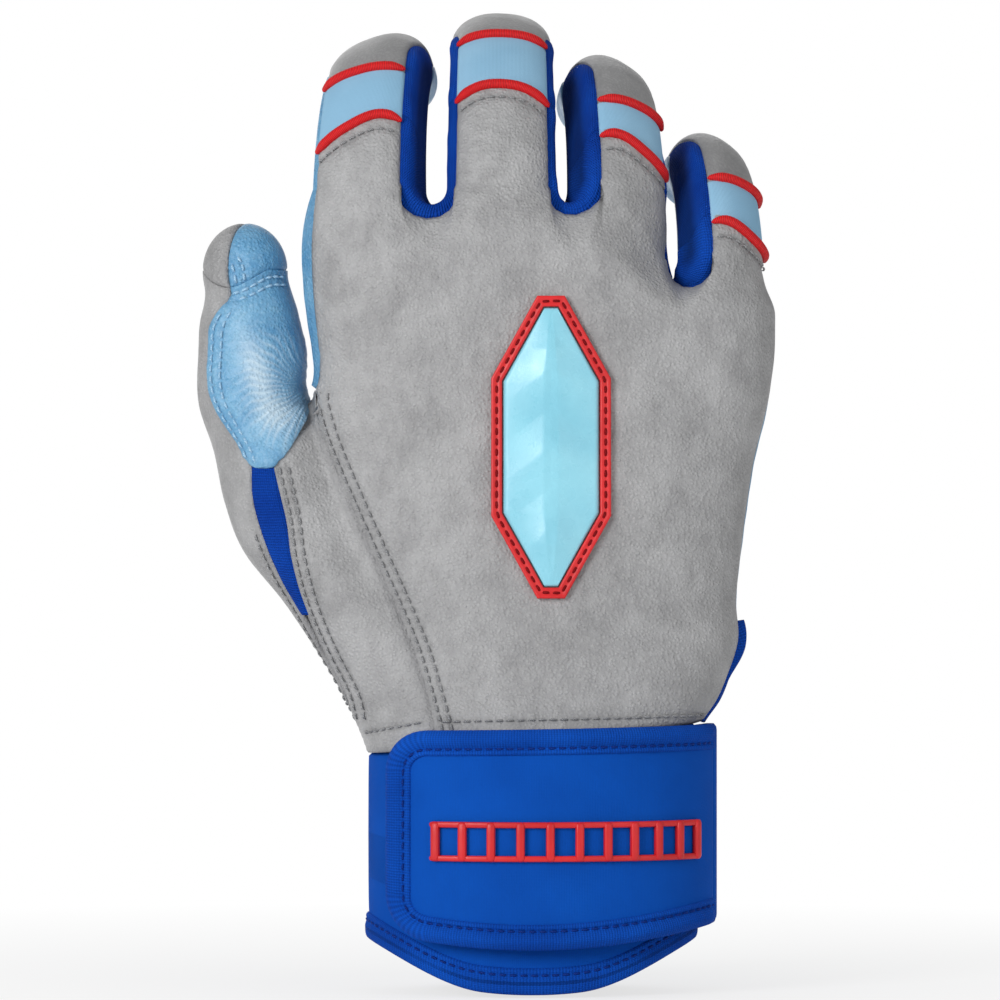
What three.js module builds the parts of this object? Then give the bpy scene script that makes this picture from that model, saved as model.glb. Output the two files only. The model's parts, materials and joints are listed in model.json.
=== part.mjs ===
// Right-hand batting glove in the shape it has when worn, standing on the rim of its cuff.
// Lengths are in millimetres. Fingers point up (+Z), the back of the hand faces -Y and the thumb lies towards -X.
// Every panel lies on one smooth hand form, a blend of a palm, four curled fingers and a thumb, and keeps its own
// leather, knit or neoprene thickness. Sewn edges keep a small gap, so each panel is a separate solid.
import * as THREE from "three";

// Materials of the panels
const LEATHER = 1.2;
const KNIT = 1.0;
const NEOPRENE = 3.0;
const SEAM_GAP = 0.5;
const LAYER_GAP = 0.35;

// Hand
const WRIST_HEIGHT = 53;
const HAND_LENGTH = 118.6;
const PALM_BREADTH = 98.8;
const PALM_DEPTH = 31;
const SECTION_POWER = 2.4;
const FINGER_ROOT = 6;
const FINGER_ROOT_FADE = 26;

// Fingers, from the thumb's side: width, depth, lift of the base above the hand, gap before the next finger, radius of
// the curl, length of the rounded end, and angles: the two ends of the flex band along the curl, yaw of the plane it
// curls in, and roll of its section.
const FINGERS = [
  { name: "index", width: 25.4, depth: 20, lift: 0, gap: 3.6, curl: 30.6, tip: 10, band: [32, 48], yaw: -5, roll: -20 },
  { name: "middle", width: 25.2, depth: 20.4, lift: 0, gap: 2, curl: 35.9, tip: 10.5, band: [40, 57], yaw: 0, roll: 2 },
  { name: "ring", width: 21.6, depth: 19.6, lift: -3.6, gap: 2.9, curl: 29.4, tip: 10, band: [32, 42], yaw: 5, roll: 32 },
  { name: "little", width: 18.4, depth: 17.6, lift: -15.2, gap: 0, curl: 24.4, tip: 9, band: [24, 38], yaw: 8, roll: 34 },
];
// Distance of each knuckle's hinge beyond the lower end of its flex band
const HINGE_REACH = 8;
const KNUCKLE_CLEARANCE = 0.8;
// The inner skin stops this much short of the outer one at a knuckle's cut, so that the edge slopes along the cut.
const KNUCKLE_BEVEL = 1.8;
const FIRST_FINGER_SHARE = -0.521;
const CURL_END = 104;
const TAPER_SHARE = 0.12;
const WEB_RISE = 4;
const WEB_DOME = 9;
const LITTLE_WEB_DROP = 15.2;
const FOURCHETTE_SHARE = 0.62;
const OUTER_SEAM_SHARES = { index: 0.7, little: 0.5 };
const PIPING = 2.2;

// Thumb
const THUMB_TIP_TOP = 168.5;
const THUMB_DOME = 10.5;
const THUMB_KNUCKLE = 146.5;
const THUMB_PIVOT_RADIUS = 12.6;
const THUMB_SEAM_ANGLE = 22;
// The light pad reaches further over the thumb between its foot and its knuckle, by this angle at most.
const THUMB_SEAM_BULGE = 22;
const THUMB_FLEX_ANGLE = 63;
const PAD_THICKNESS = 1.5;

// Cuff, strap and closure. The strap's ends are angles round the cuff: 0 on the little finger's side, 90 in front.
const CUFF = { centre: -3.2, halfWidth: 35.8, halfDepth: 24.6, top: 53.6, tilt: 3.4, lip: 2.5, rimRise: 11, binding: 5.6, bulge: 0.8 };
const RIM_FLAT_SHARE = 0.3;
const STRAP = { thickness: 2.2, bottom: 10, rise: 5, top: 57.8, tilt: 1.2, binding: 5.6, bindingThickness: 3.2 };
const STRAP_TURNS = { hinge: 12, free: 142, ribs: 75 };
const STRAP_CORNER = 9;
const HOOK_TAPE = { thickness: 0.9, inset: 9, from: 84, to: 128 };
const LOOP_TAPE = { thickness: 0.9, inset: 9, from: 52, to: 132 };
const ANCHOR_TURN = 74;

// Patch on the back of the hand, and the row of ribs on the strap
const PATCH = { height: 66, width: 26, end: 6, shoulder: 18, border: 2.4, thickness: 1.0, crown: 2.2 };
const PATCH_CENTRE_SHARES = { across: 0.01, up: 0.555 };
const RIBS = { count: 11, width: 2.2, pitch: 4.9, height: 8.6, rail: 1.3, plate: 0.9, crest: 0.5, middle: 33.5 };

// Shares of the palm's breadth and depth by height over the hand: left edge, right edge, half depth
const PALM_SHARES = [
  [0, -0.401, 0.345, 0.8],
  [0.04, -0.418, 0.35, 0.785],
  [0.088, -0.44, 0.388, 0.7],
  [0.134, -0.45, 0.41, 0.66],
  [0.199, -0.462, 0.43, 0.615],
  [0.272, -0.47, 0.424, 0.58],
  [0.396, -0.49, 0.44, 0.54],
  [0.523, -0.505, 0.462, 0.515],
  [0.649, -0.529, 0.485, 0.5],
  [0.68, -0.519, 0.488, 0.493],
  [0.72, -0.515, 0.493, 0.485],
  [0.818, -0.517, 0.493, 0.46],
  [0.944, -0.517, 0.492, 0.43],
  [1.071, -0.517, 0.492, 0.42],
];
// The same for the thumb: centre across, half width, centre in depth, half depth
const THUMB_SHARES = [
  [0, -0.202, 0.182, 0.03, 0.55],
  [0.084, -0.263, 0.177, 0.03, 0.58],
  [0.177, -0.333, 0.177, 0.065, 0.58],
  [0.27, -0.414, 0.172, 0.11, 0.565],
  [0.363, -0.5, 0.175, 0.16, 0.53],
  [0.455, -0.559, 0.159, 0.19, 0.5],
  [0.548, -0.603, 0.139, 0.21, 0.458],
  [0.641, -0.655, 0.122, 0.225, 0.42],
  [0.734, -0.657, 0.12, 0.225, 0.387],
  [0.784, -0.662, 0.112, 0.225, 0.361],
  [0.839, -0.664, 0.098, 0.225, 0.329],
  [0.877, -0.672, 0.095, 0.225, 0.316],
  [0.99, -0.672, 0.095, 0.225, 0.31],
];
// Seams seen from the back: height over the hand, then place across the palm's breadth
const THUMB_SEAM_SHARES = [
  [0, -0.232],
  [0.162, -0.286],
  [0.255, -0.33],
  [0.357, -0.386],
  [0.459, -0.441],
  [0.57, -0.497],
  [0.64, -0.522],
];
const WRIST_SEAM_SHARES = [
  [0, -0.405],
  [0.088, -0.436],
  [0.162, -0.486],
  [0.245, -0.53],
  [0.347, -0.57],
  [0.422, -0.58],
  [0.542, -0.61],
  [0.64, -0.615],
];
const GUSSET_SEAM_SHARES = [
  [0, -0.409],
  [0.088, -0.44],
  [0.162, -0.492],
  [0.245, -0.545],
  [0.31, -0.59],
  [0.375, -0.626],
  [0.459, -0.652],
  [0.542, -0.652],
  [0.64, -0.656],
];
// Seams at the little finger's side: height share, then the angles at which the back and the palm end
const SIDE_SEAM_ANGLES = [
  [0, 50, 56],
  [0.12, 58, 66],
  [0.25, 82, 92],
  [0.5, 78, 99],
  [0.8, 98, 79],
  [0.89, 105, 71],
  [1.07, 105, 71],
];
const INDEX_SIDE_ANGLES = { back: 62, palm: 114 };
const CROTCH_SHARE = 0.65;
const CROTCH_RISE = 2.5;
const PAD_FOOT_SHARE = 0.53;
const PAD_TOP_SHARE = 0.8;
const PAD_BULGE_SHARES = { start: 0.53, full: 0.72, fall: 0.765, end: 0.845 };
const GUSSET_SPAN_SHARES = [0.24, 0.53];
const VENT_TOP_SHARE = 0.235;
const THENAR_SHARES = { seam: -0.72, crotch: 0.2, turn: 0.42 };

const RADIANS = Math.PI / 180;
const FINGER_BLEND = 5;
const THUMB_BLEND = 2;
const CAST_LENGTH = 60;
const CAST_STEPS = 24;
const HALVINGS = 30;

const vector = (x, y, z) => new THREE.Vector3(x, y, z);
const X = vector(1, 0, 0);
const Y = vector(0, 1, 0);
const Z = vector(0, 0, 1);
const mix = (a, b, t) => a + (b - a) * t;
const clamp = (value, low, high) => Math.min(high, Math.max(low, value));
const smoothstep = (low, high, value) => {
  const t = clamp((value - low) / (high - low), 0, 1);
  return t * t * (3 - 2 * t);
};
const range = (count) => Array.from({ length: count + 1 }, (_, i) => i / count);
const palmHeight = (share) => WRIST_HEIGHT + share * HAND_LENGTH;
const palmShare = (z) => (z - WRIST_HEIGHT) / HAND_LENGTH;

// Smooth curve through the rows of a table: the first column is the height share, column k is read.
function readTable(table, share, k) {
  const last = table.length - 1;
  const t = clamp(share, table[0][0], table[last][0]);
  let i = 0;
  while (i < last - 1 && t > table[i + 1][0]) i += 1;
  const slope = (j) => {
    const a = Math.max(j - 1, 0);
    const b = Math.min(j + 1, last);
    return (table[b][k] - table[a][k]) / (table[b][0] - table[a][0]);
  };
  const span = table[i + 1][0] - table[i][0];
  const u = (t - table[i][0]) / span;
  const rise = table[i + 1][k] - table[i][k];
  const start = slope(i) * span;
  const end = slope(i + 1) * span;
  return table[i][k] + u * start + u * u * (3 * rise - 2 * start - end) + u * u * u * (start + end - 2 * rise);
}

const palmEdge = (z, k) => PALM_BREADTH * readTable(PALM_SHARES, palmShare(z), k);
const palmHalfDepth = (z) => PALM_DEPTH * readTable(PALM_SHARES, palmShare(z), 3);
const seamAt = (table, z) => PALM_BREADTH * readTable(table, palmShare(z), 1);
const thumbAt = (z) => ({
  x: PALM_BREADTH * readTable(THUMB_SHARES, palmShare(z), 1),
  halfWidth: PALM_BREADTH * readTable(THUMB_SHARES, palmShare(z), 2),
  y: PALM_DEPTH * readTable(THUMB_SHARES, palmShare(z), 3),
  halfDepth: PALM_DEPTH * readTable(THUMB_SHARES, palmShare(z), 4),
});

// Places the fingers side by side from their widths and gaps.
let fingerEdge = PALM_BREADTH * FIRST_FINGER_SHARE;
FINGERS.forEach((finger) => {
  finger.base = vector(fingerEdge + finger.width / 2, 0, WRIST_HEIGHT + HAND_LENGTH + finger.lift);
  fingerEdge += finger.width + finger.gap;
  finger.frame = new THREE.Matrix4().makeRotationZ(finger.yaw * RADIANS).setPosition(finger.base);
  finger.inverse = finger.frame.clone().invert();
  finger.curlAngle = CURL_END * RADIANS;
  finger.length = finger.curl * finger.curlAngle;
  [finger.bandStart, finger.bandEnd] = finger.band.map((degrees) => finger.curl * degrees * RADIANS);
  finger.pivotLength = finger.bandStart + HINGE_REACH;
});

// Frame of a finger at arc length s along its centreline: centre, direction along, and the axes of its section.
function spine(finger, s) {
  const angle = clamp(s / finger.curl, 0, finger.curlAngle);
  const roll = finger.roll * RADIANS;
  const back = vector(0, -Math.cos(angle), Math.sin(angle));
  const centre = vector(0, finger.curl * (1 - Math.cos(angle)), finger.curl * Math.sin(angle) + Math.min(s, 0));
  const turn = (v) => v.transformDirection(finger.frame);
  return {
    centre: centre.applyMatrix4(finger.frame),
    along: turn(vector(0, Math.sin(angle), Math.cos(angle))),
    dorsal: turn(back.clone().multiplyScalar(Math.cos(roll)).addScaledVector(X, Math.sin(roll))),
    across: turn(back.clone().multiplyScalar(-Math.sin(roll)).addScaledVector(X, Math.cos(roll))),
  };
}

const superellipse = (x, y, z, power) =>
  Math.pow(Math.pow(Math.abs(x), power) + Math.pow(Math.abs(y), power) + Math.pow(Math.abs(z), power), 1 / power);

// Distance-like value of a finger: negative inside, positive outside.
function fingerField(finger, point) {
  const p = point.clone().applyMatrix4(finger.inverse);
  const angle = p.z > 0 ? Math.atan2(p.z, finger.curl - p.y) : 0;
  const s = finger.curl * clamp(angle, 0, finger.curlAngle) + Math.min(p.z, 0);
  const place = spine(finger, s);
  const off = point.clone().sub(place.centre);
  const past = angle > finger.curlAngle ? off.dot(place.along) / finger.tip : 0;
  const root = Math.max(-p.z - FINGER_ROOT, 0) / FINGER_ROOT_FADE;
  const taper = 1 - TAPER_SHARE * clamp(s / finger.length, 0, 1);
  const halfDepth = (finger.depth / 2) * taper;
  const halfWidth = (finger.width / 2) * taper;
  const x = off.dot(place.across) / halfWidth;
  const y = off.dot(place.dorsal) / halfDepth;
  return (superellipse(x, y, past + root, SECTION_POWER) - 1) * halfDepth;
}

// Height of the web between the fingers: level from the index to the ring, lower beside the little finger.
const webTop = (x) => {
  const little = FINGERS[3].base.x - FINGERS[3].width / 2;
  const ring = FINGERS[2].base.x - FINGERS[2].width / 2;
  return WRIST_HEIGHT + HAND_LENGTH - LITTLE_WEB_DROP * smoothstep(ring, little, x);
};

function palmField(p) {
  const top = webTop(p.x) - WEB_DOME;
  const z = Math.min(p.z, top);
  const left = palmEdge(z, 1);
  const right = palmEdge(z, 2);
  const halfDepth = palmHalfDepth(z);
  const x = (p.x - (left + right) / 2) / ((right - left) / 2);
  const up = Math.max(p.z - top, 0) / WEB_DOME;
  return (superellipse(x, p.y / halfDepth, up, SECTION_POWER) - 1) * halfDepth;
}

function thumbField(p) {
  const domeStart = THUMB_TIP_TOP - THUMB_DOME;
  const thumb = thumbAt(Math.min(p.z, domeStart));
  const up = Math.max(p.z - domeStart, 0) / THUMB_DOME;
  const round = superellipse((p.x - thumb.x) / thumb.halfWidth, (p.y - thumb.y) / thumb.halfDepth, up, 2);
  return (round - 1) * thumb.halfDepth;
}

function smoothUnion(a, b, blend) {
  const overlap = Math.max(blend - Math.abs(a - b), 0) / blend;
  return Math.min(a, b) - (overlap * overlap * blend) / 4;
}

// Fields of the hand form. A finger's own field leaves its neighbours out, the body's field leaves the thumb out.
const ownField = (finger) => (p) => smoothUnion(palmField(p), fingerField(finger, p), FINGER_BLEND);
const bodyField = (p) =>
  smoothUnion(palmField(p), Math.min(...FINGERS.map((finger) => fingerField(finger, p))), FINGER_BLEND);
const wholeField = (p) => smoothUnion(bodyField(p), thumbField(p), THUMB_BLEND);

// First place where a ray crosses a field, found by steps and then by halving, with the outward normal there.
function cast(origin, direction, field) {
  const unit = direction.clone().normalize();
  const at = (distance) => origin.clone().addScaledVector(unit, distance);
  const inside = field(origin) < 0;
  let low = 0;
  let high = CAST_LENGTH;
  for (let i = 1; i <= CAST_STEPS; i += 1) {
    const distance = (CAST_LENGTH * i) / CAST_STEPS;
    if (field(at(distance)) < 0 !== inside) {
      high = distance;
      break;
    }
    low = distance;
  }
  for (let i = 0; i < HALVINGS; i += 1) {
    const middle = (low + high) / 2;
    if (field(at(middle)) < 0 === inside) low = middle;
    else high = middle;
  }
  return surface(at((low + high) / 2), field);
}

// Point of a field with its outward normal, from small steps along each axis.
function surface(point, field) {
  const step = LEATHER / 10;
  const slope = (axis) =>
    field(point.clone().addScaledVector(axis, step)) - field(point.clone().addScaledVector(axis, -step));
  return { point, normal: vector(slope(X), slope(Y), slope(Z)).normalize() };
}

// Two faces of a layer over a surface point: lift is the height of its outer face.
const layer = ({ point, normal }, thickness, lift = 0) => ({
  outer: point.clone().addScaledVector(normal, lift),
  inner: point.clone().addScaledVector(normal, lift - thickness),
});

// The same at an edge that slopes: the inner face is taken at another point.
const slopedLayer = (outerHit, innerHit, thickness) => ({
  outer: layer(outerHit, thickness).outer,
  inner: layer(innerHit, thickness).inner,
});

// Closed solid over a grid of layers: an outer and an inner skin joined round every free edge. The function keep
// says which cells exist, and wrap joins the last column to the first.
function skinSolid(grid, { keep = () => true, wrap = false } = {}) {
  const rows = grid.length;
  const columns = grid[0].length;
  const cells = wrap ? columns : columns - 1;
  const positions = [];
  const faces = [];
  const known = new Map();
  const vertex = (j, i, side) => {
    const key = `${j}:${i % columns}:${side}`;
    if (!known.has(key)) {
      known.set(key, positions.length / 3);
      positions.push(...grid[j][i % columns][side].toArray());
    }
    return known.get(key);
  };
  const quad = (a, b, c, d) => faces.push(a, b, c, a, c, d);
  const exists = (j, i) => {
    if (j < 0 || j >= rows - 1) return false;
    if (!wrap && (i < 0 || i >= cells)) return false;
    return keep(j, (i + cells) % cells);
  };
  for (let j = 0; j < rows - 1; j += 1) {
    for (let i = 0; i < cells; i += 1) {
      if (!exists(j, i)) continue;
      const corners = [
        [j, i],
        [j, i + 1],
        [j + 1, i + 1],
        [j + 1, i],
      ];
      const o = corners.map(([row, column]) => vertex(row, column, "outer"));
      const n = corners.map(([row, column]) => vertex(row, column, "inner"));
      quad(o[0], o[1], o[2], o[3]);
      quad(n[3], n[2], n[1], n[0]);
      if (!exists(j - 1, i)) quad(n[0], n[1], o[1], o[0]);
      if (!exists(j + 1, i)) quad(o[3], o[2], n[2], n[3]);
      if (!exists(j, i - 1)) quad(o[0], o[3], n[3], n[0]);
      if (!exists(j, i + 1)) quad(o[2], o[1], n[1], n[2]);
    }
  }
  return closedGeometry(positions, faces);
}

// Geometry from points and faces, turned so that its faces point out.
function closedGeometry(positions, faces) {
  const at = (k) => vector(positions[3 * k], positions[3 * k + 1], positions[3 * k + 2]);
  let volume = 0;
  for (let f = 0; f < faces.length; f += 3) {
    volume += at(faces[f]).dot(at(faces[f + 1]).cross(at(faces[f + 2])));
  }
  const turned = [...faces];
  if (volume < 0) {
    for (let f = 0; f < faces.length; f += 3) [turned[f + 1], turned[f + 2]] = [faces[f + 2], faces[f + 1]];
  }
  const geometry = new THREE.BufferGeometry();
  geometry.setAttribute("position", new THREE.Float32BufferAttribute(positions, 3));
  geometry.setIndex(turned);
  geometry.computeVertexNormals();
  return geometry;
}

// Layers over a patch: place gives the surface at the shares up and across.
const layerGrid = (rows, columns, place, thickness) =>
  range(rows).map((up) => range(columns).map((across) => layer(place(up, across), thickness)));

// Round bar along a list of points, with flat ends.
function bar(points, radius) {
  const sides = 6;
  const curve = new THREE.CatmullRomCurve3(points);
  const steps = points.length - 1;
  const frames = curve.computeFrenetFrames(steps, false);
  const positions = [];
  range(steps).forEach((share, j) => {
    const centre = curve.getPointAt(share);
    for (let i = 0; i < sides; i += 1) {
      const angle = (2 * Math.PI * i) / sides;
      const p = centre.clone().addScaledVector(frames.normals[j], radius * Math.cos(angle));
      positions.push(...p.addScaledVector(frames.binormals[j], radius * Math.sin(angle)).toArray());
    }
  });
  const faces = [];
  for (let j = 0; j < steps; j += 1) {
    for (let i = 0; i < sides; i += 1) {
      const [a, b] = [j * sides + i, j * sides + ((i + 1) % sides)];
      faces.push(a, b, b + sides, a, b + sides, a + sides);
    }
  }
  const last = steps * sides;
  for (let i = 1; i < sides - 1; i += 1) {
    faces.push(0, i + 1, i);
    faces.push(last, last + i, last + i + 1);
  }
  return closedGeometry(positions, faces);
}

// Finishes
const finish = (color, roughness) => new THREE.MeshStandardMaterial({ color, roughness, metalness: 0 });
const FINISHES = {
  greyLeather: finish(0xa6a6a6, 0.6),
  skyLeather: finish(0x6fb1dc, 0.5),
  skyKnit: finish(0x9cc5e3, 0.85),
  blueKnit: finish(0x0f4bb4, 0.85),
  blueNeoprene: finish(0x114dae, 0.8),
  redPiping: finish(0xe02422, 0.7),
  redRubber: finish(0xe0302c, 0.5),
  skyRubber: finish(0x9adbea, 0.35),
  hookTape: finish(0x0c3c92, 0.9),
};

const glove = new THREE.Group();
function add(name, geometry, material) {
  const mesh = new THREE.Mesh(geometry, FINISHES[material]);
  mesh.name = name;
  glove.add(mesh);
}

// Places on a finger

// Point on the side wall of a finger, side -1 towards the thumb or 1 towards the little finger. The height share
// counts from the palm face, -1, to the back face, 1.
function sidePoint(k, s, side, heightShare) {
  const finger = FINGERS[k];
  const place = spine(finger, s);
  const taper = 1 - TAPER_SHARE * clamp(s / finger.length, 0, 1);
  const origin = place.centre.addScaledVector(place.dorsal, (heightShare * finger.depth * taper) / 2);
  return cast(origin, place.across.multiplyScalar(side), ownField(finger));
}

// Point round a finger at an angle: 0 on the back, positive towards the little finger.
function ringPoint(k, s, angle) {
  const place = spine(FINGERS[k], s);
  const direction = place.across.multiplyScalar(Math.sin(angle)).addScaledVector(place.dorsal, Math.cos(angle));
  return cast(place.centre, direction, ownField(FINGERS[k]));
}

// Seam heights on the two sides of a finger, as shares of its half depth, and how they close towards the tip.
const isOuter = (k, side) => (k === 0 && side < 0) || (k === 3 && side > 0);
function seamShare(k, side, face, s) {
  const finger = FINGERS[k];
  const closing = smoothstep(0.6 * finger.length, finger.length, s);
  if (isOuter(k, side)) return mix(OUTER_SEAM_SHARES[finger.name], 0, closing);
  return face * mix(FOURCHETTE_SHARE, (2 * SEAM_GAP) / finger.depth, closing);
}

// Angles of the left and the right seam of one face at arc length s, counted from the middle of that face.
function faceSpan(k, face, s) {
  const finger = FINGERS[k];
  const place = spine(finger, s);
  return [-1, 1].map((side) => {
    const share = seamShare(k, side, face, s) + (face * SEAM_GAP) / finger.depth;
    const off = sidePoint(k, s, side, share).point.sub(place.centre);
    return Math.atan2(off.dot(place.across), face * off.dot(place.dorsal));
  });
}

// Point of a finger on one face: side runs from 0, at the left seam, to 1, at the right seam.
function facePoint(k, face, s, side) {
  const [left, right] = faceSpan(k, face, s);
  const angle = mix(left, right, side);
  return ringPoint(k, s, face > 0 ? angle : Math.PI - angle);
}

// The knuckle's cut is a cylinder round the hinge axis, so that the fingertip turns inside the finger.
const pivotOf = (finger) => spine(finger, finger.pivotLength).centre;
function cutLength(k, from, pointAt) {
  const finger = FINGERS[k];
  const pivot = pivotOf(finger).applyMatrix4(finger.inverse);
  const radius = Math.hypot(finger.depth / 2 + KNUCKLE_CLEARANCE, HINGE_REACH);
  let low = from;
  let high = finger.pivotLength;
  for (let i = 0; i < HALVINGS / 2; i += 1) {
    const middle = (low + high) / 2;
    const off = pointAt(middle).point.applyMatrix4(finger.inverse).sub(pivot);
    if (Math.hypot(off.y, off.z) > radius) low = middle;
    else high = middle;
  }
  return (low + high) / 2;
}

// Webs between neighbouring fingers

const webs = FINGERS.slice(1).map((right, k) => {
  const left = FINGERS[k];
  const x = (left.base.x + left.width / 2 + right.base.x - right.width / 2) / 2;
  return { k, level: webTop(x) + WEB_RISE };
});
// Arc length at which a finger reaches the height of the web beside it.
const webLength = (k, side) => webs[clamp(side < 0 ? k - 1 : k, 0, 2)].level - FINGERS[k].base.z;

// Point in the web, on a half round from the left finger, turn 0, down and up to the right finger, turn PI.
function webPoint(web, turn, heightShare) {
  const left = sidePoint(web.k, webLength(web.k, 1), 1, heightShare);
  const right = sidePoint(web.k + 1, webLength(web.k + 1, -1), -1, heightShare);
  if (turn === 0) return left;
  if (turn === Math.PI) return right;
  const middle = left.point.clone().add(right.point).divideScalar(2);
  const aside = left.point.clone().sub(middle);
  const point = middle.addScaledVector(aside, Math.cos(turn)).addScaledVector(Z, -aside.length() * Math.sin(turn));
  return surface(point, bodyField);
}

// Places on the hand

// Ends of the line inside the hand from which its rays start: below the thumb's crotch it reaches into the thumb.
const CROTCH = palmHeight(CROTCH_SHARE);
const FAN = FINGERS[3].width / 2;
function palmSpine(z) {
  const right = palmEdge(z, 2) - FAN;
  return z <= CROTCH ? [thumbAt(z).x, right] : [palmEdge(z, 1) + FAN, right];
}
// Angle by which a ray fans out for a place beyond the line's ends. Round the thumb it meets the place itself.
function fanAngle(place, z) {
  const [left, right] = palmSpine(z);
  if (place >= left) return Math.max(place - right, 0) / FAN;
  return z <= CROTCH ? -Math.asin(Math.min((left - place) / thumbAt(z).halfWidth, 1)) : (place - left) / FAN;
}
// Point of the hand on one face, 1 back or -1 palm, at a place across.
function handPoint(face, place, z) {
  const [left, right] = palmSpine(z);
  const x = clamp(place, left, right);
  const fan = fanAngle(place, z);
  const depth = z <= CROTCH ? mix(thumbAt(z).y, 0, (x - left) / (right - left)) : 0;
  const field = z <= CROTCH ? wholeField : bodyField;
  return cast(vector(x, depth, z), vector(Math.sin(fan), -face * Math.cos(fan), 0), field);
}
// Place across of a point of the body above the crotch, the inverse of the function above.
function placeOf(face, point) {
  const [left, right] = palmSpine(point.z);
  const x = clamp(point.x, left, right);
  return x === point.x ? x : x + FAN * Math.atan2(point.x - x, -face * point.y);
}

// Height at which the leather starts over the cuff, whose top edge leans a little.
const cuffTop = (x) => CUFF.top + CUFF.tilt * clamp((x - CUFF.centre) / CUFF.halfWidth, -1, 1);
const leatherStart = (x) => cuffTop(x) + CUFF.lip / 2 + 2 * SEAM_GAP;

const fanEnd = (degrees) => FAN * degrees * RADIANS;
const ulnarEdge = (face, z) =>
  palmSpine(z)[1] + fanEnd(readTable(SIDE_SEAM_ANGLES, palmShare(z), face > 0 ? 1 : 2));
function backRadial(z) {
  if (z <= CROTCH) return seamAt(THUMB_SEAM_SHARES, z) + SEAM_GAP / 2;
  return palmSpine(z)[0] - fanEnd(INDEX_SIDE_ANGLES.back);
}
function palmRadial(z) {
  const thumb = thumbAt(z);
  const turn = smoothstep(palmHeight(THENAR_SHARES.turn), CROTCH, z);
  return thumb.x + thumb.halfWidth * mix(THENAR_SHARES.seam, THENAR_SHARES.crotch, turn);
}
// Line on the palm that runs down from the crotch, where the part below the thumb joins the rest of the palm.
const thenarLine = (z) => mix(palmRadial(z) + FAN, palmEdge(z, 1) + FAN / 5, smoothstep(palmHeight(0), CROTCH, z));

// Main panels of the back and the palm

const STRIP_COLUMNS = 5;
const WEB_COLUMNS = 4;
const THENAR_COLUMNS = 4;
const LOWER_ROWS = 6;
const UPPER_ROWS = 4;
const STRIP_ROWS = 3;

// Row of points along the top of the hand: the starts of the finger strips and the webs between them.
function handTopRow(face) {
  const row = [];
  FINGERS.forEach((finger, k) => {
    const starts = [webLength(k, -1), webLength(k, 1)];
    const ends = starts.map((start, side) => facePoint(k, face, start, side));
    range(STRIP_COLUMNS).forEach((side) => {
      const start = mix(...starts, side);
      const point = ends[0].point.clone().lerp(ends[1].point, side);
      const level = starts[0] === starts[1] || side === 0 || side === 1;
      const hit = level ? facePoint(k, face, start, side) : handPoint(face, point.x, point.z);
      row.push({ hit, k, side, start });
    });
    if (k === 3) return;
    const share = FOURCHETTE_SHARE + (2 * LEATHER + SEAM_GAP) / finger.depth;
    for (let i = 1; i < WEB_COLUMNS; i += 1) {
      row.push({ hit: webPoint(webs[k], (Math.PI * i) / WEB_COLUMNS, face * share), k: null });
    }
  });
  return row;
}

// Panel of the whole back or palm: rows over the hand, then a strip up each finger to its knuckle.
function mainPanel(face) {
  const top = handTopRow(face);
  const leftEdge = (z) => {
    if (face > 0) return backRadial(z);
    return z <= CROTCH ? thenarLine(z) : palmSpine(z)[0] - fanEnd(INDEX_SIDE_ANGLES.palm);
  };
  const shares = top.map(({ hit }) => {
    const [left, right] = [leftEdge(hit.point.z), ulnarEdge(face, hit.point.z)];
    return clamp((placeOf(face, hit.point) - left) / (right - left), 0, 1);
  });
  const thenar = face > 0 ? 0 : THENAR_COLUMNS;
  const across = (z, share) => mix(leftEdge(z), ulnarEdge(face, z), share);
  const lowerRow = (up) => {
    const start = palmHeight(0);
    const rest = shares.map((share) => {
      const z = mix(leatherStart(across(start, share)), CROTCH, up);
      return handPoint(face, across(z, share), z);
    });
    const below = range(thenar || 1).map((share) => {
      const z = mix(leatherStart(mix(palmRadial(start), leftEdge(start), share)), CROTCH, up);
      return handPoint(face, mix(palmRadial(z), leftEdge(z), share), z);
    });
    return [...below.slice(0, thenar), ...rest];
  };
  const upperRow = (up) => {
    const row = top.map(({ hit }, i) => {
      const z = mix(CROTCH + CROTCH_RISE, hit.point.z, up);
      return handPoint(face, across(z, shares[i]), z);
    });
    return [...Array(thenar).fill(row[0]), ...row];
  };
  const upper = range(UPPER_ROWS).slice(0, UPPER_ROWS);
  const rows = [...range(LOWER_ROWS).map(lowerRow), ...upper.map(upperRow)];
  const grid = rows.map((row) => row.map((hit) => layer(hit, LEATHER)));
  const strips = (up) => {
    const row = top.map(({ hit, k, side, start }) => {
      if (k === null || up === 0) return layer(hit, LEATHER);
      const end = cutLength(k, start, (s) => facePoint(k, face, s, side)) - SEAM_GAP / 2;
      const s = mix(start, end, up);
      const back = up === 1 ? KNUCKLE_BEVEL : 0;
      return slopedLayer(facePoint(k, face, s, side), facePoint(k, face, s - back, side), LEATHER);
    });
    return [...Array(thenar).fill(row[0]), ...row];
  };
  range(STRIP_ROWS).forEach((up) => grid.push(strips(up)));
  const handRows = LOWER_ROWS + 1 + UPPER_ROWS;
  const keep = (j, i) => {
    if (i < thenar) return j < LOWER_ROWS;
    const column = top[i - thenar];
    const next = top[i - thenar + 1];
    return j < handRows || (column.k !== null && column.k === next.k);
  };
  return skinSolid(grid, { keep });
}
add("back_panel", mainPanel(1), "greyLeather");
add("palm_panel", mainPanel(-1), "skyLeather");

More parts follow.
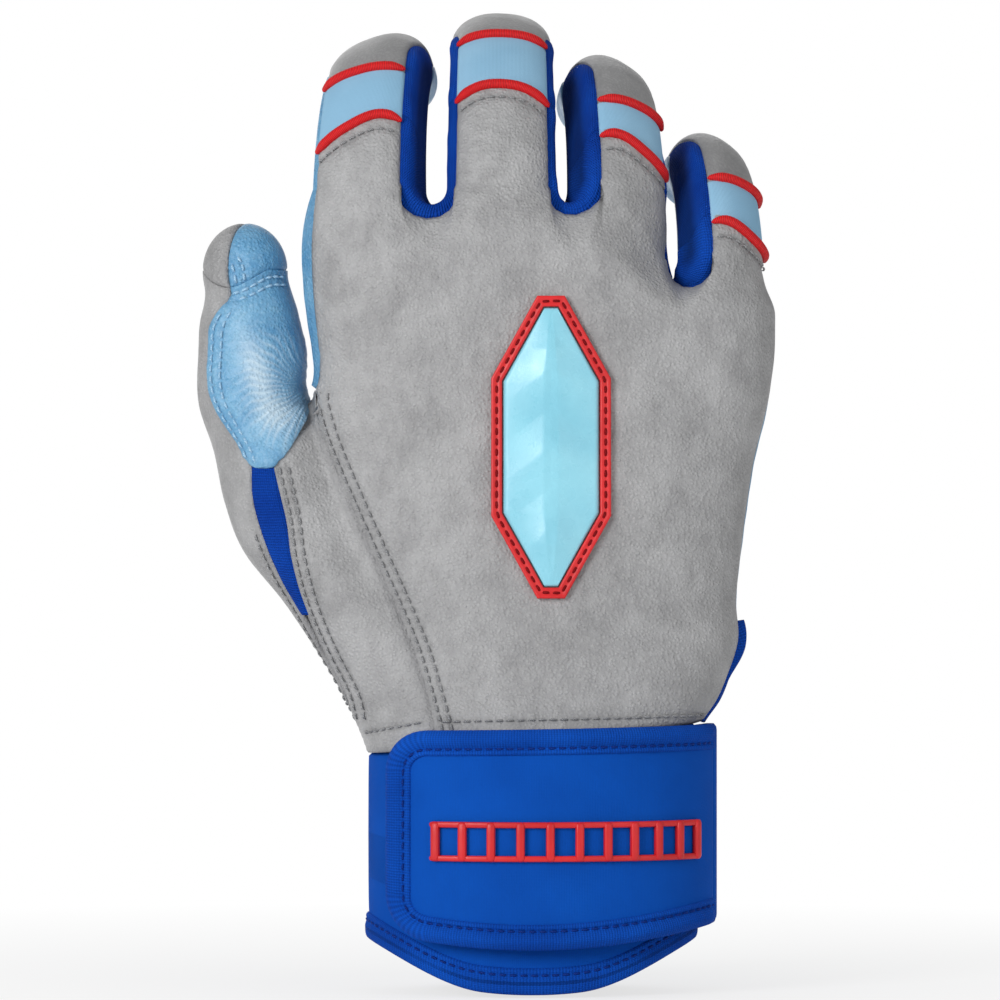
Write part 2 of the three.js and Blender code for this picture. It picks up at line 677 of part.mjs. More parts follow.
// Fourchette: one knit strip down a finger's side, under the web and up the next finger's side.
const LEG_ROWS = 3;
const WALL_ROWS = 4;
const wallShare = (across, finger) => mix(1, -1, across) * (FOURCHETTE_SHARE - SEAM_GAP / finger.depth);
function fourchette(web) {
  const leg = (k, side) => (up) =>
    range(WALL_ROWS).map((across) => {
      const share = wallShare(across, FINGERS[web.k]);
      const start = webLength(k, side);
      const end = cutLength(k, start, (s) => sidePoint(k, s, side, share)) - SEAM_GAP / 2;
      return layer(sidePoint(k, mix(start, end, up), side, share), KNIT);
    });
  const under = range(WEB_COLUMNS).map((turn) =>
    range(WALL_ROWS).map((across) => layer(webPoint(web, Math.PI * turn, wallShare(across, FINGERS[web.k])), KNIT)),
  );
  const ups = range(LEG_ROWS).slice(1);
  return skinSolid([...ups.map(leg(web.k, 1)).reverse(), ...under, ...ups.map(leg(web.k + 1, -1))]);
}
webs.forEach((web) => {
  add(`fourchette_${FINGERS[web.k].name}_${FINGERS[web.k + 1].name}`, fourchette(web), "blueKnit");
});

// Fingertips: flex band, pipings, cap, palm side and the ends of the fourchettes

const TIP_ROWS = 5;
const DOME_ROWS = 3;
const BAND_ROWS = 3;
const PIPING_STEPS = 7;

// Point on the rounded end of a finger, swept round the finger's width axis over the tip.
function domePoint(k, sweep, side) {
  const finger = FINGERS[k];
  const place = spine(finger, finger.length);
  const [left, right] = faceSpan(k, 1, finger.length);
  const angle = mix(left, right, side);
  const direction = place.across.multiplyScalar(Math.sin(angle));
  direction.addScaledVector(place.dorsal, Math.cos(angle) * Math.cos(sweep));
  direction.addScaledVector(place.along, Math.cos(angle) * Math.sin(sweep));
  return cast(place.centre, direction, ownField(finger));
}

// One face of a fingertip from its start to the seam over the rounded end.
function tipFace(k, face, startAt) {
  const finger = FINGERS[k];
  const body = layerGrid(
    TIP_ROWS,
    STRIP_COLUMNS,
    (up, side) => facePoint(k, face, mix(startAt(side), finger.length, up), side),
    LEATHER,
  );
  const last = Math.PI / 2 - SEAM_GAP / finger.tip / 2;
  const dome = layerGrid(
    DOME_ROWS,
    STRIP_COLUMNS,
    (up, side) => domePoint(k, face > 0 ? up * last : Math.PI - up * last, side),
    LEATHER,
  );
  return skinSolid([...body, ...dome.slice(1)]);
}

const cutAt = (k, face, side) => {
  const start = mix(webLength(k, -1), webLength(k, 1), side);
  return cutLength(k, start, (s) => facePoint(k, face, s, side)) + SEAM_GAP / 2;
};
function flexBand(k) {
  const place = (up, side) => facePoint(k, 1, mix(cutAt(k, 1, side), FINGERS[k].bandEnd, up), side);
  return skinSolid(layerGrid(BAND_ROWS, STRIP_COLUMNS, place, KNIT));
}

// Corded piping laid over a seam across the back of a finger.
function piping(k, lengthAt) {
  const points = range(PIPING_STEPS).map((share) => {
    const side = mix(0.05, 0.95, share);
    const { point, normal } = facePoint(k, 1, lengthAt(side), side);
    return point.addScaledVector(normal, PIPING / 2 + LAYER_GAP);
  });
  return bar(points, PIPING / 2);
}

function fourchetteTip(k, side) {
  const finger = FINGERS[k];
  const place = (up, across) => {
    const heightAt = (s) => mix(1, -1, across) * (seamShare(k, side, 1, s) - SEAM_GAP / finger.depth);
    const start = cutLength(k, webLength(k, side), (s) => sidePoint(k, s, side, heightAt(s))) + SEAM_GAP / 2;
    const s = mix(start, finger.length - SEAM_GAP, up);
    return sidePoint(k, s, side, heightAt(s));
  };
  return skinSolid(layerGrid(TIP_ROWS + 1, WALL_ROWS, place, KNIT));
}

FINGERS.forEach((finger, k) => {
  const name = finger.name;
  add(`${name}_lower_piping`, piping(k, (side) => cutAt(k, 1, side) - 1.5 * SEAM_GAP - PIPING / 2), "redPiping");
  add(`${name}_flex_band`, flexBand(k), "skyKnit");
  add(`${name}_upper_piping`, piping(k, () => finger.bandEnd + PIPING / 2), "redPiping");
  add(`${name}_cap`, tipFace(k, 1, () => finger.bandEnd + SEAM_GAP), "greyLeather");
  add(`${name}_palm_tip`, tipFace(k, -1, (side) => cutAt(k, -1, side)), "skyLeather");
  [-1, 1].forEach((side) => {
    if (isOuter(k, side)) return;
    add(`${name}_fourchette_${side < 0 ? "radial" : "ulnar"}`, fourchetteTip(k, side), "blueKnit");
  });
});

// Panels between the thumb and the wrist, seen on the back

const PAD_FOOT = palmHeight(PAD_FOOT_SHARE);

// Panel between two seams on the back face, from a low height to a height that may differ across it.
function seamPanel(leftSeam, rightSeam, lowAt, highAt, rows, columns, thickness) {
  const place = (up, across) => {
    const z = mix(lowAt(across), highAt(across), up);
    const x = mix(seamAt(leftSeam, z) + SEAM_GAP / 2, seamAt(rightSeam, z) - SEAM_GAP / 2, across);
    return handPoint(1, x, z);
  };
  return skinSolid(layerGrid(rows, columns, place, thickness));
}
const sideStart = (across) =>
  leatherStart(mix(seamAt(WRIST_SEAM_SHARES, palmHeight(0)), seamAt(THUMB_SEAM_SHARES, palmHeight(0)), across));
const sideTop = (across) => mix(PAD_FOOT, CROTCH - 2 * SEAM_GAP, across);
add(
  "thumb_side_panel",
  seamPanel(WRIST_SEAM_SHARES, THUMB_SEAM_SHARES, sideStart, sideTop, 7, 4, LEATHER),
  "greyLeather",
);
const [gussetFoot, gussetHead] = GUSSET_SPAN_SHARES.map(palmHeight);
add(
  "thumb_gusset",
  seamPanel(GUSSET_SEAM_SHARES, WRIST_SEAM_SHARES, () => gussetFoot + SEAM_GAP, () => gussetHead, 6, 2, KNIT),
  "blueKnit",
);

// Thumb

const thumbAngleOf = (z, { point }) => Math.atan2(-(point.x - thumbAt(z).x), -(point.y - thumbAt(z).y));
function thumbPoint(z, angle) {
  const thumb = thumbAt(z);
  const field = z <= CROTCH ? wholeField : thumbField;
  return cast(vector(thumb.x, thumb.y, z), vector(-Math.sin(angle), -Math.cos(angle), 0), field);
}

// Thumb knuckle: its axis carries the tip towards the palm, and the cut is a cylinder round it.
const flexAngle = THUMB_FLEX_ANGLE * RADIANS;
const flexDirection = vector(Math.cos(flexAngle), Math.sin(flexAngle), 0);
const thumbAxis = Z.clone().cross(flexDirection);
const thumbPivot = vector(thumbAt(THUMB_KNUCKLE).x, thumbAt(THUMB_KNUCKLE).y, THUMB_KNUCKLE);
function thumbCut(angle) {
  let low = THUMB_KNUCKLE;
  let high = THUMB_TIP_TOP - THUMB_DOME;
  for (let i = 0; i < HALVINGS / 2; i += 1) {
    const middle = (low + high) / 2;
    const off = thumbPoint(middle, angle).point.sub(thumbPivot);
    if (Math.hypot(off.dot(flexDirection), off.z) < THUMB_PIVOT_RADIUS) low = middle;
    else high = middle;
  }
  return (low + high) / 2;
}

const seamAngle = THUMB_SEAM_ANGLE * RADIANS;
const rearAngle = seamAngle - Math.PI;
const angleGap = (z) => SEAM_GAP / thumbAt(z).halfDepth / 2;
const padTurn = (foot, z) => smoothstep(foot, palmHeight(PAD_TOP_SHARE), z);

function padBulge(z) {
  const { start, full, fall, end } = PAD_BULGE_SHARES;
  const rise = smoothstep(palmHeight(start), palmHeight(full), z);
  return THUMB_SEAM_BULGE * RADIANS * rise * (1 - smoothstep(palmHeight(fall), palmHeight(end), z));
}

// Front seam of the thumb: the gusset's edge low down, then the edge of the light pad.
const gussetAngle = (z) => thumbAngleOf(z, handPoint(1, seamAt(GUSSET_SEAM_SHARES, z), z));
function frontSeam(z) {
  if (z <= PAD_FOOT) return gussetAngle(z);
  return mix(gussetAngle(PAD_FOOT), seamAngle, padTurn(PAD_FOOT, z)) + padBulge(z);
}
// Rear seam of the thumb: the palm's edge below the crotch, then the middle of the thumb's palm side.
function rearSeam(z) {
  const height = Math.min(z, CROTCH);
  const low = thumbAngleOf(height, handPoint(-1, palmRadial(height) - 2 * SEAM_GAP, height));
  return mix(low > 0 ? low - 2 * Math.PI : low, rearAngle, padTurn(CROTCH, z));
}
// Rows of the light pad. The grey panel beside it has a row at each of the same heights, so that the seam between
// them keeps its gap where it is curved.
const PAD_ROWS = 8;
function thumbBack() {
  const start = leatherStart(seamAt(WRIST_SEAM_SHARES, palmHeight(0)));
  const place = (up, across) => {
    const end = thumbCut(mix(seamAngle, rearAngle + 2 * Math.PI, across)) - 1.5 * SEAM_GAP;
    const z = up < 1 / 2 ? mix(start, PAD_FOOT, 2 * up) : mix(PAD_FOOT, end, 2 * up - 1);
    return thumbPoint(z, mix(frontSeam(z) + angleGap(z), rearSeam(z) + 2 * Math.PI - angleGap(z), across));
  };
  return skinSolid(layerGrid(2 * PAD_ROWS, 7, place, LEATHER));
}
add("thumb_back", thumbBack(), "greyLeather");

// Light pad on the inner side of the thumb, from the front seam over the crotch round to the rear seam. Its foot
// runs over the head of the gusset, follows the top of the side panel to the crotch and goes round it.
const PAD_COLUMNS = 12;
const PAD_FRONT_SHARE = 0.42;
const PAD_HEAD_SHARE = 0.25;
function padFoot(across) {
  const t = clamp(across / PAD_FRONT_SHARE, 0, 1);
  const rise = Math.max(t - PAD_HEAD_SHARE, 0) / (1 - PAD_HEAD_SHARE);
  const z = mix(PAD_FOOT, CROTCH - SEAM_GAP, rise) + SEAM_GAP;
  const head = mix(seamAt(GUSSET_SEAM_SHARES, z), seamAt(WRIST_SEAM_SHARES, z), clamp(t / PAD_HEAD_SHARE, 0, 1));
  const x = mix(head, seamAt(THUMB_SEAM_SHARES, z) - 2 * SEAM_GAP, rise);
  const start = thumbAngleOf(z, handPoint(1, x, z));
  const turned = (across - PAD_FRONT_SHARE) / (1 - PAD_FRONT_SHARE);
  if (turned <= 0) return { z, from: z, angle: start };
  return { z: CROTCH + CROTCH_RISE, from: CROTCH, angle: mix(start, rearSeam(CROTCH), turned) };
}
function thumbPad() {
  const place = (up, across) => {
    const foot = padFoot(across);
    const stop = mix(seamAngle, rearAngle, across);
    const z = mix(foot.z, thumbCut(stop) - 1.5 * SEAM_GAP, up);
    const turned = mix(foot.angle, stop, padTurn(foot.from, z)) + (1 - across) * padBulge(z);
    const angle = turned + mix(-1, 2, across) * angleGap(z);
    const thumb = thumbAt(z);
    return cast(vector(thumb.x, thumb.y, z), vector(-Math.sin(angle), -Math.cos(angle), 0), thumbField);
  };
  return skinSolid(layerGrid(PAD_ROWS, PAD_COLUMNS, place, PAD_THICKNESS));
}
add("thumb_pad", thumbPad(), "skyLeather");

// Half of the thumb's tip, from the knuckle cut to the seam over the top.
function thumbTip(from, to) {
  const middle = (from + to) / 2;
  const dome = THUMB_TIP_TOP - THUMB_DOME;
  const gap = SEAM_GAP / THUMB_DOME / 2;
  const angleAt = (across) => mix(from + gap, to - gap, across);
  const body = range(3).map((up) =>
    range(6).map((across) => {
      const angle = angleAt(across);
      const z = mix(thumbCut(angle) + 1.5 * SEAM_GAP, dome, up);
      const rise = up === 0 ? KNUCKLE_BEVEL : 0;
      return slopedLayer(thumbPoint(z, angle), thumbPoint(z + rise, angle), LEATHER);
    }),
  );
  const thumb = thumbAt(dome);
  const facing = vector(-Math.sin(middle), -Math.cos(middle), 0);
  const aside = vector(-Math.cos(middle), Math.sin(middle), 0);
  const cap = layerGrid(
    DOME_ROWS,
    6,
    (up, across) => {
      const angle = angleAt(across) - middle;
      const lift = up * (Math.PI / 2 - gap);
      const direction = aside.clone().multiplyScalar(Math.sin(angle));
      direction.addScaledVector(facing, Math.cos(angle) * Math.cos(lift));
      direction.addScaledVector(Z, Math.cos(angle) * Math.sin(lift));
      return cast(vector(thumb.x, thumb.y, dome), direction, thumbField);
    },
    LEATHER,
  );
  return skinSolid([...body, ...cap.slice(1)]);
}
add("thumb_tip_back", thumbTip(seamAngle, seamAngle + Math.PI), "greyLeather");
add("thumb_tip_pad", thumbTip(rearAngle, seamAngle), "skyLeather");

// Vent gusset on the little finger's side of the wrist
function ventGusset() {
  const place = (up, across) => {
    const z = mix(leatherStart(CUFF.centre + CUFF.halfWidth), palmHeight(VENT_TOP_SHARE), up);
    const right = palmSpine(z)[1];
    const gap = SEAM_GAP / FAN;
    const start = (ulnarEdge(1, z) - right) / FAN + gap;
    const end = Math.PI - (ulnarEdge(-1, z) - right) / FAN - gap;
    const angle = mix(start, end, across);
    return cast(vector(right, 0, z), vector(Math.sin(angle), -Math.cos(angle), 0), wholeField);
  };
  return skinSolid(layerGrid(6, 5, place, KNIT));
}
add("wrist_vent_gusset", ventGusset(), "blueKnit");

// Cuff, strap and closure: oval rings round the wrist

// Point at a distance outside the cuff's outer face.
function cuffPoint(turn, out, z) {
  const angle = turn * RADIANS;
  const [a, b] = [CUFF.halfWidth, CUFF.halfDepth];
  const normal = vector(Math.cos(angle) / a, -Math.sin(angle) / b, 0).normalize();
  return vector(CUFF.centre + a * Math.cos(angle), -b * Math.sin(angle), z).addScaledVector(normal, out);
}
// The rim is level at the front and back of the wrist, where the glove stands, and rises at the sides.
const rimHeight = (turn) => CUFF.rimRise * smoothstep(RIM_FLAT_SHARE, 1, Math.abs(Math.cos(turn * RADIANS)));

const RING_STEPS = 36;
const ring = (rows) =>
  skinSolid(
    rows.map(({ outer, inner }) =>
      range(RING_STEPS)
        .slice(0, RING_STEPS)
        .map((share) => ({ outer: outer(360 * share), inner: inner(360 * share) })),
    ),
    { wrap: true },
  );
const cuffRim = (turn) => CUFF.top + CUFF.tilt * Math.cos(turn * RADIANS);
// The joint between the band and its binding slants down to the inside and the joint with the leather slants up,
// so no light passes them.
const slant = NEOPRENE;
const bandRows = range(3).map((share) => {
  const at = (turn, out, drop, lip) =>
    cuffPoint(turn, out, mix(rimHeight(turn) + CUFF.binding + SEAM_GAP - drop, cuffRim(turn) + lip, share));
  return { outer: (turn) => at(turn, 0, 0, 0), inner: (turn) => at(turn, -NEOPRENE, slant, CUFF.lip) };
});
add("cuff_band", ring(bandRows), "blueNeoprene");

// Binding folded round the lower rim: a rounded bead with a flat foot.
const bindingRows = [0, 0.3, 0.7, 1].map((share) => {
  const bulge = share > 0 && share < 1 ? CUFF.bulge : 0;
  return {
    outer: (turn) => cuffPoint(turn, bulge, rimHeight(turn) + CUFF.binding * share),
    inner: (turn) => cuffPoint(turn, -NEOPRENE - bulge, rimHeight(turn) + (CUFF.binding - slant) * share),
  };
});
add("cuff_binding", ring(bindingRows), "blueKnit");

// Edges of the strap over the cuff, and its distance from the cuff
const strapBottom = (turn) => STRAP.bottom + STRAP.rise * Math.pow(Math.cos(turn * RADIANS), 2);
const strapTop = (turn) => STRAP.top + (STRAP.tilt * Math.cos(turn * RADIANS)) / 2;
const strapLift = 3 * LAYER_GAP + HOOK_TAPE.thickness + LOOP_TAPE.thickness;
const degreesOf = (length) => (2 * length) / (CUFF.halfWidth + CUFF.halfDepth) / RADIANS;

// Patch over the cuff between two turns and two heights. Its far end may have rounded corners.
function cuffPatch({ from, to, low, high, lift, thickness, rows, columns, corner = 0 }) {
  const grid = range(rows).map((up) =>
    range(columns).map((share) => {
      const turn = mix(from, to, share);
      const near = clamp(1 - Math.abs(turn - to) / degreesOf(Math.max(corner, SEAM_GAP)), 0, 1);
      const inset = corner * (1 - Math.sqrt(1 - near * near));
      const z = mix(low(turn) + inset, high(turn) - inset, up);
      return { outer: cuffPoint(turn, lift(turn) + thickness, z), inner: cuffPoint(turn, lift(turn), z) };
    }),
  );
  return skinSolid(grid);
}
const bindingInset = STRAP.binding + SEAM_GAP;
add(
  "strap_panel",
  cuffPatch({
    from: STRAP_TURNS.hinge,
    to: STRAP_TURNS.free - degreesOf(bindingInset),
    low: (turn) => strapBottom(turn) + bindingInset,
    high: (turn) => strapTop(turn) - bindingInset,
    lift: () => strapLift,
    thickness: STRAP.thickness,
    rows: 3,
    columns: 18,
    corner: STRAP_CORNER - STRAP.binding,
  }),
  "blueNeoprene",
);

// Binding round three sides of the strap, as one band that follows the edge.
function strapBinding() {
  const cornerTurn = STRAP_TURNS.free - degreesOf(STRAP_CORNER);
  const turns = range(14).map((share) => mix(STRAP_TURNS.hinge, cornerTurn, share));
  const angles = range(4).slice(1);
  const path = [
    ...turns.map((turn) => ({ turn, edge: 0, angle: 0 })),
    ...angles.map((share) => ({ turn: cornerTurn, edge: 0, angle: (share * Math.PI) / 2 })),
    ...[1 / 3, 2 / 3].map((edge) => ({ turn: cornerTurn, edge, angle: Math.PI / 2 })),
    ...angles.map((share) => ({ turn: cornerTurn, edge: 1, angle: (share * Math.PI) / 2 })).reverse(),
    ...turns.map((turn) => ({ turn, edge: 1, angle: 0 })).reverse(),
  ];
  const grid = path.map(({ turn, edge, angle }) =>
    [0, STRAP.binding].map((inset) => {
      const radius = STRAP_CORNER - inset;
      const at = turn + degreesOf(radius * Math.sin(angle));
      const drop = (1 - 2 * edge) * radius * Math.cos(angle);
      const z = mix(strapBottom(at) + STRAP_CORNER, strapTop(at) - STRAP_CORNER, edge) - drop;
      return { outer: cuffPoint(at, strapLift + STRAP.bindingThickness, z), inner: cuffPoint(at, strapLift, z) };
    }),
  );
  return skinSolid(grid);
}
add("strap_binding", strapBinding(), "blueKnit");

// Hook tape under the strap and loop tape on the cuff
function tape({ thickness, inset, from, to }, lift) {
  const low = (turn) => strapBottom(turn) + inset;
  const high = (turn) => cuffRim(turn) - inset;
  return cuffPatch({ from, to, low, high, lift: () => lift, thickness, rows: 1, columns: 10 });
}
add("hook_patch", tape(HOOK_TAPE, 2 * LAYER_GAP + LOOP_TAPE.thickness), "hookTape");
add("loop_patch", tape(LOOP_TAPE, LAYER_GAP), "hookTape");

// Fixed end of the strap, sewn round the little finger's side on to the palm side of the cuff.
const anchorStart = STRAP_TURNS.hinge - degreesOf(SEAM_GAP);
const anchorEnd = anchorStart - ANCHOR_TURN;
add(
  "strap_anchor",
  cuffPatch({
    from: anchorStart,
    to: anchorEnd,
    low: (turn) => Math.max(strapBottom(turn), rimHeight(turn) + CUFF.binding / 2),
    high: (turn) => mix(strapTop(turn), cuffRim(turn) - SEAM_GAP, smoothstep(anchorStart, anchorEnd, turn)),
    lift: (turn) => mix(strapLift, CUFF.bulge + LAYER_GAP, smoothstep(anchorStart, anchorEnd, turn)),
    thickness: STRAP.thickness,
    rows: 3,
    columns: 9,
  }),
  "blueNeoprene",
);

// Moulded ribs on the strap, upright bars between two slim rails, as a grip for the fingers.
function strapRibs() {
  const base = strapLift + STRAP.thickness + LAYER_GAP;
  const stations = [];
  range(RIBS.count - 1).forEach((share) => {
    const centre = (share - 1 / 2) * (RIBS.count - 1) * RIBS.pitch;
    [-1 / 2, -1 / 4, 1 / 4, 1 / 2].forEach((part) => {
      const turn = STRAP_TURNS.ribs - degreesOf(centre + part * RIBS.width);
      stations.push({ turn, rise: Math.abs(part) < 1 / 2 ? RIBS.crest : 0 });
    });
  });
  const half = RIBS.height / 2;
  const grid = [-half, RIBS.rail - half, half - RIBS.rail, half].map((height) =>
    stations.map(({ turn, rise }) => {
      const z = RIBS.middle + height;
      return { outer: cuffPoint(turn, base + RIBS.plate + rise, z), inner: cuffPoint(turn, base, z) };
    }),
  );
  return skinSolid(grid, { keep: (j, i) => j !== 1 || i % 4 !== 3 });
}
add("strap_ribs", strapRibs(), "redRubber");

// Patch on the back of the hand: a long eight-sided insert with cut facets, inside a sewn border.
function patchHalfWidth(z, inset) {
  const slope = (PATCH.width - PATCH.end) / 2 / PATCH.shoulder;
  const end = PATCH.end / 2 - inset * (Math.hypot(1, slope) - slope);
  return Math.min(PATCH.width / 2 - inset, end + (PATCH.height / 2 - inset - Math.abs(z)) * slope);
}
const patchPoint = (x, z) =>
  handPoint(1, PALM_BREADTH * PATCH_CENTRE_SHARES.across + x, palmHeight(PATCH_CENTRE_SHARES.up) + z);
const PATCH_ROW_SHARES = [-1, -0.73, -0.45, -0.15, 0.15, 0.45, 0.73, 1];
function patchInsert() {
  const inset = PATCH.border + SEAM_GAP;
  const half = PATCH.height / 2 - inset;
  const grid = PATCH_ROW_SHARES.map((share) =>
    [-1, -0.5, 0, 0.5, 1].map((side) => {
      const crown = PATCH.crown * (1 - Math.abs(side)) * (Math.abs(share) < 1 ? 1 : 0);
      const hit = patchPoint(side * patchHalfWidth(share * half, inset), share * half);
      return layer(hit, PATCH.thickness + crown, LAYER_GAP + PATCH.thickness + crown);
    }),
  );
  return skinSolid(grid);
}
function patchBorder() {
  const grid = [0, PATCH.border].map((inset) => {
    const right = PATCH_ROW_SHARES.map((share) => {
      const z = share * (PATCH.height / 2 - inset);
      return [patchHalfWidth(z, inset), z];
    });
    const left = right.map(([x, z]) => [-x, z]).reverse();
    return [...right, ...left].map(([x, z]) => layer(patchPoint(x, z), PATCH.thickness, LAYER_GAP + PATCH.thickness));
  });
  return skinSolid(grid, { wrap: true });
}
add("patch_insert", patchInsert(), "skyRubber");
add("patch_border", patchBorder(), "redRubber");

// Hinges, in the same frame as the meshes: a point on each axis and its direction
glove.userData.hinges = Object.fromEntries(
  FINGERS.map((finger) => [
    `${finger.name}_flex`,
    { at: pivotOf(finger), axis: vector(-1, 0, 0).transformDirection(finger.frame) },
  ]),
);
glove.userData.hinges.thumb_flex = { at: thumbPivot, axis: thumbAxis };
glove.userData.hinges.strap_open = {
  at: cuffPoint(STRAP_TURNS.hinge - degreesOf(SEAM_GAP) / 2, strapLift + STRAP.thickness, 0),
  axis: Z,
};

// The frame's origin is the middle of the footprint, at the height of the rim.
const box = new THREE.Box3().setFromObject(glove, true);
const middle = box.getCenter(vector(0, 0, 0));
glove.position.set(-middle.x, -middle.y, -box.min.z);
export default glove;
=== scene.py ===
"""Right-hand batting glove: leather, knit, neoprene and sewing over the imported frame.

Every panel lies on one smooth form of a hand, worked out here with numpy in millimetres in the same way as in the
CAD source, and is moved into the frame in metres. Fingers point up, the back of the hand faces -Y and the thumb
lies towards -X.
"""

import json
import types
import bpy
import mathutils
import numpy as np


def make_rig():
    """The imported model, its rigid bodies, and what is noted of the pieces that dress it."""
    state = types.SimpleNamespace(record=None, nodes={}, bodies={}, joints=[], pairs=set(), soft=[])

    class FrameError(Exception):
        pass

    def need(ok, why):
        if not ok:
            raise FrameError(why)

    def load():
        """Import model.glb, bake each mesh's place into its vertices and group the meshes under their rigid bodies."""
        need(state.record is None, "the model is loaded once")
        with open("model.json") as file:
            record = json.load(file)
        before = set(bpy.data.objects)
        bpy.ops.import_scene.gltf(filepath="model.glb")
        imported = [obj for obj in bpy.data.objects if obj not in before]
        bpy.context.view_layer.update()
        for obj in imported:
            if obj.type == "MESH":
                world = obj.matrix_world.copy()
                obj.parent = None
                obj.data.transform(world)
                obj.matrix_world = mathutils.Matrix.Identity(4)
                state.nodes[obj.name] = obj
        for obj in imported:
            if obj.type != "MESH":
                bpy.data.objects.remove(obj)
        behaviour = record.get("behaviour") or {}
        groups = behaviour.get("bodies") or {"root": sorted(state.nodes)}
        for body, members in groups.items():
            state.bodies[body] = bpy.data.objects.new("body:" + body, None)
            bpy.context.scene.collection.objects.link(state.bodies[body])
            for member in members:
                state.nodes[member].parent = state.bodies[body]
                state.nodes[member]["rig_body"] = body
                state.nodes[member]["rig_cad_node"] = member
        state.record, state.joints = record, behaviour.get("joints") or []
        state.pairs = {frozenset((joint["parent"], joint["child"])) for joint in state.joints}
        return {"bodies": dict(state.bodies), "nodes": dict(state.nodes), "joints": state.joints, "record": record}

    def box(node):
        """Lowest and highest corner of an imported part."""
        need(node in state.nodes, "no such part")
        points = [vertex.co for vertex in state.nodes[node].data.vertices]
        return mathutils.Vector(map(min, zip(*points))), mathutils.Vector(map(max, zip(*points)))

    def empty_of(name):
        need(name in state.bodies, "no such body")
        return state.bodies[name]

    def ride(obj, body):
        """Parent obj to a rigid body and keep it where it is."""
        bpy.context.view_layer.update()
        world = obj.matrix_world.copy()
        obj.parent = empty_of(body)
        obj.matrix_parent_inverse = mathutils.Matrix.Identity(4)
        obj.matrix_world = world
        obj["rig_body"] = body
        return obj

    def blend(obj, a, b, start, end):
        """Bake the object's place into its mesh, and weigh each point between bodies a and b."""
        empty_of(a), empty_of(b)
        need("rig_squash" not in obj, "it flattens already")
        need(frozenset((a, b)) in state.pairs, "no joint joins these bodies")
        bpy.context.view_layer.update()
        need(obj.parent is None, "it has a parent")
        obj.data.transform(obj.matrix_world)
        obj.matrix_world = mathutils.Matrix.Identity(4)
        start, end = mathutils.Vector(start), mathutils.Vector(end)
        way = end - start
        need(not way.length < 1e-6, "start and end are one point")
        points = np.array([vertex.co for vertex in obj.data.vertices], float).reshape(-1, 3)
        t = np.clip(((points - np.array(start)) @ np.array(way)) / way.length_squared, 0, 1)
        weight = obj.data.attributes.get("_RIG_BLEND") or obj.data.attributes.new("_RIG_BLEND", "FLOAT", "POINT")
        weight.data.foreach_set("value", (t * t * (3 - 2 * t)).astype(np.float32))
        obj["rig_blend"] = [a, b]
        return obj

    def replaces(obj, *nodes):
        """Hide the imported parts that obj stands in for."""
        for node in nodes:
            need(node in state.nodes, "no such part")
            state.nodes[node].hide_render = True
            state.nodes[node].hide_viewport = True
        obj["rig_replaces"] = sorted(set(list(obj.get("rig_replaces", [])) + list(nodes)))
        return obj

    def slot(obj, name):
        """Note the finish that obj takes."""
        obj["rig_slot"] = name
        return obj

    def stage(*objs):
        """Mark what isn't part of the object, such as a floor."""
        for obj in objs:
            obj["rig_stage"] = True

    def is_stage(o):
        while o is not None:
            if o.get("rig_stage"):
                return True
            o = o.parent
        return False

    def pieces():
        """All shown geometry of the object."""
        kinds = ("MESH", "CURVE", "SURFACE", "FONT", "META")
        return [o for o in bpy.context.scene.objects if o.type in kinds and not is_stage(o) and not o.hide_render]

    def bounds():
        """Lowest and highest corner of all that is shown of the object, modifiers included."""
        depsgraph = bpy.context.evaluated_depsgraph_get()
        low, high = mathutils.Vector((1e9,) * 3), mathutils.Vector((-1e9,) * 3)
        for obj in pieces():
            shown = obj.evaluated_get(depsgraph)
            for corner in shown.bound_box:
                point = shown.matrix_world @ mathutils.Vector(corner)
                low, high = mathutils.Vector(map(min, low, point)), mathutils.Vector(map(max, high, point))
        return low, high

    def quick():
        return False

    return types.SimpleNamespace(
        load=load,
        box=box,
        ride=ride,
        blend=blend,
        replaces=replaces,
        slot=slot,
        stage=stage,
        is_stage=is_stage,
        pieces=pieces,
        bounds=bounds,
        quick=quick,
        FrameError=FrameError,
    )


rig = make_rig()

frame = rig.load()
first_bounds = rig.bounds()

import logging
import math
from dataclasses import dataclass, field
from enum import Enum
from typing import Callable, Optional, Sequence

import bpy
import numpy as np
from mathutils import Vector

LOG = logging.getLogger("batting_glove")
MM = 0.001

Array = np.ndarray
Field = Callable[[Array], Array]
Colour = tuple[float, float, float, float]
Socket = bpy.types.NodeSocket
Object = bpy.types.Object
X_AXIS, Y_AXIS, Z_AXIS = np.eye(3)
TURN = 2 * math.pi

# lines of a grid: its first and last column and row, and the seams of a panel whose first and last three columns
# lie under its neighbours
LEFT, RIGHT, FOOT, HEAD = (slice(None), 0), (slice(None), -1), 0, -1
LEFT_SEAM, RIGHT_SEAM = (slice(None), 3), (slice(None), -4)

# distance of a finger's hinge past its knuckle's seam, width of a panel's rolled edge, depth at which a panel lies
# under its neighbour, distance over which a point of a grid is a stray one
HINGE_REACH, ROLL, SUNK, STRAY = 8.0, 1.3, 1.5, 3.0

# the photograph: millimetres to a pixel, its middle, and the pixel of the form's zero
PIXEL = 0.22
PHOTO_MIDDLE = 500
FORM_ZERO = (546, 988)


# ---------------------------------------------------------------- small numpy helpers


def mix(a: Array, b: Array, t: Array) -> Array:
    """Straight blend from a at t = 0 to b at t = 1."""
    return a + (b - a) * t


def smoothstep(low: float, high: float, value: Array) -> Array:
    """Smooth rise from 0 at low to 1 at high: 3 t squared less 2 t cubed."""
    t = np.clip((value - low) / (high - low), 0, 1)
    return t * t * (3 - 2 * t)


def unit(v: Array) -> Array:
    """Vectors along the last axis, scaled to length one."""
    return v / np.maximum(np.linalg.norm(v, axis=-1, keepdims=True), 1e-12)


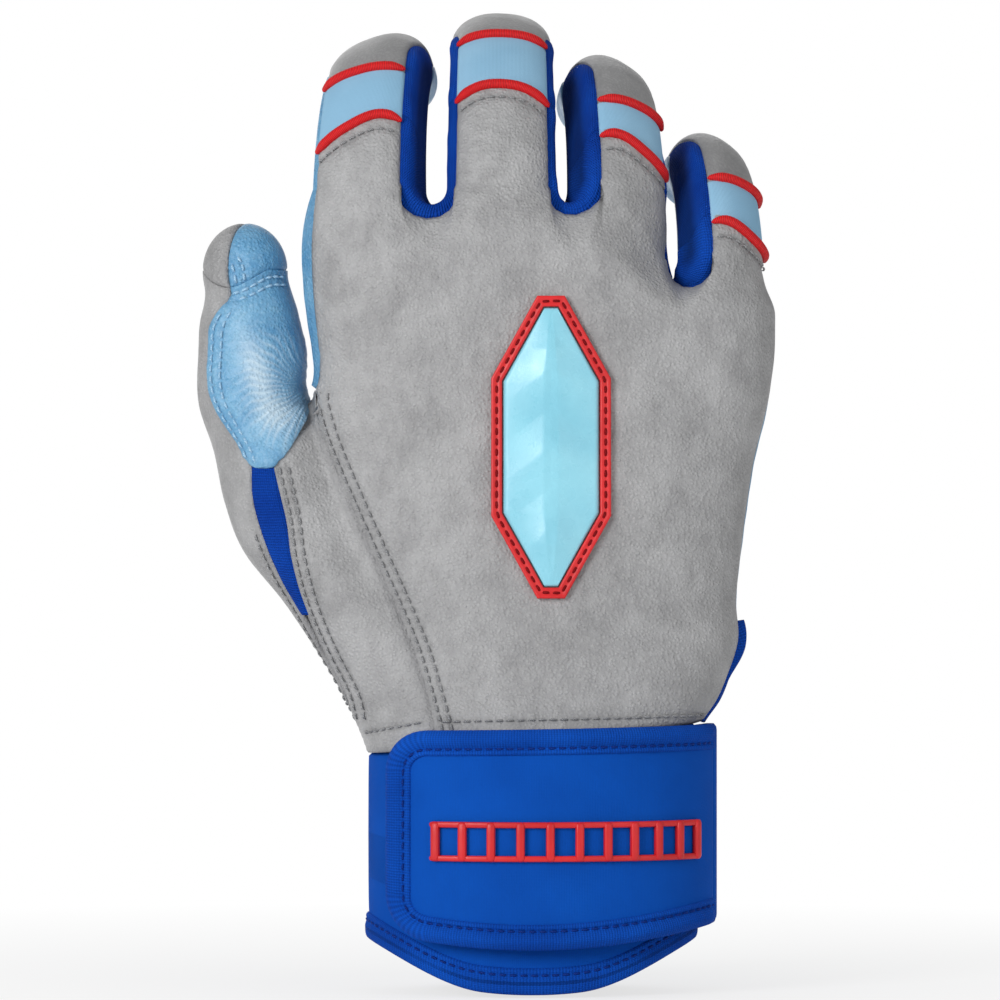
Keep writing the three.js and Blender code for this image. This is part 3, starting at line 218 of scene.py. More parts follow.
def spread(*arrays: Array) -> Sequence[Array]:
    """Arrays of decimals, spread to one shape."""
    return np.broadcast_arrays(*(np.asarray(a, float) for a in arrays))


def stack(*columns: Array) -> Array:
    """Points from one array for each axis, spread to one shape."""
    return np.stack(spread(*columns), axis=-1)


def around(count: int, full: float = 1.0) -> Array:
    """Even steps round a closed line, from 0 up to the step before its full turn."""
    return np.linspace(0, full, count, endpoint=False)


def dot(a: Array, b: Array) -> Array:
    """Dot product along the last axis."""
    return np.sum(a * b, axis=-1)


def share(value: Array, direction: Array) -> Array:
    """Direction scaled by an array of numbers."""
    return np.asarray(value, float)[..., None] * direction


def bell(value: Array, width: float) -> Array:
    """Bell curve: e to the power of less the square of value over width."""
    return np.exp(-((value / width) ** 2))


def squarish(wave: Array, power: float) -> Array:
    """Sine or cosine drawn towards -1 and 1: its size to a power below one, with its sign."""
    return np.sign(wave) * np.abs(wave) ** power


def lengths(points: Array, axis: int = 0) -> Array:
    """Length along a path, or along each line of a grid, up to each of its points."""
    return np.insert(np.cumsum(np.linalg.norm(np.diff(points, axis=axis), axis=-1), axis=axis), 0, 0, axis=axis)


def sampled(at: Array, places: Array, rows: Array) -> Array:
    """Rows of a table read between the places that belong to them."""
    return np.stack([np.interp(at, places, column) for column in rows.T], -1)


class Curve:
    """Smooth curve through the rows of a table whose first column is the height share."""

    def __init__(self, rows: Sequence[Sequence[float]]) -> None:
        """Keeps the rows and the slope at each, which is that of the line between its neighbours.

        Args:
            rows: rows of the table: the height share, then its values.
        """
        self.rows = np.array(rows, float)
        x = self.rows[:, :1]
        below = np.maximum(np.arange(len(x)) - 1, 0)
        above = np.minimum(np.arange(len(x)) + 1, len(x) - 1)
        self.slopes = (self.rows[above] - self.rows[below]) / (x[above] - x[below])

    def at(self, height: Array, column: int = 1) -> Array:
        """Cubic between two rows, which keeps their values and slopes.

        Args:
            height: height shares to read at, held inside the table.
            column: column of the table.

        Returns:
            One value for each height.
        """
        x, y = self.rows[:, 0], self.rows[:, column]
        t = np.clip(height, x[0], x[-1])
        i = np.clip(np.searchsorted(x, t, side="left") - 1, 0, len(x) - 2)
        span = x[i + 1] - x[i]
        u, rise = (t - x[i]) / span, y[i + 1] - y[i]
        start, end = self.slopes[i, column] * span, self.slopes[i + 1, column] * span
        return y[i] + u * start + u**2 * (3 * rise - 2 * start - end) + u**3 * (start + end - 2 * rise)


@dataclass
class Hit:
    """Points on a surface with their outward normals."""

    point: Array
    normal: Array

    def lifted(self, height: Array) -> Array:
        """Points moved out along the normals."""
        return self.point + np.asarray(height, float)[..., None] * self.normal

    def at(self, index: object) -> "Hit":
        """Part of the points."""
        return Hit(self.point[index], self.normal[index])

    def border(self, *lines: object) -> Array:
        """Points of a grid along some of its lines, one after the other."""
        return np.concatenate([self.point[line] for line in lines])


def join_hits(parts: Sequence[Hit], axis: int = 0) -> Hit:
    """Hits put one after the other along an axis."""
    return Hit(np.concatenate([p.point for p in parts], axis), np.concatenate([p.normal for p in parts], axis))


# ---------------------------------------------------------------- the hand


class Face(Enum):
    """The two broad faces of the hand."""

    BACK = 1
    PALM = -1


@dataclass
class Finger:
    """One finger: its width, depth, lift of its base, gap to the next, radius of its curl, length of its end, the
    two angles of its flex band, yaw of its plane and roll of its section."""

    name: str
    width: float
    depth: float
    lift: float
    gap: float
    curl: float
    tip: float
    band: tuple[float, float]
    yaw: float
    roll: float
    base: Array = field(default_factory=lambda: np.zeros(3))

    CURL_END = math.radians(104)

    def __post_init__(self) -> None:
        """Works out the turn of its plane and the lengths along its centreline."""
        c, s = math.cos(math.radians(self.yaw)), math.sin(math.radians(self.yaw))
        self.turn = np.array([[c, -s, 0], [s, c, 0], [0, 0, 1]])
        self.length = self.curl * self.CURL_END
        self.band_start, self.band_end = (self.curl * math.radians(a) for a in self.band)
        self.pivot_length = self.band_start + HINGE_REACH


def the_fingers() -> list[Finger]:
    """The four fingers, from the thumb's side.

    Returns:
        The fingers, with measures in millimetres and angles in degrees.
    """
    return [
        Finger("index", 25.4, 20, 0, 3.6, 30.6, 10, (32, 48), -5, -20),
        Finger("middle", 25.2, 20.4, 0, 2, 35.9, 10.5, (40, 57), 0, 2),
        Finger("ring", 21.6, 19.6, -3.6, 2.9, 29.4, 10, (32, 42), 5, 32),
        Finger("little", 18.4, 17.6, -15.2, 0, 24.4, 9, (24, 38), 8, 34),
    ]


@dataclass
class HandForm:
    """Smooth form of the hand in the glove, as fields that are negative inside and positive outside."""

    wrist: float = 53.0
    length: float = 118.6
    breadth: float = 98.8
    depth: float = 31.0
    power: float = 2.4
    root: float = 6.0
    root_fade: float = 26.0
    knuckle_clearance: float = 0.8
    first_finger_share: float = -0.521
    taper: float = 0.12
    web_rise: float = 4.0
    web_dome: float = 9.0
    little_web_drop: float = 15.2
    fourchette_share: float = 0.62
    leather: float = 1.2
    knit: float = 1.0
    seam_gap: float = 0.16
    thumb_top: float = 168.5
    thumb_dome: float = 10.5
    thumb_knuckle: float = 146.5
    thumb_radius: float = 12.6
    thumb_seam: float = 22.0
    pad_bulge_turn: float = 22.0
    thumb_flex: float = 63.0
    cuff_top: float = 53.6
    cuff_tilt: float = 3.4
    cuff_lip: float = 2.5
    cuff_centre: float = -3.2
    cuff_half_width: float = 35.8
    finger_blend: float = 5.0
    thumb_blend: float = 2.0
    ray: float = 60.0
    ray_steps: int = 24
    ray_halvings: int = 18
    cut_halvings: int = 13
    fingers: list[Finger] = field(default_factory=the_fingers)

    PALM = Curve([
        (0, -0.401, 0.345, 0.8), (0.04, -0.418, 0.35, 0.785), (0.088, -0.44, 0.388, 0.7), (0.134, -0.45, 0.41, 0.66),
        (0.199, -0.462, 0.43, 0.615), (0.272, -0.47, 0.424, 0.58), (0.396, -0.49, 0.44, 0.54),
        (0.523, -0.505, 0.462, 0.515), (0.649, -0.529, 0.485, 0.5), (0.68, -0.519, 0.488, 0.493),
        (0.72, -0.515, 0.493, 0.485), (0.818, -0.517, 0.493, 0.46), (0.944, -0.517, 0.492, 0.43),
        (1.071, -0.517, 0.492, 0.42),
    ])
    THUMB = Curve([
        (0, -0.202, 0.182, 0.03, 0.55), (0.084, -0.263, 0.177, 0.03, 0.58), (0.177, -0.333, 0.177, 0.065, 0.58),
        (0.27, -0.414, 0.172, 0.11, 0.565), (0.363, -0.5, 0.175, 0.16, 0.53), (0.455, -0.559, 0.159, 0.19, 0.5),
        (0.548, -0.603, 0.139, 0.21, 0.458), (0.641, -0.655, 0.122, 0.225, 0.42), (0.734, -0.657, 0.12, 0.225, 0.387),
        (0.784, -0.662, 0.112, 0.225, 0.361), (0.839, -0.664, 0.098, 0.225, 0.329),
        (0.877, -0.672, 0.095, 0.225, 0.316), (0.99, -0.672, 0.095, 0.225, 0.31),
    ])
    THUMB_SEAM = Curve([
        (0, -0.232), (0.162, -0.286), (0.255, -0.33), (0.357, -0.386), (0.459, -0.441), (0.57, -0.497), (0.64, -0.522),
    ])
    WRIST_SEAM = Curve([
        (0, -0.405), (0.088, -0.436), (0.162, -0.486), (0.245, -0.53), (0.347, -0.57), (0.422, -0.58),
        (0.542, -0.61), (0.64, -0.615),
    ])
    GUSSET_SEAM = Curve([
        (0, -0.409), (0.088, -0.44), (0.162, -0.492), (0.245, -0.545), (0.31, -0.59), (0.375, -0.626),
        (0.459, -0.652), (0.542, -0.652), (0.64, -0.656),
    ])
    SIDE_SEAM = Curve([
        (0, 50, 56), (0.12, 58, 66), (0.25, 82, 92), (0.5, 78, 99), (0.8, 98, 79), (0.89, 105, 71), (1.07, 105, 71),
    ])
    OUTER_SEAMS = {"index": 0.7, "little": 0.5}

    def __post_init__(self) -> None:
        """Sets the fingers side by side from their widths and gaps, and measures the webs between them."""
        edge = self.breadth * self.first_finger_share
        for finger in self.fingers:
            finger.base = np.array([edge + finger.width / 2, 0, self.wrist + self.length + finger.lift])
            edge += finger.width + finger.gap
        self.web_levels = []
        for left, right in zip(self.fingers, self.fingers[1:]):
            x = (left.base[0] + left.width / 2 + right.base[0] - right.width / 2) / 2
            self.web_levels.append(float(self.web_top(np.array(x))) + self.web_rise)
        self.crotch, self.pad_foot, self.pad_end = (self.height(part) for part in (0.65, 0.53, 0.8))
        self.fan = self.fingers[3].width / 2
        angle = math.radians(self.thumb_flex)
        self.flex_direction = np.array([math.cos(angle), math.sin(angle), 0])
        x, _, y, _ = self.thumb_at(np.array(self.thumb_knuckle))
        self.thumb_pivot = np.array([x, y, self.thumb_knuckle])
        self.spans = {(k, face): self._span_table(k, face) for k in range(4) for face in Face}

    # heights and tables

    def height(self, part: float) -> float:
        """Height of a share of the hand above the wrist."""
        return self.wrist + part * self.length

    def part(self, z: Array) -> Array:
        """Share of the hand at a height, the inverse of the method above."""
        return (z - self.wrist) / self.length

    def palm_edge(self, z: Array, column: int) -> Array:
        """Left edge of the palm, column 1, or right edge, column 2."""
        return self.breadth * self.PALM.at(self.part(z), column)

    def seam(self, curve: Curve, z: Array) -> Array:
        """Place across of a seam at a height."""
        return self.breadth * curve.at(self.part(z))

    def thumb_at(self, z: Array) -> tuple[Array, Array, Array, Array]:
        """Centre across, half width, centre in depth and half depth of the thumb at a height.

        Args:
            z: heights.

        Returns:
            The four measures.
        """
        part = self.part(z)
        x, half = self.breadth * self.THUMB.at(part, 1), self.breadth * self.THUMB.at(part, 2)
        return x, half, self.depth * self.THUMB.at(part, 3), self.depth * self.THUMB.at(part, 4)

    def web_top(self, x: Array) -> Array:
        """Height of the webs: level from the index to the ring, lower beside the little finger.

        Args:
            x: places across.

        Returns:
            Heights.
        """
        little = self.fingers[3].base[0] - self.fingers[3].width / 2
        ring = self.fingers[2].base[0] - self.fingers[2].width / 2
        return self.wrist + self.length - self.little_web_drop * smoothstep(ring, little, x)

    def cuff_edge(self, x: Array) -> Array:
        """Height at which the leather starts over the cuff, whose top edge leans a little."""
        lean = self.cuff_tilt * np.clip((x - self.cuff_centre) / self.cuff_half_width, -1, 1)
        return self.cuff_top + lean + self.cuff_lip / 2 + 2 * self.seam_gap

    # fields

    def spine(self, k: int, s: Array) -> tuple[Array, Array, Array, Array]:
        """Frame of a finger at arc length s: an arc of the curl's radius, with a straight root below it.

        Args:
            k: finger, from 0 for the index.
            s: arc lengths.

        Returns:
            Centre, direction along, direction to the back and direction across, rolled about the first.
        """
        f = self.fingers[k]
        s = np.asarray(s, float)
        angle, roll = np.clip(s / f.curl, 0, f.CURL_END), math.radians(f.roll)
        back = stack(0, -np.cos(angle), np.sin(angle))
        centre = stack(0, f.curl * (1 - np.cos(angle)), f.curl * np.sin(angle) + np.minimum(s, 0))
        along = stack(0, np.sin(angle), np.cos(angle))
        dorsal = back * math.cos(roll) + X_AXIS * math.sin(roll)
        across = -back * math.sin(roll) + X_AXIS * math.cos(roll)
        return tuple(v @ f.turn.T + o for v, o in ((centre, f.base), (along, 0), (dorsal, 0), (across, 0)))

    def super(self, x: Array, y: Array, z: Array, power: float) -> Array:
        """Rounded box radius: the power-th root of the sum of the powers."""
        return (np.abs(x) ** power + np.abs(y) ** power + np.abs(z) ** power) ** (1 / power)

    def finger_field(self, k: int, p: Array) -> Array:
        """Superellipse section along the finger's arc, tapered, with a rounded end and a root that fades out.

        Args:
            k: finger, from 0 for the index.
            p: points.

        Returns:
            Values of the field.
        """
        f = self.fingers[k]
        q = (p - f.base) @ f.turn
        angle = np.where(q[..., 2] > 0, np.arctan2(q[..., 2], f.curl - q[..., 1]), 0)
        s = f.curl * np.clip(angle, 0, f.CURL_END) + np.minimum(q[..., 2], 0)
        centre, along, dorsal, across = self.spine(k, s)
        off = p - centre
        past = np.where(angle > f.CURL_END, dot(off, along) / f.tip, 0)
        root = np.maximum(-q[..., 2] - self.root, 0) / self.root_fade
        taper = 1 - self.taper * np.clip(s / f.length, 0, 1)
        x = dot(off, across) / (f.width / 2 * taper)
        y = dot(off, dorsal) / (f.depth / 2 * taper)
        return (self.super(x, y, past + root, self.power) - 1) * f.depth / 2 * taper

    def palm_field(self, p: Array) -> Array:
        """Superellipse section at each height, domed over the webs.

        Args:
            p: points.

        Returns:
            Values of the field.
        """
        top = self.web_top(p[..., 0]) - self.web_dome
        z = np.minimum(p[..., 2], top)
        left, right = self.palm_edge(z, 1), self.palm_edge(z, 2)
        half = self.depth * self.PALM.at(self.part(z), 3)
        x = (p[..., 0] - (left + right) / 2) / ((right - left) / 2)
        up = np.maximum(p[..., 2] - top, 0) / self.web_dome
        return (self.super(x, p[..., 1] / half, up, self.power) - 1) * half

    def thumb_field(self, p: Array) -> Array:
        """Ellipse section at each height, with a rounded end.

        Args:
            p: points.

        Returns:
            Values of the field.
        """
        dome = self.thumb_top - self.thumb_dome
        x, half, y, depth = self.thumb_at(np.minimum(p[..., 2], dome))
        up = np.maximum(p[..., 2] - dome, 0) / self.thumb_dome
        return (self.super((p[..., 0] - x) / half, (p[..., 1] - y) / depth, up, 2) - 1) * depth

    @staticmethod
    def union(a: Array, b: Array, blend: float) -> Array:
        """Lesser of two fields, rounded where they are within the blend of each other."""
        overlap = np.maximum(blend - np.abs(a - b), 0) / blend
        return np.minimum(a, b) - overlap**2 * blend / 4

    def own(self, k: int) -> Field:
        """Field of the palm and one finger, which leaves its neighbours out."""
        return lambda p: self.union(self.palm_field(p), self.finger_field(k, p), self.finger_blend)

    def body(self, p: Array) -> Array:
        """Field of the palm and all the fingers."""
        nearest = np.minimum.reduce([self.finger_field(k, p) for k in range(4)])
        return self.union(self.palm_field(p), nearest, self.finger_blend)

    def whole(self, p: Array) -> Array:
        """Field of the body and the thumb."""
        return self.union(self.body(p), self.thumb_field(p), self.thumb_blend)

    def low_or_high(self, low: Array) -> Field:
        """Field of the whole hand where low is true and of the body elsewhere.

        Args:
            low: where the thumb belongs to the field.

        Returns:
            The field.
        """
        def value(p: Array) -> Array:
            """The body's field, joined with the thumb's where low is true.

            Args:
                p: points.

            Returns:
                Values of the field.
            """
            body = self.body(p)
            return np.where(low, self.union(body, self.thumb_field(p), self.thumb_blend), body)
        return value

    def surface(self, point: Array, value: Field) -> Hit:
        """Points with the outward normal, which is the field's slope over small steps along each axis.

        Args:
            point: points on the surface.
            value: field.

        Returns:
            The points with their normals.
        """
        step = 0.12
        slope = [value(point + step * axis) - value(point - step * axis) for axis in (X_AXIS, Y_AXIS, Z_AXIS)]
        return Hit(point, unit(np.stack(slope, axis=-1)))

    def cast(self, origin: Array, direction: Array, value: Field) -> Hit:
        """First place where rays cross a field, found by even steps and then by halving.

        Args:
            origin: start points, inside or outside.
            direction: directions of the rays.
            value: field.

        Returns:
            The crossings with their outward normals.
        """
        origin, direction = np.broadcast_arrays(origin, unit(direction))
        inside = value(origin) < 0
        low, high = np.zeros(origin.shape[:-1]), np.full(origin.shape[:-1], self.ray)
        found = np.zeros(origin.shape[:-1], bool)
        for i in range(1, self.ray_steps + 1):
            distance = self.ray * i / self.ray_steps
            crossed = (value(origin + distance * direction) < 0) != inside
            high = np.where(crossed & ~found, distance, high)
            found |= crossed
            low = np.where(found, low, distance)
            if found.all():
                break
        for _ in range(self.ray_halvings):
            middle = (low + high) / 2
            same = (value(origin + share(middle, direction)) < 0) == inside
            low, high = np.where(same, middle, low), np.where(same, high, middle)
        return self.surface(origin + share((low + high) / 2, direction), value)

    # places on a finger

    def web_length(self, k: int, side: int) -> float:
        """Arc length at which a finger reaches the height of the web beside it."""
        web = min(max(k - 1 if side < 0 else k, 0), 2)
        return self.web_levels[web] - self.fingers[k].base[2]

    def side_point(self, k: int, s: Array, side: int, height: Array) -> Hit:
        """Point on a side wall, at a share of the half depth from the palm face, -1, to the back, 1.

        Args:
            k: finger, from 0 for the index.
            s: arc lengths along the finger.
            side: -1 towards the thumb, 1 away from it.
            height: shares of the half depth.

        Returns:
            The points with their normals.
        """
        f = self.fingers[k]
        s, height = spread(s, height)
        centre, _, dorsal, across = self.spine(k, s)
        taper = 1 - self.taper * np.clip(s / f.length, 0, 1)
        return self.cast(centre + share(height * f.depth * taper / 2, dorsal), side * across, self.own(k))

    def ring_point(self, k: int, s: Array, angle: Array) -> Hit:
        """Point round a finger at an angle: 0 on the back, positive towards the little finger.

        Args:
            k: finger, from 0 for the index.
            s: arc lengths along the finger.
            angle: angles round the finger.

        Returns:
            The points with their normals.
        """
        s, angle = spread(s, angle)
        centre, _, dorsal, across = self.spine(k, s)
        return self.cast(centre, share(np.sin(angle), across) + share(np.cos(angle), dorsal), self.own(k))

    def is_outer(self, k: int, side: int) -> bool:
        """Whether a side of a finger is the outer side of the hand, which has no fourchette."""
        return (k == 0 and side < 0) or (k == 3 and side > 0)

    def seam_share(self, k: int, side: int, face: int, s: Array) -> Array:
        """Height of a side seam as a share of the half depth: level, then closing towards the tip.

        Args:
            k: finger, from 0 for the index.
            side: -1 towards the thumb, 1 away from it.
            face: 1 for the back's seam, -1 for the palm's.
            s: arc lengths along the finger.

        Returns:
            Shares of the half depth.
        """
        f = self.fingers[k]
        closing = smoothstep(0.6 * f.length, f.length, s)
        if self.is_outer(k, side):
            return mix(self.OUTER_SEAMS[f.name], 0, closing)
        return face * mix(self.fourchette_share, 2 * self.seam_gap / f.depth, closing)

    def _span_table(self, k: int, face: Face) -> tuple[Array, Array, Array]:
        """Angles of the left and the right seam of a face at arc lengths from below the web to the tip.

        Args:
            k: finger, from 0 for the index.
            face: face of the finger.

        Returns:
            Arc lengths, left and right angles.
        """
        f = self.fingers[k]
        s = np.linspace(-8, f.length, 90)
        centre, _, dorsal, across = self.spine(k, s)
        angles = []
        for side in (-1, 1):
            height = self.seam_share(k, side, face.value, s) + face.value * self.seam_gap / f.depth
            off = self.side_point(k, s, side, height).point - centre
            angles.append(np.arctan2(dot(off, across), face.value * dot(off, dorsal)))
        return s, angles[0], angles[1]

    def face_angle(self, k: int, face: Face, s: Array, side: Array) -> Array:
        """Angle of a place between the left seam, side 0, and the right seam, side 1, of a face."""
        table, left, right = self.spans[(k, face)]
        return mix(np.interp(s, table, left), np.interp(s, table, right), side)

    def face_point(self, k: int, face: Face, s: Array, side: Array) -> Hit:
        """Point of a finger on one face, at arc length s and a share between its seams."""
        angle = self.face_angle(k, face, s, side)
        return self.ring_point(k, s, angle if face is Face.BACK else math.pi - angle)

    def pivot(self, k: int) -> Array:
        """Centre of a finger's hinge."""
        return self.spine(k, self.fingers[k].pivot_length)[0]

    def cut_length(self, k: int, start: Array, point_at: Callable[[Array], Array]) -> Array:
        """Arc length at which a line along a finger meets the knuckle's cut, a cylinder round the hinge axis.

        Args:
            k: finger, from 0 for the index.
            start: arc lengths from which the search starts.
            point_at: point of the line by arc length.

        Returns:
            Arc lengths.
        """
        f = self.fingers[k]
        pivot = (self.pivot(k) - f.base) @ f.turn
        radius = math.hypot(f.depth / 2 + self.knuckle_clearance, HINGE_REACH)
        low, high = np.array(start, float), np.full(np.shape(start), f.pivot_length)
        for _ in range(self.cut_halvings):
            middle = (low + high) / 2
            off = (point_at(middle) - f.base) @ f.turn - pivot
            outside = np.hypot(off[..., 1], off[..., 2]) > radius
            low, high = np.where(outside, middle, low), np.where(outside, high, middle)
        return (low + high) / 2

    def start_of(self, k: int, side: Array) -> Array:
        """Arc length at which a finger's strip starts, between the webs on its two sides."""
        return mix(self.web_length(k, -1), self.web_length(k, 1), np.asarray(side, float))

    def cut_at(self, k: int, face: Face, side: Array) -> Array:
        """Arc length of the knuckle's cut on a face, at a share across it."""
        return self.cut_length(k, self.start_of(k, side), lambda s: self.face_point(k, face, s, side).point)

    def web_point(self, web: int, turn: Array, height: Array) -> Hit:
        """Half round in a web from the left finger, turn 0, down and up to the right finger, turn pi.

        Args:
            web: web, from 0 beside the index.
            turn: turns round the web.
            height: shares of the half depth.

        Returns:
            The points with their normals.
        """
        left = self.side_point(web, self.web_length(web, 1), 1, height).point
        right = self.side_point(web + 1, self.web_length(web + 1, -1), -1, height).point
        middle, aside = (left + right) / 2, (left - right) / 2
        radius = np.linalg.norm(aside, axis=-1)
        point = middle + share(np.cos(turn), aside) - share(radius * np.sin(turn), Z_AXIS)
        return self.surface(point, self.body)

    # places on the hand

    def palm_spine(self, z: Array) -> tuple[Array, Array]:
        """Ends of the line inside the hand from which its rays start: low down it reaches into the thumb."""
        left = np.where(z <= self.crotch, self.thumb_at(z)[0], self.palm_edge(z, 1) + self.fan)
        return left, self.palm_edge(z, 2) - self.fan

    def hand_point(self, face: Face, place: Array, z: Array) -> Hit:
        """Point of the hand on one face at a place across: rays go straight out from the line inside and fan out
        beyond its ends, so that round the thumb they meet the place itself.

        Args:
            face: face of the hand.
            place: places across.
            z: heights.

        Returns:
            The points with their normals.
        """
        place, z = spread(place, z)
        left, right = self.palm_spine(z)
        low = z <= self.crotch
        _, thumb_half, thumb_y, _ = self.thumb_at(z)
        round_thumb = -np.arcsin(np.minimum(np.maximum(left - place, 0) / thumb_half, 1))
        beyond_left = np.where(low, round_thumb, (place - left) / self.fan)
        turn = np.where(place >= left, np.maximum(place - right, 0) / self.fan, beyond_left)
        x = np.clip(place, left, right)
        depth = np.where(low, mix(thumb_y, 0, (x - left) / (right - left)), 0)
        direction = stack(np.sin(turn), -face.value * np.cos(turn), 0)
        return self.cast(stack(x, depth, z), direction, self.low_or_high(low))

    def place_of(self, face: Face, point: Array) -> Array:
        """Place across of a point of the body above the crotch, the inverse of the method above.

        Args:
            face: face of the hand.
            point: points.

        Returns:
            Places across.
        """
        left, right = self.palm_spine(point[..., 2])
        x = np.clip(point[..., 0], left, right)
        fanned = x + self.fan * np.arctan2(point[..., 0] - x, -face.value * point[..., 1])
        return np.where(x == point[..., 0], x, fanned)

    def ulnar_edge(self, face: Face, z: Array) -> Array:
        """Place at which a face ends on the little finger's side."""
        column = 1 if face is Face.BACK else 2
        return self.palm_spine(z)[1] + self.fan * np.radians(self.SIDE_SEAM.at(self.part(z), column))

    def back_radial(self, z: Array) -> Array:
        """Place at which the back panel ends on the thumb's side."""
        high = self.palm_spine(z)[0] - self.fan * math.radians(62)
        return np.where(z <= self.crotch, self.seam(self.THUMB_SEAM, z) + self.seam_gap / 2, high)

    def palm_radial(self, z: Array) -> Array:
        """Place at which the palm panel ends below the thumb."""
        x, half, _, _ = self.thumb_at(z)
        return x + half * mix(-0.72, 0.2, smoothstep(self.height(0.42), self.crotch, z))

    def thenar_line(self, z: Array) -> Array:
        """Line on the palm that runs down from the crotch."""
        turn = smoothstep(self.height(0), self.crotch, z)
        return mix(self.palm_radial(z) + self.fan, self.palm_edge(z, 1) + self.fan / 5, turn)

    # places round the thumb

    def thumb_angle(self, z: Array, point: Array) -> Array:
        """Angle of a point round the thumb: 0 on the back, positive towards the outer side."""
        x, _, y, _ = self.thumb_at(z)
        return np.arctan2(-(point[..., 0] - x), -(point[..., 1] - y))

    def thumb_point(self, z: Array, angle: Array, alone: bool = False) -> Hit:
        """Point round the thumb at an angle, on the whole hand below the crotch unless the thumb is alone.

        Args:
            z: heights.
            angle: angles round the thumb.
            alone: whether the rest of the hand is left out.

        Returns:
            The points with their normals.
        """
        z, angle = spread(z, angle)
        x, _, y, _ = self.thumb_at(z)
        low = (z <= self.crotch) & (not alone)
        def value(p: Array) -> Array:
            """The thumb's field, joined with the body's where low is true.

            Args:
                p: points.

            Returns:
                Values of the field.
            """
            thumb = self.thumb_field(p)
            return np.where(low, self.union(self.body(p), thumb, self.thumb_blend), thumb) if low.any() else thumb
        return self.cast(stack(x, y, z), stack(-np.sin(angle), -np.cos(angle), 0), value)

    def thumb_cut(self, angle: Array) -> Array:
        """Height of the thumb knuckle's cut, a cylinder round its axis, at an angle.

        Args:
            angle: angles round the thumb.

        Returns:
            Heights.
        """
        low = np.full(np.shape(angle), self.thumb_knuckle)
        high = np.full(np.shape(angle), self.thumb_top - self.thumb_dome)
        for _ in range(self.cut_halvings):
            middle = (low + high) / 2
            off = self.thumb_point(middle, angle).point - self.thumb_pivot
            near = np.hypot(dot(off, self.flex_direction), off[..., 2]) < self.thumb_radius
            low, high = np.where(near, middle, low), np.where(near, high, middle)
        return (low + high) / 2

    def pad_bulge(self, z: Array) -> Array:
        """Angle by which the pad reaches further over the thumb between its foot and its knuckle."""
        part = self.part(z)
        return math.radians(self.pad_bulge_turn) * smoothstep(0.53, 0.72, part) * (1 - smoothstep(0.765, 0.845, part))

    def front_seam(self, z: Array) -> Array:
        """Angle of the thumb's front seam: the gusset's edge low down, then the edge of the light pad.

        Args:
            z: heights.

        Returns:
            Angles round the thumb.
        """
        low = np.minimum(z, self.pad_foot)
        gusset = self.thumb_angle(low, self.hand_point(Face.BACK, self.seam(self.GUSSET_SEAM, low), low).point)
        turned = mix(gusset, math.radians(self.thumb_seam), smoothstep(self.pad_foot, self.pad_end, z))
        return turned + self.pad_bulge(z)

    def rear_seam(self, z: Array) -> Array:
        """Angle of the thumb's rear seam: the palm's edge below the crotch, then the middle of the palm side.

        Args:
            z: heights.

        Returns:
            Angles round the thumb.
        """
        height = np.minimum(z, self.crotch)
        place = self.palm_radial(height) - 2 * self.seam_gap
        low = self.thumb_angle(height, self.hand_point(Face.PALM, place, height).point)
        low = np.where(low > 0, low - 2 * math.pi, low)
        rear = math.radians(self.thumb_seam) - math.pi
        return mix(low, rear, smoothstep(self.crotch, self.pad_end, z))


# ---------------------------------------------------------------- meshes


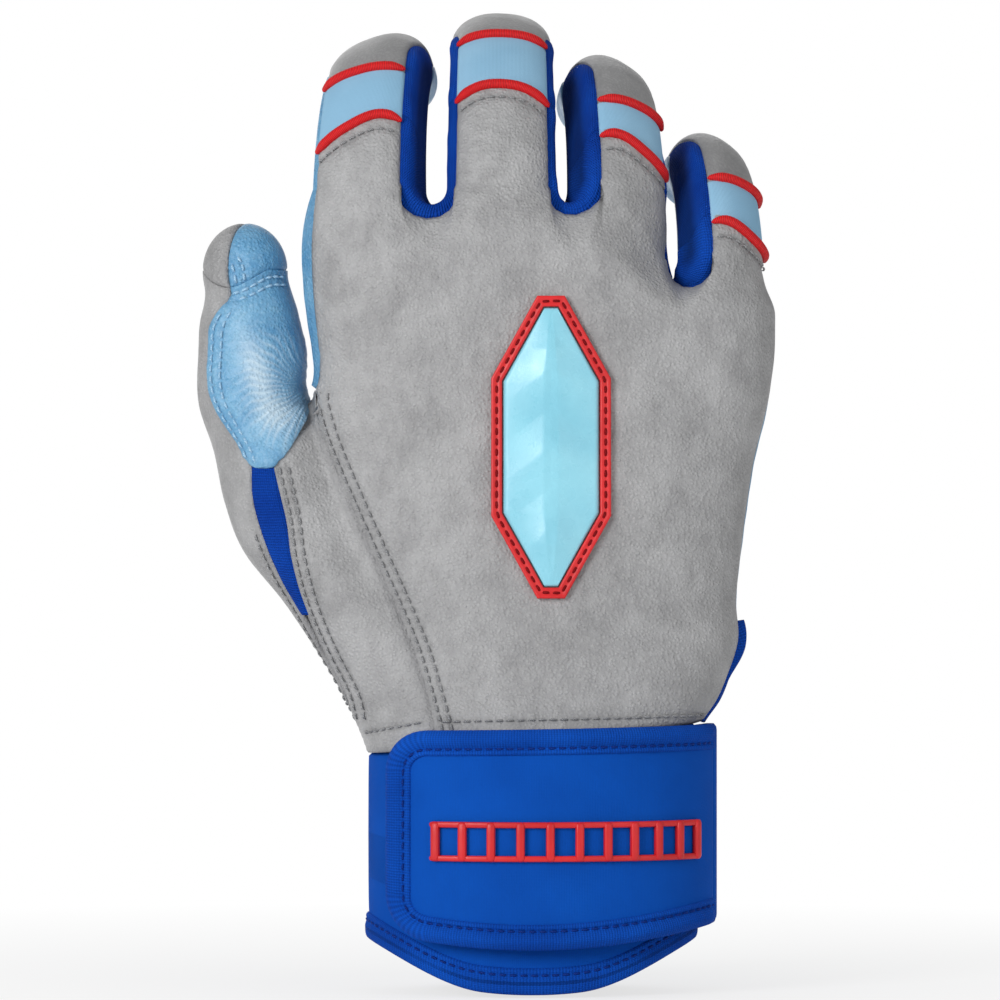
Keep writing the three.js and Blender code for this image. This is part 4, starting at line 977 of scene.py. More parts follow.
class Workshop:
    """Turns grids of points into meshes in the frame."""

    def __init__(self, form: HandForm) -> None:
        """Finds how far the frame is moved from the form: the cuff band's middle is the wrist's.

        Args:
            form: form of the hand.
        """
        low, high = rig.box("cuff_band")
        centre = [(low[i] + high[i]) / 2 for i in (0, 1)]
        self.shift = np.array([centre[0] - form.cuff_centre * MM, centre[1], 0])
        self.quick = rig.quick()

    def place(self, points: Array) -> Array:
        """Points of the form in millimetres, as places in the frame in metres."""
        return points * MM + self.shift

    def steps(self, count: int) -> int:
        return max(4, count // 3) if self.quick else count

    def shares(self, count: int) -> Array:
        """Even shares from 0 to 1 for a grid with that number of steps."""
        return np.linspace(0, 1, self.steps(count) + 1)

    def mesh(self, piece: "Piece", points: Array, quads: Array, uv: Optional[Array] = None,
             values: Optional[dict[str, Array]] = None, closed: bool = True) -> Object:
        """Object at the origin from vertices and quads, turned so that a closed skin faces out.

        Args:
            piece: the piece.
            points: vertices in millimetres, in any grid.
            quads: vertex numbers, four to a face.
            uv: cloth coordinates of each vertex in millimetres.
            values: further numbers for each vertex, by attribute name.
            closed: whether it is a closed skin.

        Returns:
            The new object.
        """
        data = bpy.data.meshes.new(piece.name)
        points, quads = points.reshape(-1, 3), quads.reshape(-1, 4)
        corner = points[quads]
        halves = np.cross(corner[:, 1], corner[:, 2]) + np.cross(corner[:, 2], corner[:, 3])
        if closed and dot(corner[:, 0], halves).sum() < 0:
            quads = quads[:, ::-1]
        count, sides = quads.shape
        data.vertices.add(len(points))
        data.vertices.foreach_set("co", self.place(points).astype(np.float32).ravel())
        data.loops.add(count * sides)
        data.loops.foreach_set("vertex_index", quads.astype(np.int32).ravel())
        data.polygons.add(count)
        data.polygons.foreach_set("loop_start", np.arange(0, count * sides, sides, dtype=np.int32))
        data.polygons.foreach_set("use_smooth", np.full(count, True))
        if uv is not None:
            layer = data.uv_layers.new(name="cloth")
            layer.data.foreach_set("uv", uv.reshape(-1, 2)[quads.ravel()].astype(np.float32).ravel())
        for key, numbers in (values or {}).items():
            data.attributes.new(key, "FLOAT", "POINT").data.foreach_set("value", numbers.astype(np.float32))
        data.update()
        data.validate()
        obj = bpy.data.objects.new(piece.name, data)
        bpy.context.scene.collection.objects.link(obj)
        data.materials.append(piece.finish.material())
        return piece.dress(obj) if piece.body else obj

    def shell(self, piece: "Piece", outer: Array, inner: Array, keep: Optional[Array] = None,
              uv: Optional[Array] = None, values: Optional[dict[str, Array]] = None) -> Object:
        """Closed shell over a grid: an outer and an inner skin, joined round every free edge.

        Args:
            piece: the piece.
            outer: grid of outer points, rows by columns.
            inner: grid of inner points.
            keep: which cells exist, all by default.
            uv: cloth coordinates of the grid.
            values: further numbers for each grid point.

        Returns:
            The new object.
        """
        rows, columns = outer.shape[:2]
        keep = np.ones((rows - 1, columns - 1), bool) if keep is None else keep
        index = np.arange(rows * columns).reshape(rows, columns)
        a, b, c, d = index[:-1, :-1], index[:-1, 1:], index[1:, 1:], index[1:, :-1]
        n = rows * columns
        left_of, right_of, below, above = (np.zeros_like(keep) for _ in range(4))
        left_of[:, 1:], right_of[:, :-1] = keep[:, :-1], keep[:, 1:]
        below[1:], above[:-1] = keep[:-1], keep[1:]
        faces = [np.stack([a, b, c, d], -1)[keep], np.stack([d + n, c + n, b + n, a + n], -1)[keep]]
        for there, p, q in ((below, a, b), (above, c, d), (left_of, d, a), (right_of, b, c)):
            faces.append(np.stack([p + n, q + n, q, p], -1)[keep & ~there])
        quads = np.concatenate(faces)
        points = np.concatenate([outer.reshape(-1, 3), inner.reshape(-1, 3)])
        used = np.unique(quads)
        number = np.zeros(len(points), int)
        number[used] = np.arange(len(used))
        twice = lambda v: np.concatenate([v.reshape(-1, *v.shape[2:])] * 2)[used]
        return self.mesh(piece, points[used], number[quads], None if uv is None else twice(uv),
                         {k: twice(v) for k, v in (values or {}).items()})

    @staticmethod
    def tube(rows: int, columns: int) -> Array:
        """Faces of a tube of rings with an even number of points, closed at both ends by bands across the ring.

        Args:
            rows: number of rings.
            columns: points of a ring.

        Returns:
            Vertex numbers, four to a row.
        """
        index = np.arange(rows * columns).reshape(rows, columns)
        nxt = np.roll(index, -1, axis=1)
        skin = np.stack([index[:-1], index[1:], nxt[1:], nxt[:-1]], -1).reshape(-1, 4)
        i = np.arange(columns // 2 - 1)
        band = np.stack([i, i + 1, columns - 2 - i, columns - 1 - i], -1)
        return np.concatenate([skin, index[0][band], index[-1][band[:, ::-1]]])

    def torus(self, piece: "Piece", points: Array, uv: Array) -> Object:
        """Closed ring from a grid of points that closes in both directions.

        Args:
            piece: the piece.
            points: grid of points.
            uv: cloth coordinates of the grid.

        Returns:
            The new object.
        """
        rows, columns = points.shape[:2]
        index = np.arange(rows * columns).reshape(rows, columns)
        down, right = np.roll(index, -1, 0), np.roll(index, -1, 1)
        return self.mesh(piece, points, np.stack([index, right, np.roll(down, -1, 1), down], -1), uv)

    def bars(self, piece: "Piece", bars: Sequence[tuple[Array, Array, float, float]]) -> Object:
        """One mesh of bars with rounded sections and ends.

        Args:
            piece: the piece.
            bars: each bar's path, the outward directions along it, its width and its height.

        Returns:
            The new object.
        """
        angle = around(16, TURN)
        c, s = np.cos(angle), np.sin(angle)
        wide, high = squarish(c, 0.6) / 2, squarish(s, 0.6) / 2
        points, quads, count = [], [], 0
        for path, ups, width, height in bars:
            along = unit(np.gradient(path, axis=0))
            aside = np.cross(along, ups)
            scale = np.ones(len(path))
            scale[[0, -1]], scale[[1, -2]] = 0.45, 0.82
            ring = (width * scale)[:, None, None] * wide[:, None] * aside[:, None] + (
                height * scale)[:, None, None] * high[:, None] * ups[:, None]
            points.append((path[:, None] + height / 2 * ups[:, None] + ring).reshape(-1, 3))
            quads.append(self.tube(len(path), len(angle)) + count)
            count += len(points[-1])
        return self.mesh(piece, np.concatenate(points), np.concatenate(quads))


def distances(points: Array, targets: Array) -> Array:
    """Distance from each point to the nearest of the targets, worked out in blocks.

    Args:
        points: points, in any shape.
        targets: points to measure to.

    Returns:
        Distances.
    """
    flat = points.reshape(-1, 3).astype(np.float32)
    targets = targets.reshape(-1, 3).astype(np.float32)
    nearest = np.empty(len(flat), np.float32)
    squares = (targets**2).sum(1)
    for start in range(0, len(flat), 4096):
        block = flat[start:start + 4096]
        gap = (block**2).sum(1)[:, None] + squares[None] - 2 * block @ targets.T
        nearest[start:start + 4096] = np.sqrt(np.maximum(gap.min(1), 0))
    return nearest.reshape(points.shape[:-1])


def cloth_map(points: Array) -> Array:
    """Cloth coordinates of a grid: lengths along its columns and its rows, counted from the middle row and column.

    Args:
        points: grid of points.

    Returns:
        Two coordinates for each point.
    """
    rows, columns = points.shape[:2]
    across, up = lengths(points, 1), lengths(points)
    return stack(across - across[:, columns // 2][:, None], up - up[rows // 2])


def resample(points: Array, normals: Array, count: int) -> tuple[Array, Array, float]:
    """Path with points at even distances along it.

    Args:
        points: path, one point to a row.
        normals: normals along it.
        count: number of points wanted.

    Returns:
        New points, new normals and the path's length.
    """
    length = lengths(points)
    at = np.linspace(0, length[-1], count)
    return sampled(at, length, points), unit(sampled(at, length, normals)), float(length[-1])


# ---------------------------------------------------------------- finishes


class Tree:
    """Node tree of one material, with short calls to add and join nodes."""

    def __init__(self, name: str) -> None:
        """Makes a material with its output and its shader.

        Args:
            name: name of the material.
        """
        self.material = bpy.data.materials.new(name)
        self.material.use_nodes = True
        self.nodes, self.links = self.material.node_tree.nodes, self.material.node_tree.links
        self.shader = self.nodes["Principled BSDF"]

    def add(self, kind: str, inputs: Optional[dict[object, object]] = None, **settings: object) -> bpy.types.Node:
        """New node with its properties and inputs set.

        Args:
            kind: type of the node, without the words that every shader node's type starts with.
            inputs: what goes into its sockets, as for feed.
            **settings: its properties.

        Returns:
            The node.
        """
        node = self.nodes.new("ShaderNode" + kind)
        for key, value in settings.items():
            setattr(node, key, value)
        self.feed(node, inputs or {})
        return node

    def feed(self, node: bpy.types.Node, inputs: dict[object, object]) -> None:
        """Joins outputs to a node's sockets, or sets the sockets' numbers and colours.

        Args:
            node: the node.
            inputs: an output, a number or a colour for each socket, by its name or number.
        """
        for socket, value in inputs.items():
            if isinstance(value, Socket):
                self.links.new(value, node.inputs[socket])
            else:
                node.inputs[socket].default_value = value

    def shade(self, inputs: dict[object, object]) -> bpy.types.Material:
        """Feeds the shader and returns the finished material."""
        self.feed(self.shader, inputs)
        return self.material

    def math(self, operation: str, a: object, b: object = 0.0) -> Socket:
        """Result of one sum."""
        return self.add("Math", {0: a, 1: b}, operation=operation).outputs[0]

    def plus(self, a: object, b: object) -> Socket:
        """Sum of two numbers."""
        return self.math("ADD", a, b)

    def times(self, a: object, b: object) -> Socket:
        """Product of two numbers."""
        return self.math("MULTIPLY", a, b)

    def ramp(self, value: Socket, low: float, high: float, start: float = 0.0, end: float = 1.0) -> Socket:
        """Number moved from the range low to high to the range start to end, held at the ends."""
        return self.add("MapRange", dict(enumerate((value, low, high, start, end))), clamp=True).outputs[0]

    def blend(self, factor: object, a: object, b: object, mode: str = "MIX") -> Socket:
        """Mix of two colours."""
        return self.add("Mix", {0: factor, 6: a, 7: b}, data_type="RGBA", blend_type=mode).outputs[2]

    def noise(self, where: Socket, scale: float, detail: float = 3.0, roughness: float = 0.5) -> Socket:
        """Value of a noise texture."""
        inputs = {"Vector": where, "Scale": scale, "Detail": detail, "Roughness": roughness}
        return self.add("TexNoise", inputs).outputs[0]

    def cells(self, where: Socket, scale: float) -> Socket:
        """Distance of a cell texture."""
        return self.add("TexVoronoi", {"Vector": where, "Scale": scale}).outputs["Distance"]

    def object_place(self) -> Socket:
        """Object coordinates, in metres."""
        return self.add("TexCoord").outputs["Object"]

    def cloth_place(self) -> tuple[Socket, Socket]:
        """The piece's own cloth coordinates along and across it, in millimetres.

        Returns:
            The two coordinates.
        """
        parts = self.add("SeparateXYZ")
        self.feed(parts, {0: self.add("UVMap", uv_map="cloth").outputs[0]})
        return parts.outputs[0], parts.outputs[1]

    def stretched(self, where: Socket, turn: Sequence[float], scale: Sequence[float]) -> Socket:
        """Coordinates turned and stretched."""
        return self.add("Mapping", {"Vector": where, "Rotation": turn, "Scale": scale}).outputs[0]

    def number(self, name: str) -> Socket:
        """A number that the mesh holds for each vertex."""
        return self.add("Attribute", attribute_name=name).outputs["Fac"]

    def bump(self, height: Socket, depth: float, before: Optional[Socket] = None) -> Socket:
        """Normal bent by a height, in metres of depth, on top of a bend before it."""
        inputs = {"Height": height, "Distance": depth, "Strength": 1.0}
        return self.add("Bump", inputs if before is None else {**inputs, "Normal": before}).outputs[0]


def linear(r: int, g: int, b: int) -> Colour:
    """Colour as seen, in steps of 255, as the shader reads it: the screen's curve undone."""
    undone = [(c / 255 / 12.92) if c <= 10 else ((c / 255 + 0.055) / 1.055) ** 2.4 for c in (r, g, b)]
    return (*undone, 1.0)


@dataclass(frozen=True)
class Finish:
    """A finish by its material slot and its colours. The material is made once and shared."""

    name: str
    slot: str
    colour: Colour
    second: Colour

    def material(self) -> bpy.types.Material:
        """The material, made on first use."""
        return bpy.data.materials.get(self.name) or self.make()

    def make(self) -> bpy.types.Material:
        """Plain material, which each kind of finish works out further."""
        return Tree(self.name).shade({"Base Color": self.colour})


@dataclass(frozen=True)
class Leather(Finish):
    """Fine-grained leather: small pebbles, soft creases, cloudy colour, darker seam edges and a painted highlight."""

    roughness: float = 0.44
    grain: float = 0.00014
    crease: float = 0.00022
    edge: float = 0.22
    # pale colour of the painted highlight, which also tints fine pale flecks over the grain
    worn: Colour = (0.62, 0.76, 0.86, 1.0)

    def make(self) -> bpy.types.Material:
        """Pebbles and hair cells bend the normal, larger clouds change the colour and the gloss.

        Returns:
            The material.
        """
        tree = Tree(self.name)
        place = tree.object_place()
        cloud = tree.noise(place, 85, 4, 0.6)
        patch = tree.noise(tree.stretched(place, (0.1, 0.4, 0.3), (1.3, 1.0, 0.7)), 230, 3, 0.55)
        fine = tree.noise(place, 1150, 2, 0.5)
        pebble = tree.cells(place, 1300)
        small = tree.noise(place, 2700, 3, 0.6)
        crease = tree.noise(tree.stretched(place, (0.2, 0.6, 0.5), (1.0, 1.0, 0.3)), 560, 4, 0.62)
        seam = tree.ramp(tree.number("seam"), 0.0, 2.2, 1.0, 0.0)
        mottled = tree.plus(tree.times(cloud, 0.65), tree.times(patch, 0.35))
        tint = tree.blend(tree.ramp(mottled, 0.38, 0.62), self.colour, self.second)
        tint = tree.blend(tree.ramp(pebble, 0.25, 0.62, 0.0, 0.16), tint, self.second, "MULTIPLY")
        # fine pale flecks at random over the grain, in the painted highlight's colour
        tint = tree.blend(tree.times(tree.ramp(fine, 0.5, 0.72), 0.12), tint, self.worn)
        # painted highlight: where the mesh's number says so, the colour turns towards the pale highlight colour
        tint = tree.blend(tree.number("worn"), tint, self.worn)
        tint = tree.blend(tree.times(seam, self.edge), tint, (0.05, 0.05, 0.06, 1))
        rough = tree.ramp(tree.plus(fine, cloud), 0.6, 1.4, self.roughness - 0.08, self.roughness + 0.12)
        normal = tree.bump(crease, self.crease)
        normal = tree.bump(tree.ramp(pebble, 0.1, 0.6, 1.0, 0.0), self.grain * 1.2, normal)
        normal = tree.bump(small, self.grain, normal)
        return tree.shade({"Base Color": tint, "Roughness": rough, "Specular IOR Level": 0.5, "Normal": normal})


@dataclass(frozen=True)
class Knit(Finish):
    """Knitted or woven cloth: rows of small ribs that follow the piece's own cloth coordinates."""

    pitch: float = 0.55
    row: float = 0.45
    depth: float = 0.0002
    roughness: float = 0.85
    sheen: float = 0.12
    contrast: float = 1.0
    turned: bool = False

    def make(self) -> bpy.types.Material:
        """Two sine waves across each other, broken up by noise, shape the stitches of the cloth; hollows get painted
        shade.

        Returns:
            The material.
        """
        tree = Tree(self.name)
        u, v = tree.cloth_place()[:: -1 if self.turned else 1]
        place = tree.object_place()
        wobble = tree.times(tree.noise(place, 900, 2), 1.6)
        across = tree.math("SINE", tree.plus(tree.times(u, 2 * math.pi / self.pitch), wobble))
        up = tree.math("SINE", tree.plus(tree.times(v, 2 * math.pi / self.row), wobble))
        weave = tree.plus(across, tree.times(up, 0.6))
        fuzz = tree.noise(place, 3200, 2)
        height = tree.plus(tree.times(weave, 0.5), fuzz)
        tint = tree.blend(tree.ramp(tree.noise(place, 60, 3), 0.35, 0.65), self.colour, self.second)
        tint = tree.blend(1.0, tint, tree.ramp(weave, -1.4, 1.2, 1 - 0.36 * self.contrast, 1.0), "MULTIPLY")
        # painted shade: the colour turns dark navy inside a knit strip's hollow
        tint = tree.blend(tree.number("hollow"), tint, (0.001, 0.016, 0.09, 1))
        return tree.shade({
            "Base Color": tint, "Roughness": self.roughness, "Sheen Weight": self.sheen, "Sheen Roughness": 0.5,
            "Sheen Tint": self.second, "Specular IOR Level": 0.12, "Normal": tree.bump(height, self.depth)})


@dataclass(frozen=True)
class Satin(Finish):
    """Ribbed satin over a cord: cross ribs with a soft shine."""

    rib: float = 0.36

    def make(self) -> bpy.types.Material:
        """A wave along the cord shapes and shades the ribs, and each rib is a little different in tone.

        Returns:
            The material.
        """
        tree = Tree(self.name)
        wave = tree.math("SINE", tree.times(tree.cloth_place()[0], 2 * math.pi / self.rib))
        place = tree.object_place()
        tint = tree.blend(tree.ramp(wave, -0.9, 0.5), self.second, self.colour)
        tint = tree.blend(tree.ramp(tree.noise(place, 1600, 2), 0.4, 0.8, 0.0, 0.35), tint, self.second)
        return tree.shade({"Base Color": tint, "Roughness": 0.5, "Sheen Weight": 0.1, "Sheen Tint": self.colour,
                           "Specular IOR Level": 0.3, "Normal": tree.bump(wave, 0.00005)})


@dataclass(frozen=True)
class Rubber(Finish):
    """Moulded rubber with a fine blasted skin."""

    roughness: float = 0.42

    def make(self) -> bpy.types.Material:
        """Fine noise bends the normal, larger noise changes the tone and the gloss.

        Returns:
            The material.
        """
        tree = Tree(self.name)
        place = tree.object_place()
        tint = tree.blend(tree.ramp(tree.noise(place, 90, 3), 0.35, 0.65), self.colour, self.second)
        rough = tree.ramp(tree.noise(place, 260, 3), 0.3, 0.7, self.roughness - 0.06, self.roughness + 0.08)
        normal = tree.bump(tree.noise(place, 2600, 2), 0.00003)
        return tree.shade({"Base Color": tint, "Roughness": rough, "Normal": normal})


@dataclass(frozen=True)
class Thread(Finish):
    """Twisted sewing thread."""

    sheen: float = 0.15

    def make(self) -> bpy.types.Material:
        """A fine wave slants over the thread and shades its plies.

        Returns:
            The material.
        """
        tree = Tree(self.name)
        inputs = {"Vector": tree.object_place(), "Scale": 1500.0, "Distortion": 1.5}
        wave = tree.add("TexWave", inputs, wave_type="BANDS", bands_direction="DIAGONAL")
        return tree.shade({"Base Color": tree.blend(wave.outputs[1], self.second, self.colour), "Roughness": 0.6,
                           "Specular IOR Level": 0.15, "Sheen Weight": self.sheen})


@dataclass(frozen=True)
class HookTape(Finish):
    """Hook tape: a field of tiny stubs."""

    def make(self) -> bpy.types.Material:
        """Small cells stand up as stubs, with a painted highlight on top and painted shade between.

        Returns:
            The material.
        """
        tree = Tree(self.name)
        stub = tree.ramp(tree.cells(tree.object_place(), 1400), 0.1, 0.6, 1.0, 0.0)
        # painted highlight on the stubs' tops and painted shade between them
        tint = tree.blend(stub, self.second, self.colour)
        return tree.shade({"Base Color": tint, "Roughness": 0.75, "Normal": tree.bump(stub, 0.0005)})


# the last colour of each leather is the pale colour of its painted highlight
GREY_LEATHER = Leather("grey leather", "grey_leather", linear(175, 175, 176), linear(151, 151, 152),
                       worn=linear(205, 205, 206))
CAP_LEATHER = Leather("cap leather", "grey_leather", linear(154, 154, 155), linear(140, 140, 141), roughness=0.36,
                      grain=0.00005, crease=0.0001, worn=linear(190, 190, 191))
SKY_LEATHER = Leather("sky leather", "sky_leather", linear(124, 180, 214), linear(88, 152, 196), roughness=0.34,
                      edge=0.1, worn=linear(208, 228, 240))
SKY_KNIT = Knit("sky knit", "sky_knit", linear(160, 204, 232), linear(146, 192, 222), pitch=0.3, row=0.3,
                depth=0.00003, contrast=0.3)
BLUE_KNIT = Knit("blue knit", "blue_knit", linear(14, 82, 196), linear(6, 64, 168), pitch=0.62, row=0.5, turned=True)
BINDING_KNIT = Knit("blue binding", "blue_knit", linear(10, 86, 198), linear(4, 72, 176), pitch=0.6, row=0.42,
                    depth=0.00010)
BLUE_NEOPRENE = Knit("blue neoprene", "blue_neoprene", linear(4, 82, 184), linear(2, 76, 174), pitch=0.36, row=0.3,
                     depth=0.00003, sheen=0.05, contrast=0.3)
RED_SATIN = Satin("red satin", "red_piping", linear(240, 30, 34), linear(172, 10, 18))
RED_RUBBER = Rubber("red rubber", "red_rubber", linear(222, 30, 34), linear(202, 22, 27))
SKY_RUBBER = Rubber("sky rubber", "sky_rubber", linear(150, 218, 236), linear(136, 206, 226), roughness=0.28)
GREY_THREAD = Thread("grey thread", "grey_leather", linear(170, 171, 172), linear(96, 97, 100))
SKY_THREAD = Thread("sky thread", "sky_leather", linear(190, 222, 240), linear(96, 156, 200))
BLUE_THREAD = Thread("blue thread", "blue_knit", linear(4, 56, 150), linear(1, 26, 88), sheen=0.0)
RED_THREAD = Thread("red thread", "red_rubber", linear(150, 10, 18), linear(88, 2, 8), sheen=0.0)
# hook tape: the colour painted on the stubs' lit tops, then the painted shade between them
HOOK_TAPE = HookTape("hook tape", "hook_tape", linear(18, 62, 150), linear(6, 26, 70))


@dataclass(frozen=True)
class Piece:
    """What a piece is called, its finish, the CAD node that it stands for, the body that it rides on, and where it
    bends from the hand towards that body."""

    name: str
    finish: Finish
    node: str = ""
    body: str = "hand"
    bend: Sequence[Array] = ()

    def dress(self, made: Object) -> Object:
        """Ties the object to the frame: to its body or over its bend, to its slot and to its CAD node.

        Args:
            made: the object.

        Returns:
            The same object.
        """
        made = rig.blend(made, "hand", self.body, *self.bend) if self.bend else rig.ride(made, self.body)
        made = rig.slot(made, self.finish.slot)
        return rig.replaces(made, self.node) if self.node else made


# ---------------------------------------------------------------- sewing


@dataclass
class Sewing:
    """Rows of stitches and the dimples that they pull into a panel."""

    shop: Workshop
    pitch: float = 2.3
    length: float = 1.75
    width: float = 0.3
    height: float = 0.26
    rows: dict[str, list[tuple[Array, Array]]] = field(default_factory=dict)

    def row(self, name: str, path: Hit, lift: float = 0.0) -> Array:
        """Lays one row of stitches along a path and keeps it for a mesh of that name.

        Args:
            name: name of the mesh that the row goes into.
            path: surface points along the row.
            lift: height of the row over those points.

        Returns:
            The holes between the stitches, in which the panel dips.
        """
        points, normals, length = resample(path.point, path.normal, 240)
        count = max(2, round(length / self.pitch))
        at = np.linspace(0, 1, count + 1)
        places = np.linspace(0, 1, len(points))
        ends, ups = sampled(at, places, points), unit(sampled(at, places, normals))
        self.rows.setdefault(name, []).append((ends + lift * ups, ups))
        return ends

    def mesh(self, piece: Piece) -> Object:
        """One mesh of all the stitches kept under a name: each is a rounded bar that arches from hole to hole.

        Args:
            piece: the piece, with the name given to the rows and the thread as its finish.

        Returns:
            The new object.
        """
        rows = self.rows[piece.name]
        starts = np.concatenate([e[:-1] for e, _ in rows])
        stops = np.concatenate([e[1:] for e, _ in rows])
        ups = unit(np.concatenate([(u[:-1] + u[1:]) for _, u in rows]))
        along = stops - starts
        span = np.linalg.norm(along, axis=-1, keepdims=True)
        middle, along = (starts + stops) / 2, along / span
        aside = np.cross(ups, along)
        stations = np.array([-0.5, -0.36, 0.0, 0.36, 0.5])
        girth = np.array([0.3, 0.85, 1.0, 0.85, 0.3])
        rise = np.array([-0.34, 0.02, 0.12, 0.02, -0.34])
        angles = np.arange(6) * math.pi / 3
        reach = span[:, None] * (self.length / self.pitch) * stations[None, :, None]
        centre = middle[:, None] + reach * along[:, None] + rise[None, :, None] * ups[:, None]
        round_ = (np.cos(angles)[None, None, :, None] * aside[:, None, None] * self.width
                  + np.sin(angles)[None, None, :, None] * ups[:, None, None] * self.height)
        points = centre[:, :, None] + girth[None, :, None, None] * round_
        count = len(points)
        base = np.arange(count)[:, None, None] * 30
        j, i = np.meshgrid(np.arange(4), np.arange(6), indexing="ij")
        nxt = (i + 1) % 6
        quads = np.stack([j * 6 + i, j * 6 + nxt, (j + 1) * 6 + nxt, (j + 1) * 6 + i], -1).reshape(1, -1, 4)
        caps = np.array([[[0, 3, 2, 1], [0, 5, 4, 3], [24, 25, 26, 27], [24, 27, 28, 29]]])
        return self.shop.mesh(piece, points, np.concatenate([quads, caps], 1) + base)


def tucked(count: int) -> tuple[Array, Array]:
    """Shares across a panel that runs on under its neighbours on both sides, as single rows.

    Args:
        count: steps between the seams.

    Returns:
        Shares between the seams, and how far each column lies beyond a seam: negative before, positive after.
    """
    beyond = np.array([0.15, 0.5, 1.0])
    inside = np.linspace(0, 1, count + 1)
    shares = np.concatenate([beyond * 0, inside, beyond * 0 + 1])
    return shares[None], np.concatenate([-beyond[::-1], inside * 0, beyond])[None]


def sink(height: Array, beyond: Array) -> Array:
    """Heights with the columns beyond a seam let down under the neighbouring panel."""
    return mix(height, -SUNK, smoothstep(0, 0.5, np.abs(beyond)) + 0 * height)


def rolled(off: Array, reach: float, drop: float) -> Array:
    """Height of an edge that rolls down as a quarter round, by the distance from it."""
    t = np.clip(off / reach, 0, 1)
    return -drop * (1 - np.sqrt(1 - (1 - t) ** 2))


def relief(hit: Hit, edge: Array, holes: Sequence[Array], drop: float = 0.55) -> tuple[Array, Array]:
    """Height of a sewn panel over its plain form.

    The edge rolls down as a quarter round, each stitch hole is a small round dimple, and a row of holes lies in a
    shallow groove: both are bell curves over the distance.

    Args:
        hit: grid of surface points.
        edge: points along the panel's free edges.
        holes: rows of stitch holes.
        drop: how far the edge rolls down.

    Returns:
        Heights, and distances from the edge or a row of stitches, for the seam's shade.
    """
    off = distances(hit.point, edge) if len(edge) else np.full(hit.point.shape[:-1], 50.0)
    height, shade = rolled(off, ROLL, drop), off.copy()
    for row in holes:
        gap = distances(hit.point, row)
        fine = distances(hit.point, resample(row, row * 0 + Z_AXIS, 6 * len(row))[0])
        height -= 0.3 * bell(gap, 0.75) + 0.16 * bell(fine, 0.9)
        shade = np.minimum(shade, 0.9 + fine)
    return height, shade


def wrinkles(point: Array, direction: Array, pitch: float, seed: int) -> Array:
    """Soft ridges from -1 to 1: sines of three near pitches along a direction, bent by slow waves across it.

    Args:
        point: points.
        direction: direction across the ridges.
        pitch: widest pitch.
        seed: seed of the phases.

    Returns:
        Heights from -1 to 1.
    """
    rng = np.random.default_rng(seed)
    along = point @ unit(np.asarray(direction, float))
    total = np.zeros(point.shape[:-1])
    for weight, part in ((0.5, 1.0), (0.3, 0.61), (0.2, 0.37)):
        phase = rng.uniform(0, 2 * math.pi, 4)
        bend = np.sin(point[..., 0] / 7.1 + phase[0]) + np.sin(point[..., 2] / 9.3 + phase[1])
        fade = 0.5 + 0.5 * np.sin(point[..., 0] / 11 + point[..., 2] / 17 + phase[3])
        total += weight * fade * np.sin(2 * math.pi * along / (pitch * part) + 1.1 * bend + phase[2])
    return total


# ---------------------------------------------------------------- sub-assemblies


@dataclass
class Assembly:
    """What every sub-assembly is built with: the hand's form, the workshop and the sewing."""

    form: HandForm
    shop: Workshop
    sewing: Sewing

    def panel_of(self, piece: Piece, hit: Hit, height: Array, thickness: float, keep: Optional[Array] = None,
                 cloth: bool = True, **values: Array) -> Object:
        """Closed panel that lies at a height over a grid of surface points.

        Args:
            piece: the piece.
            hit: grid of surface points.
            height: height of its outer face over them.
            thickness: its thickness.
            keep: which cells exist, all by default.
            cloth: whether it gets cloth coordinates.
            **values: numbers for each grid point, which the finish reads.

        Returns:
            The new object.
        """
        return self.shop.shell(piece, hit.lifted(height), hit.lifted(height - thickness), keep,
                               cloth_map(hit.point) if cloth else None, values)


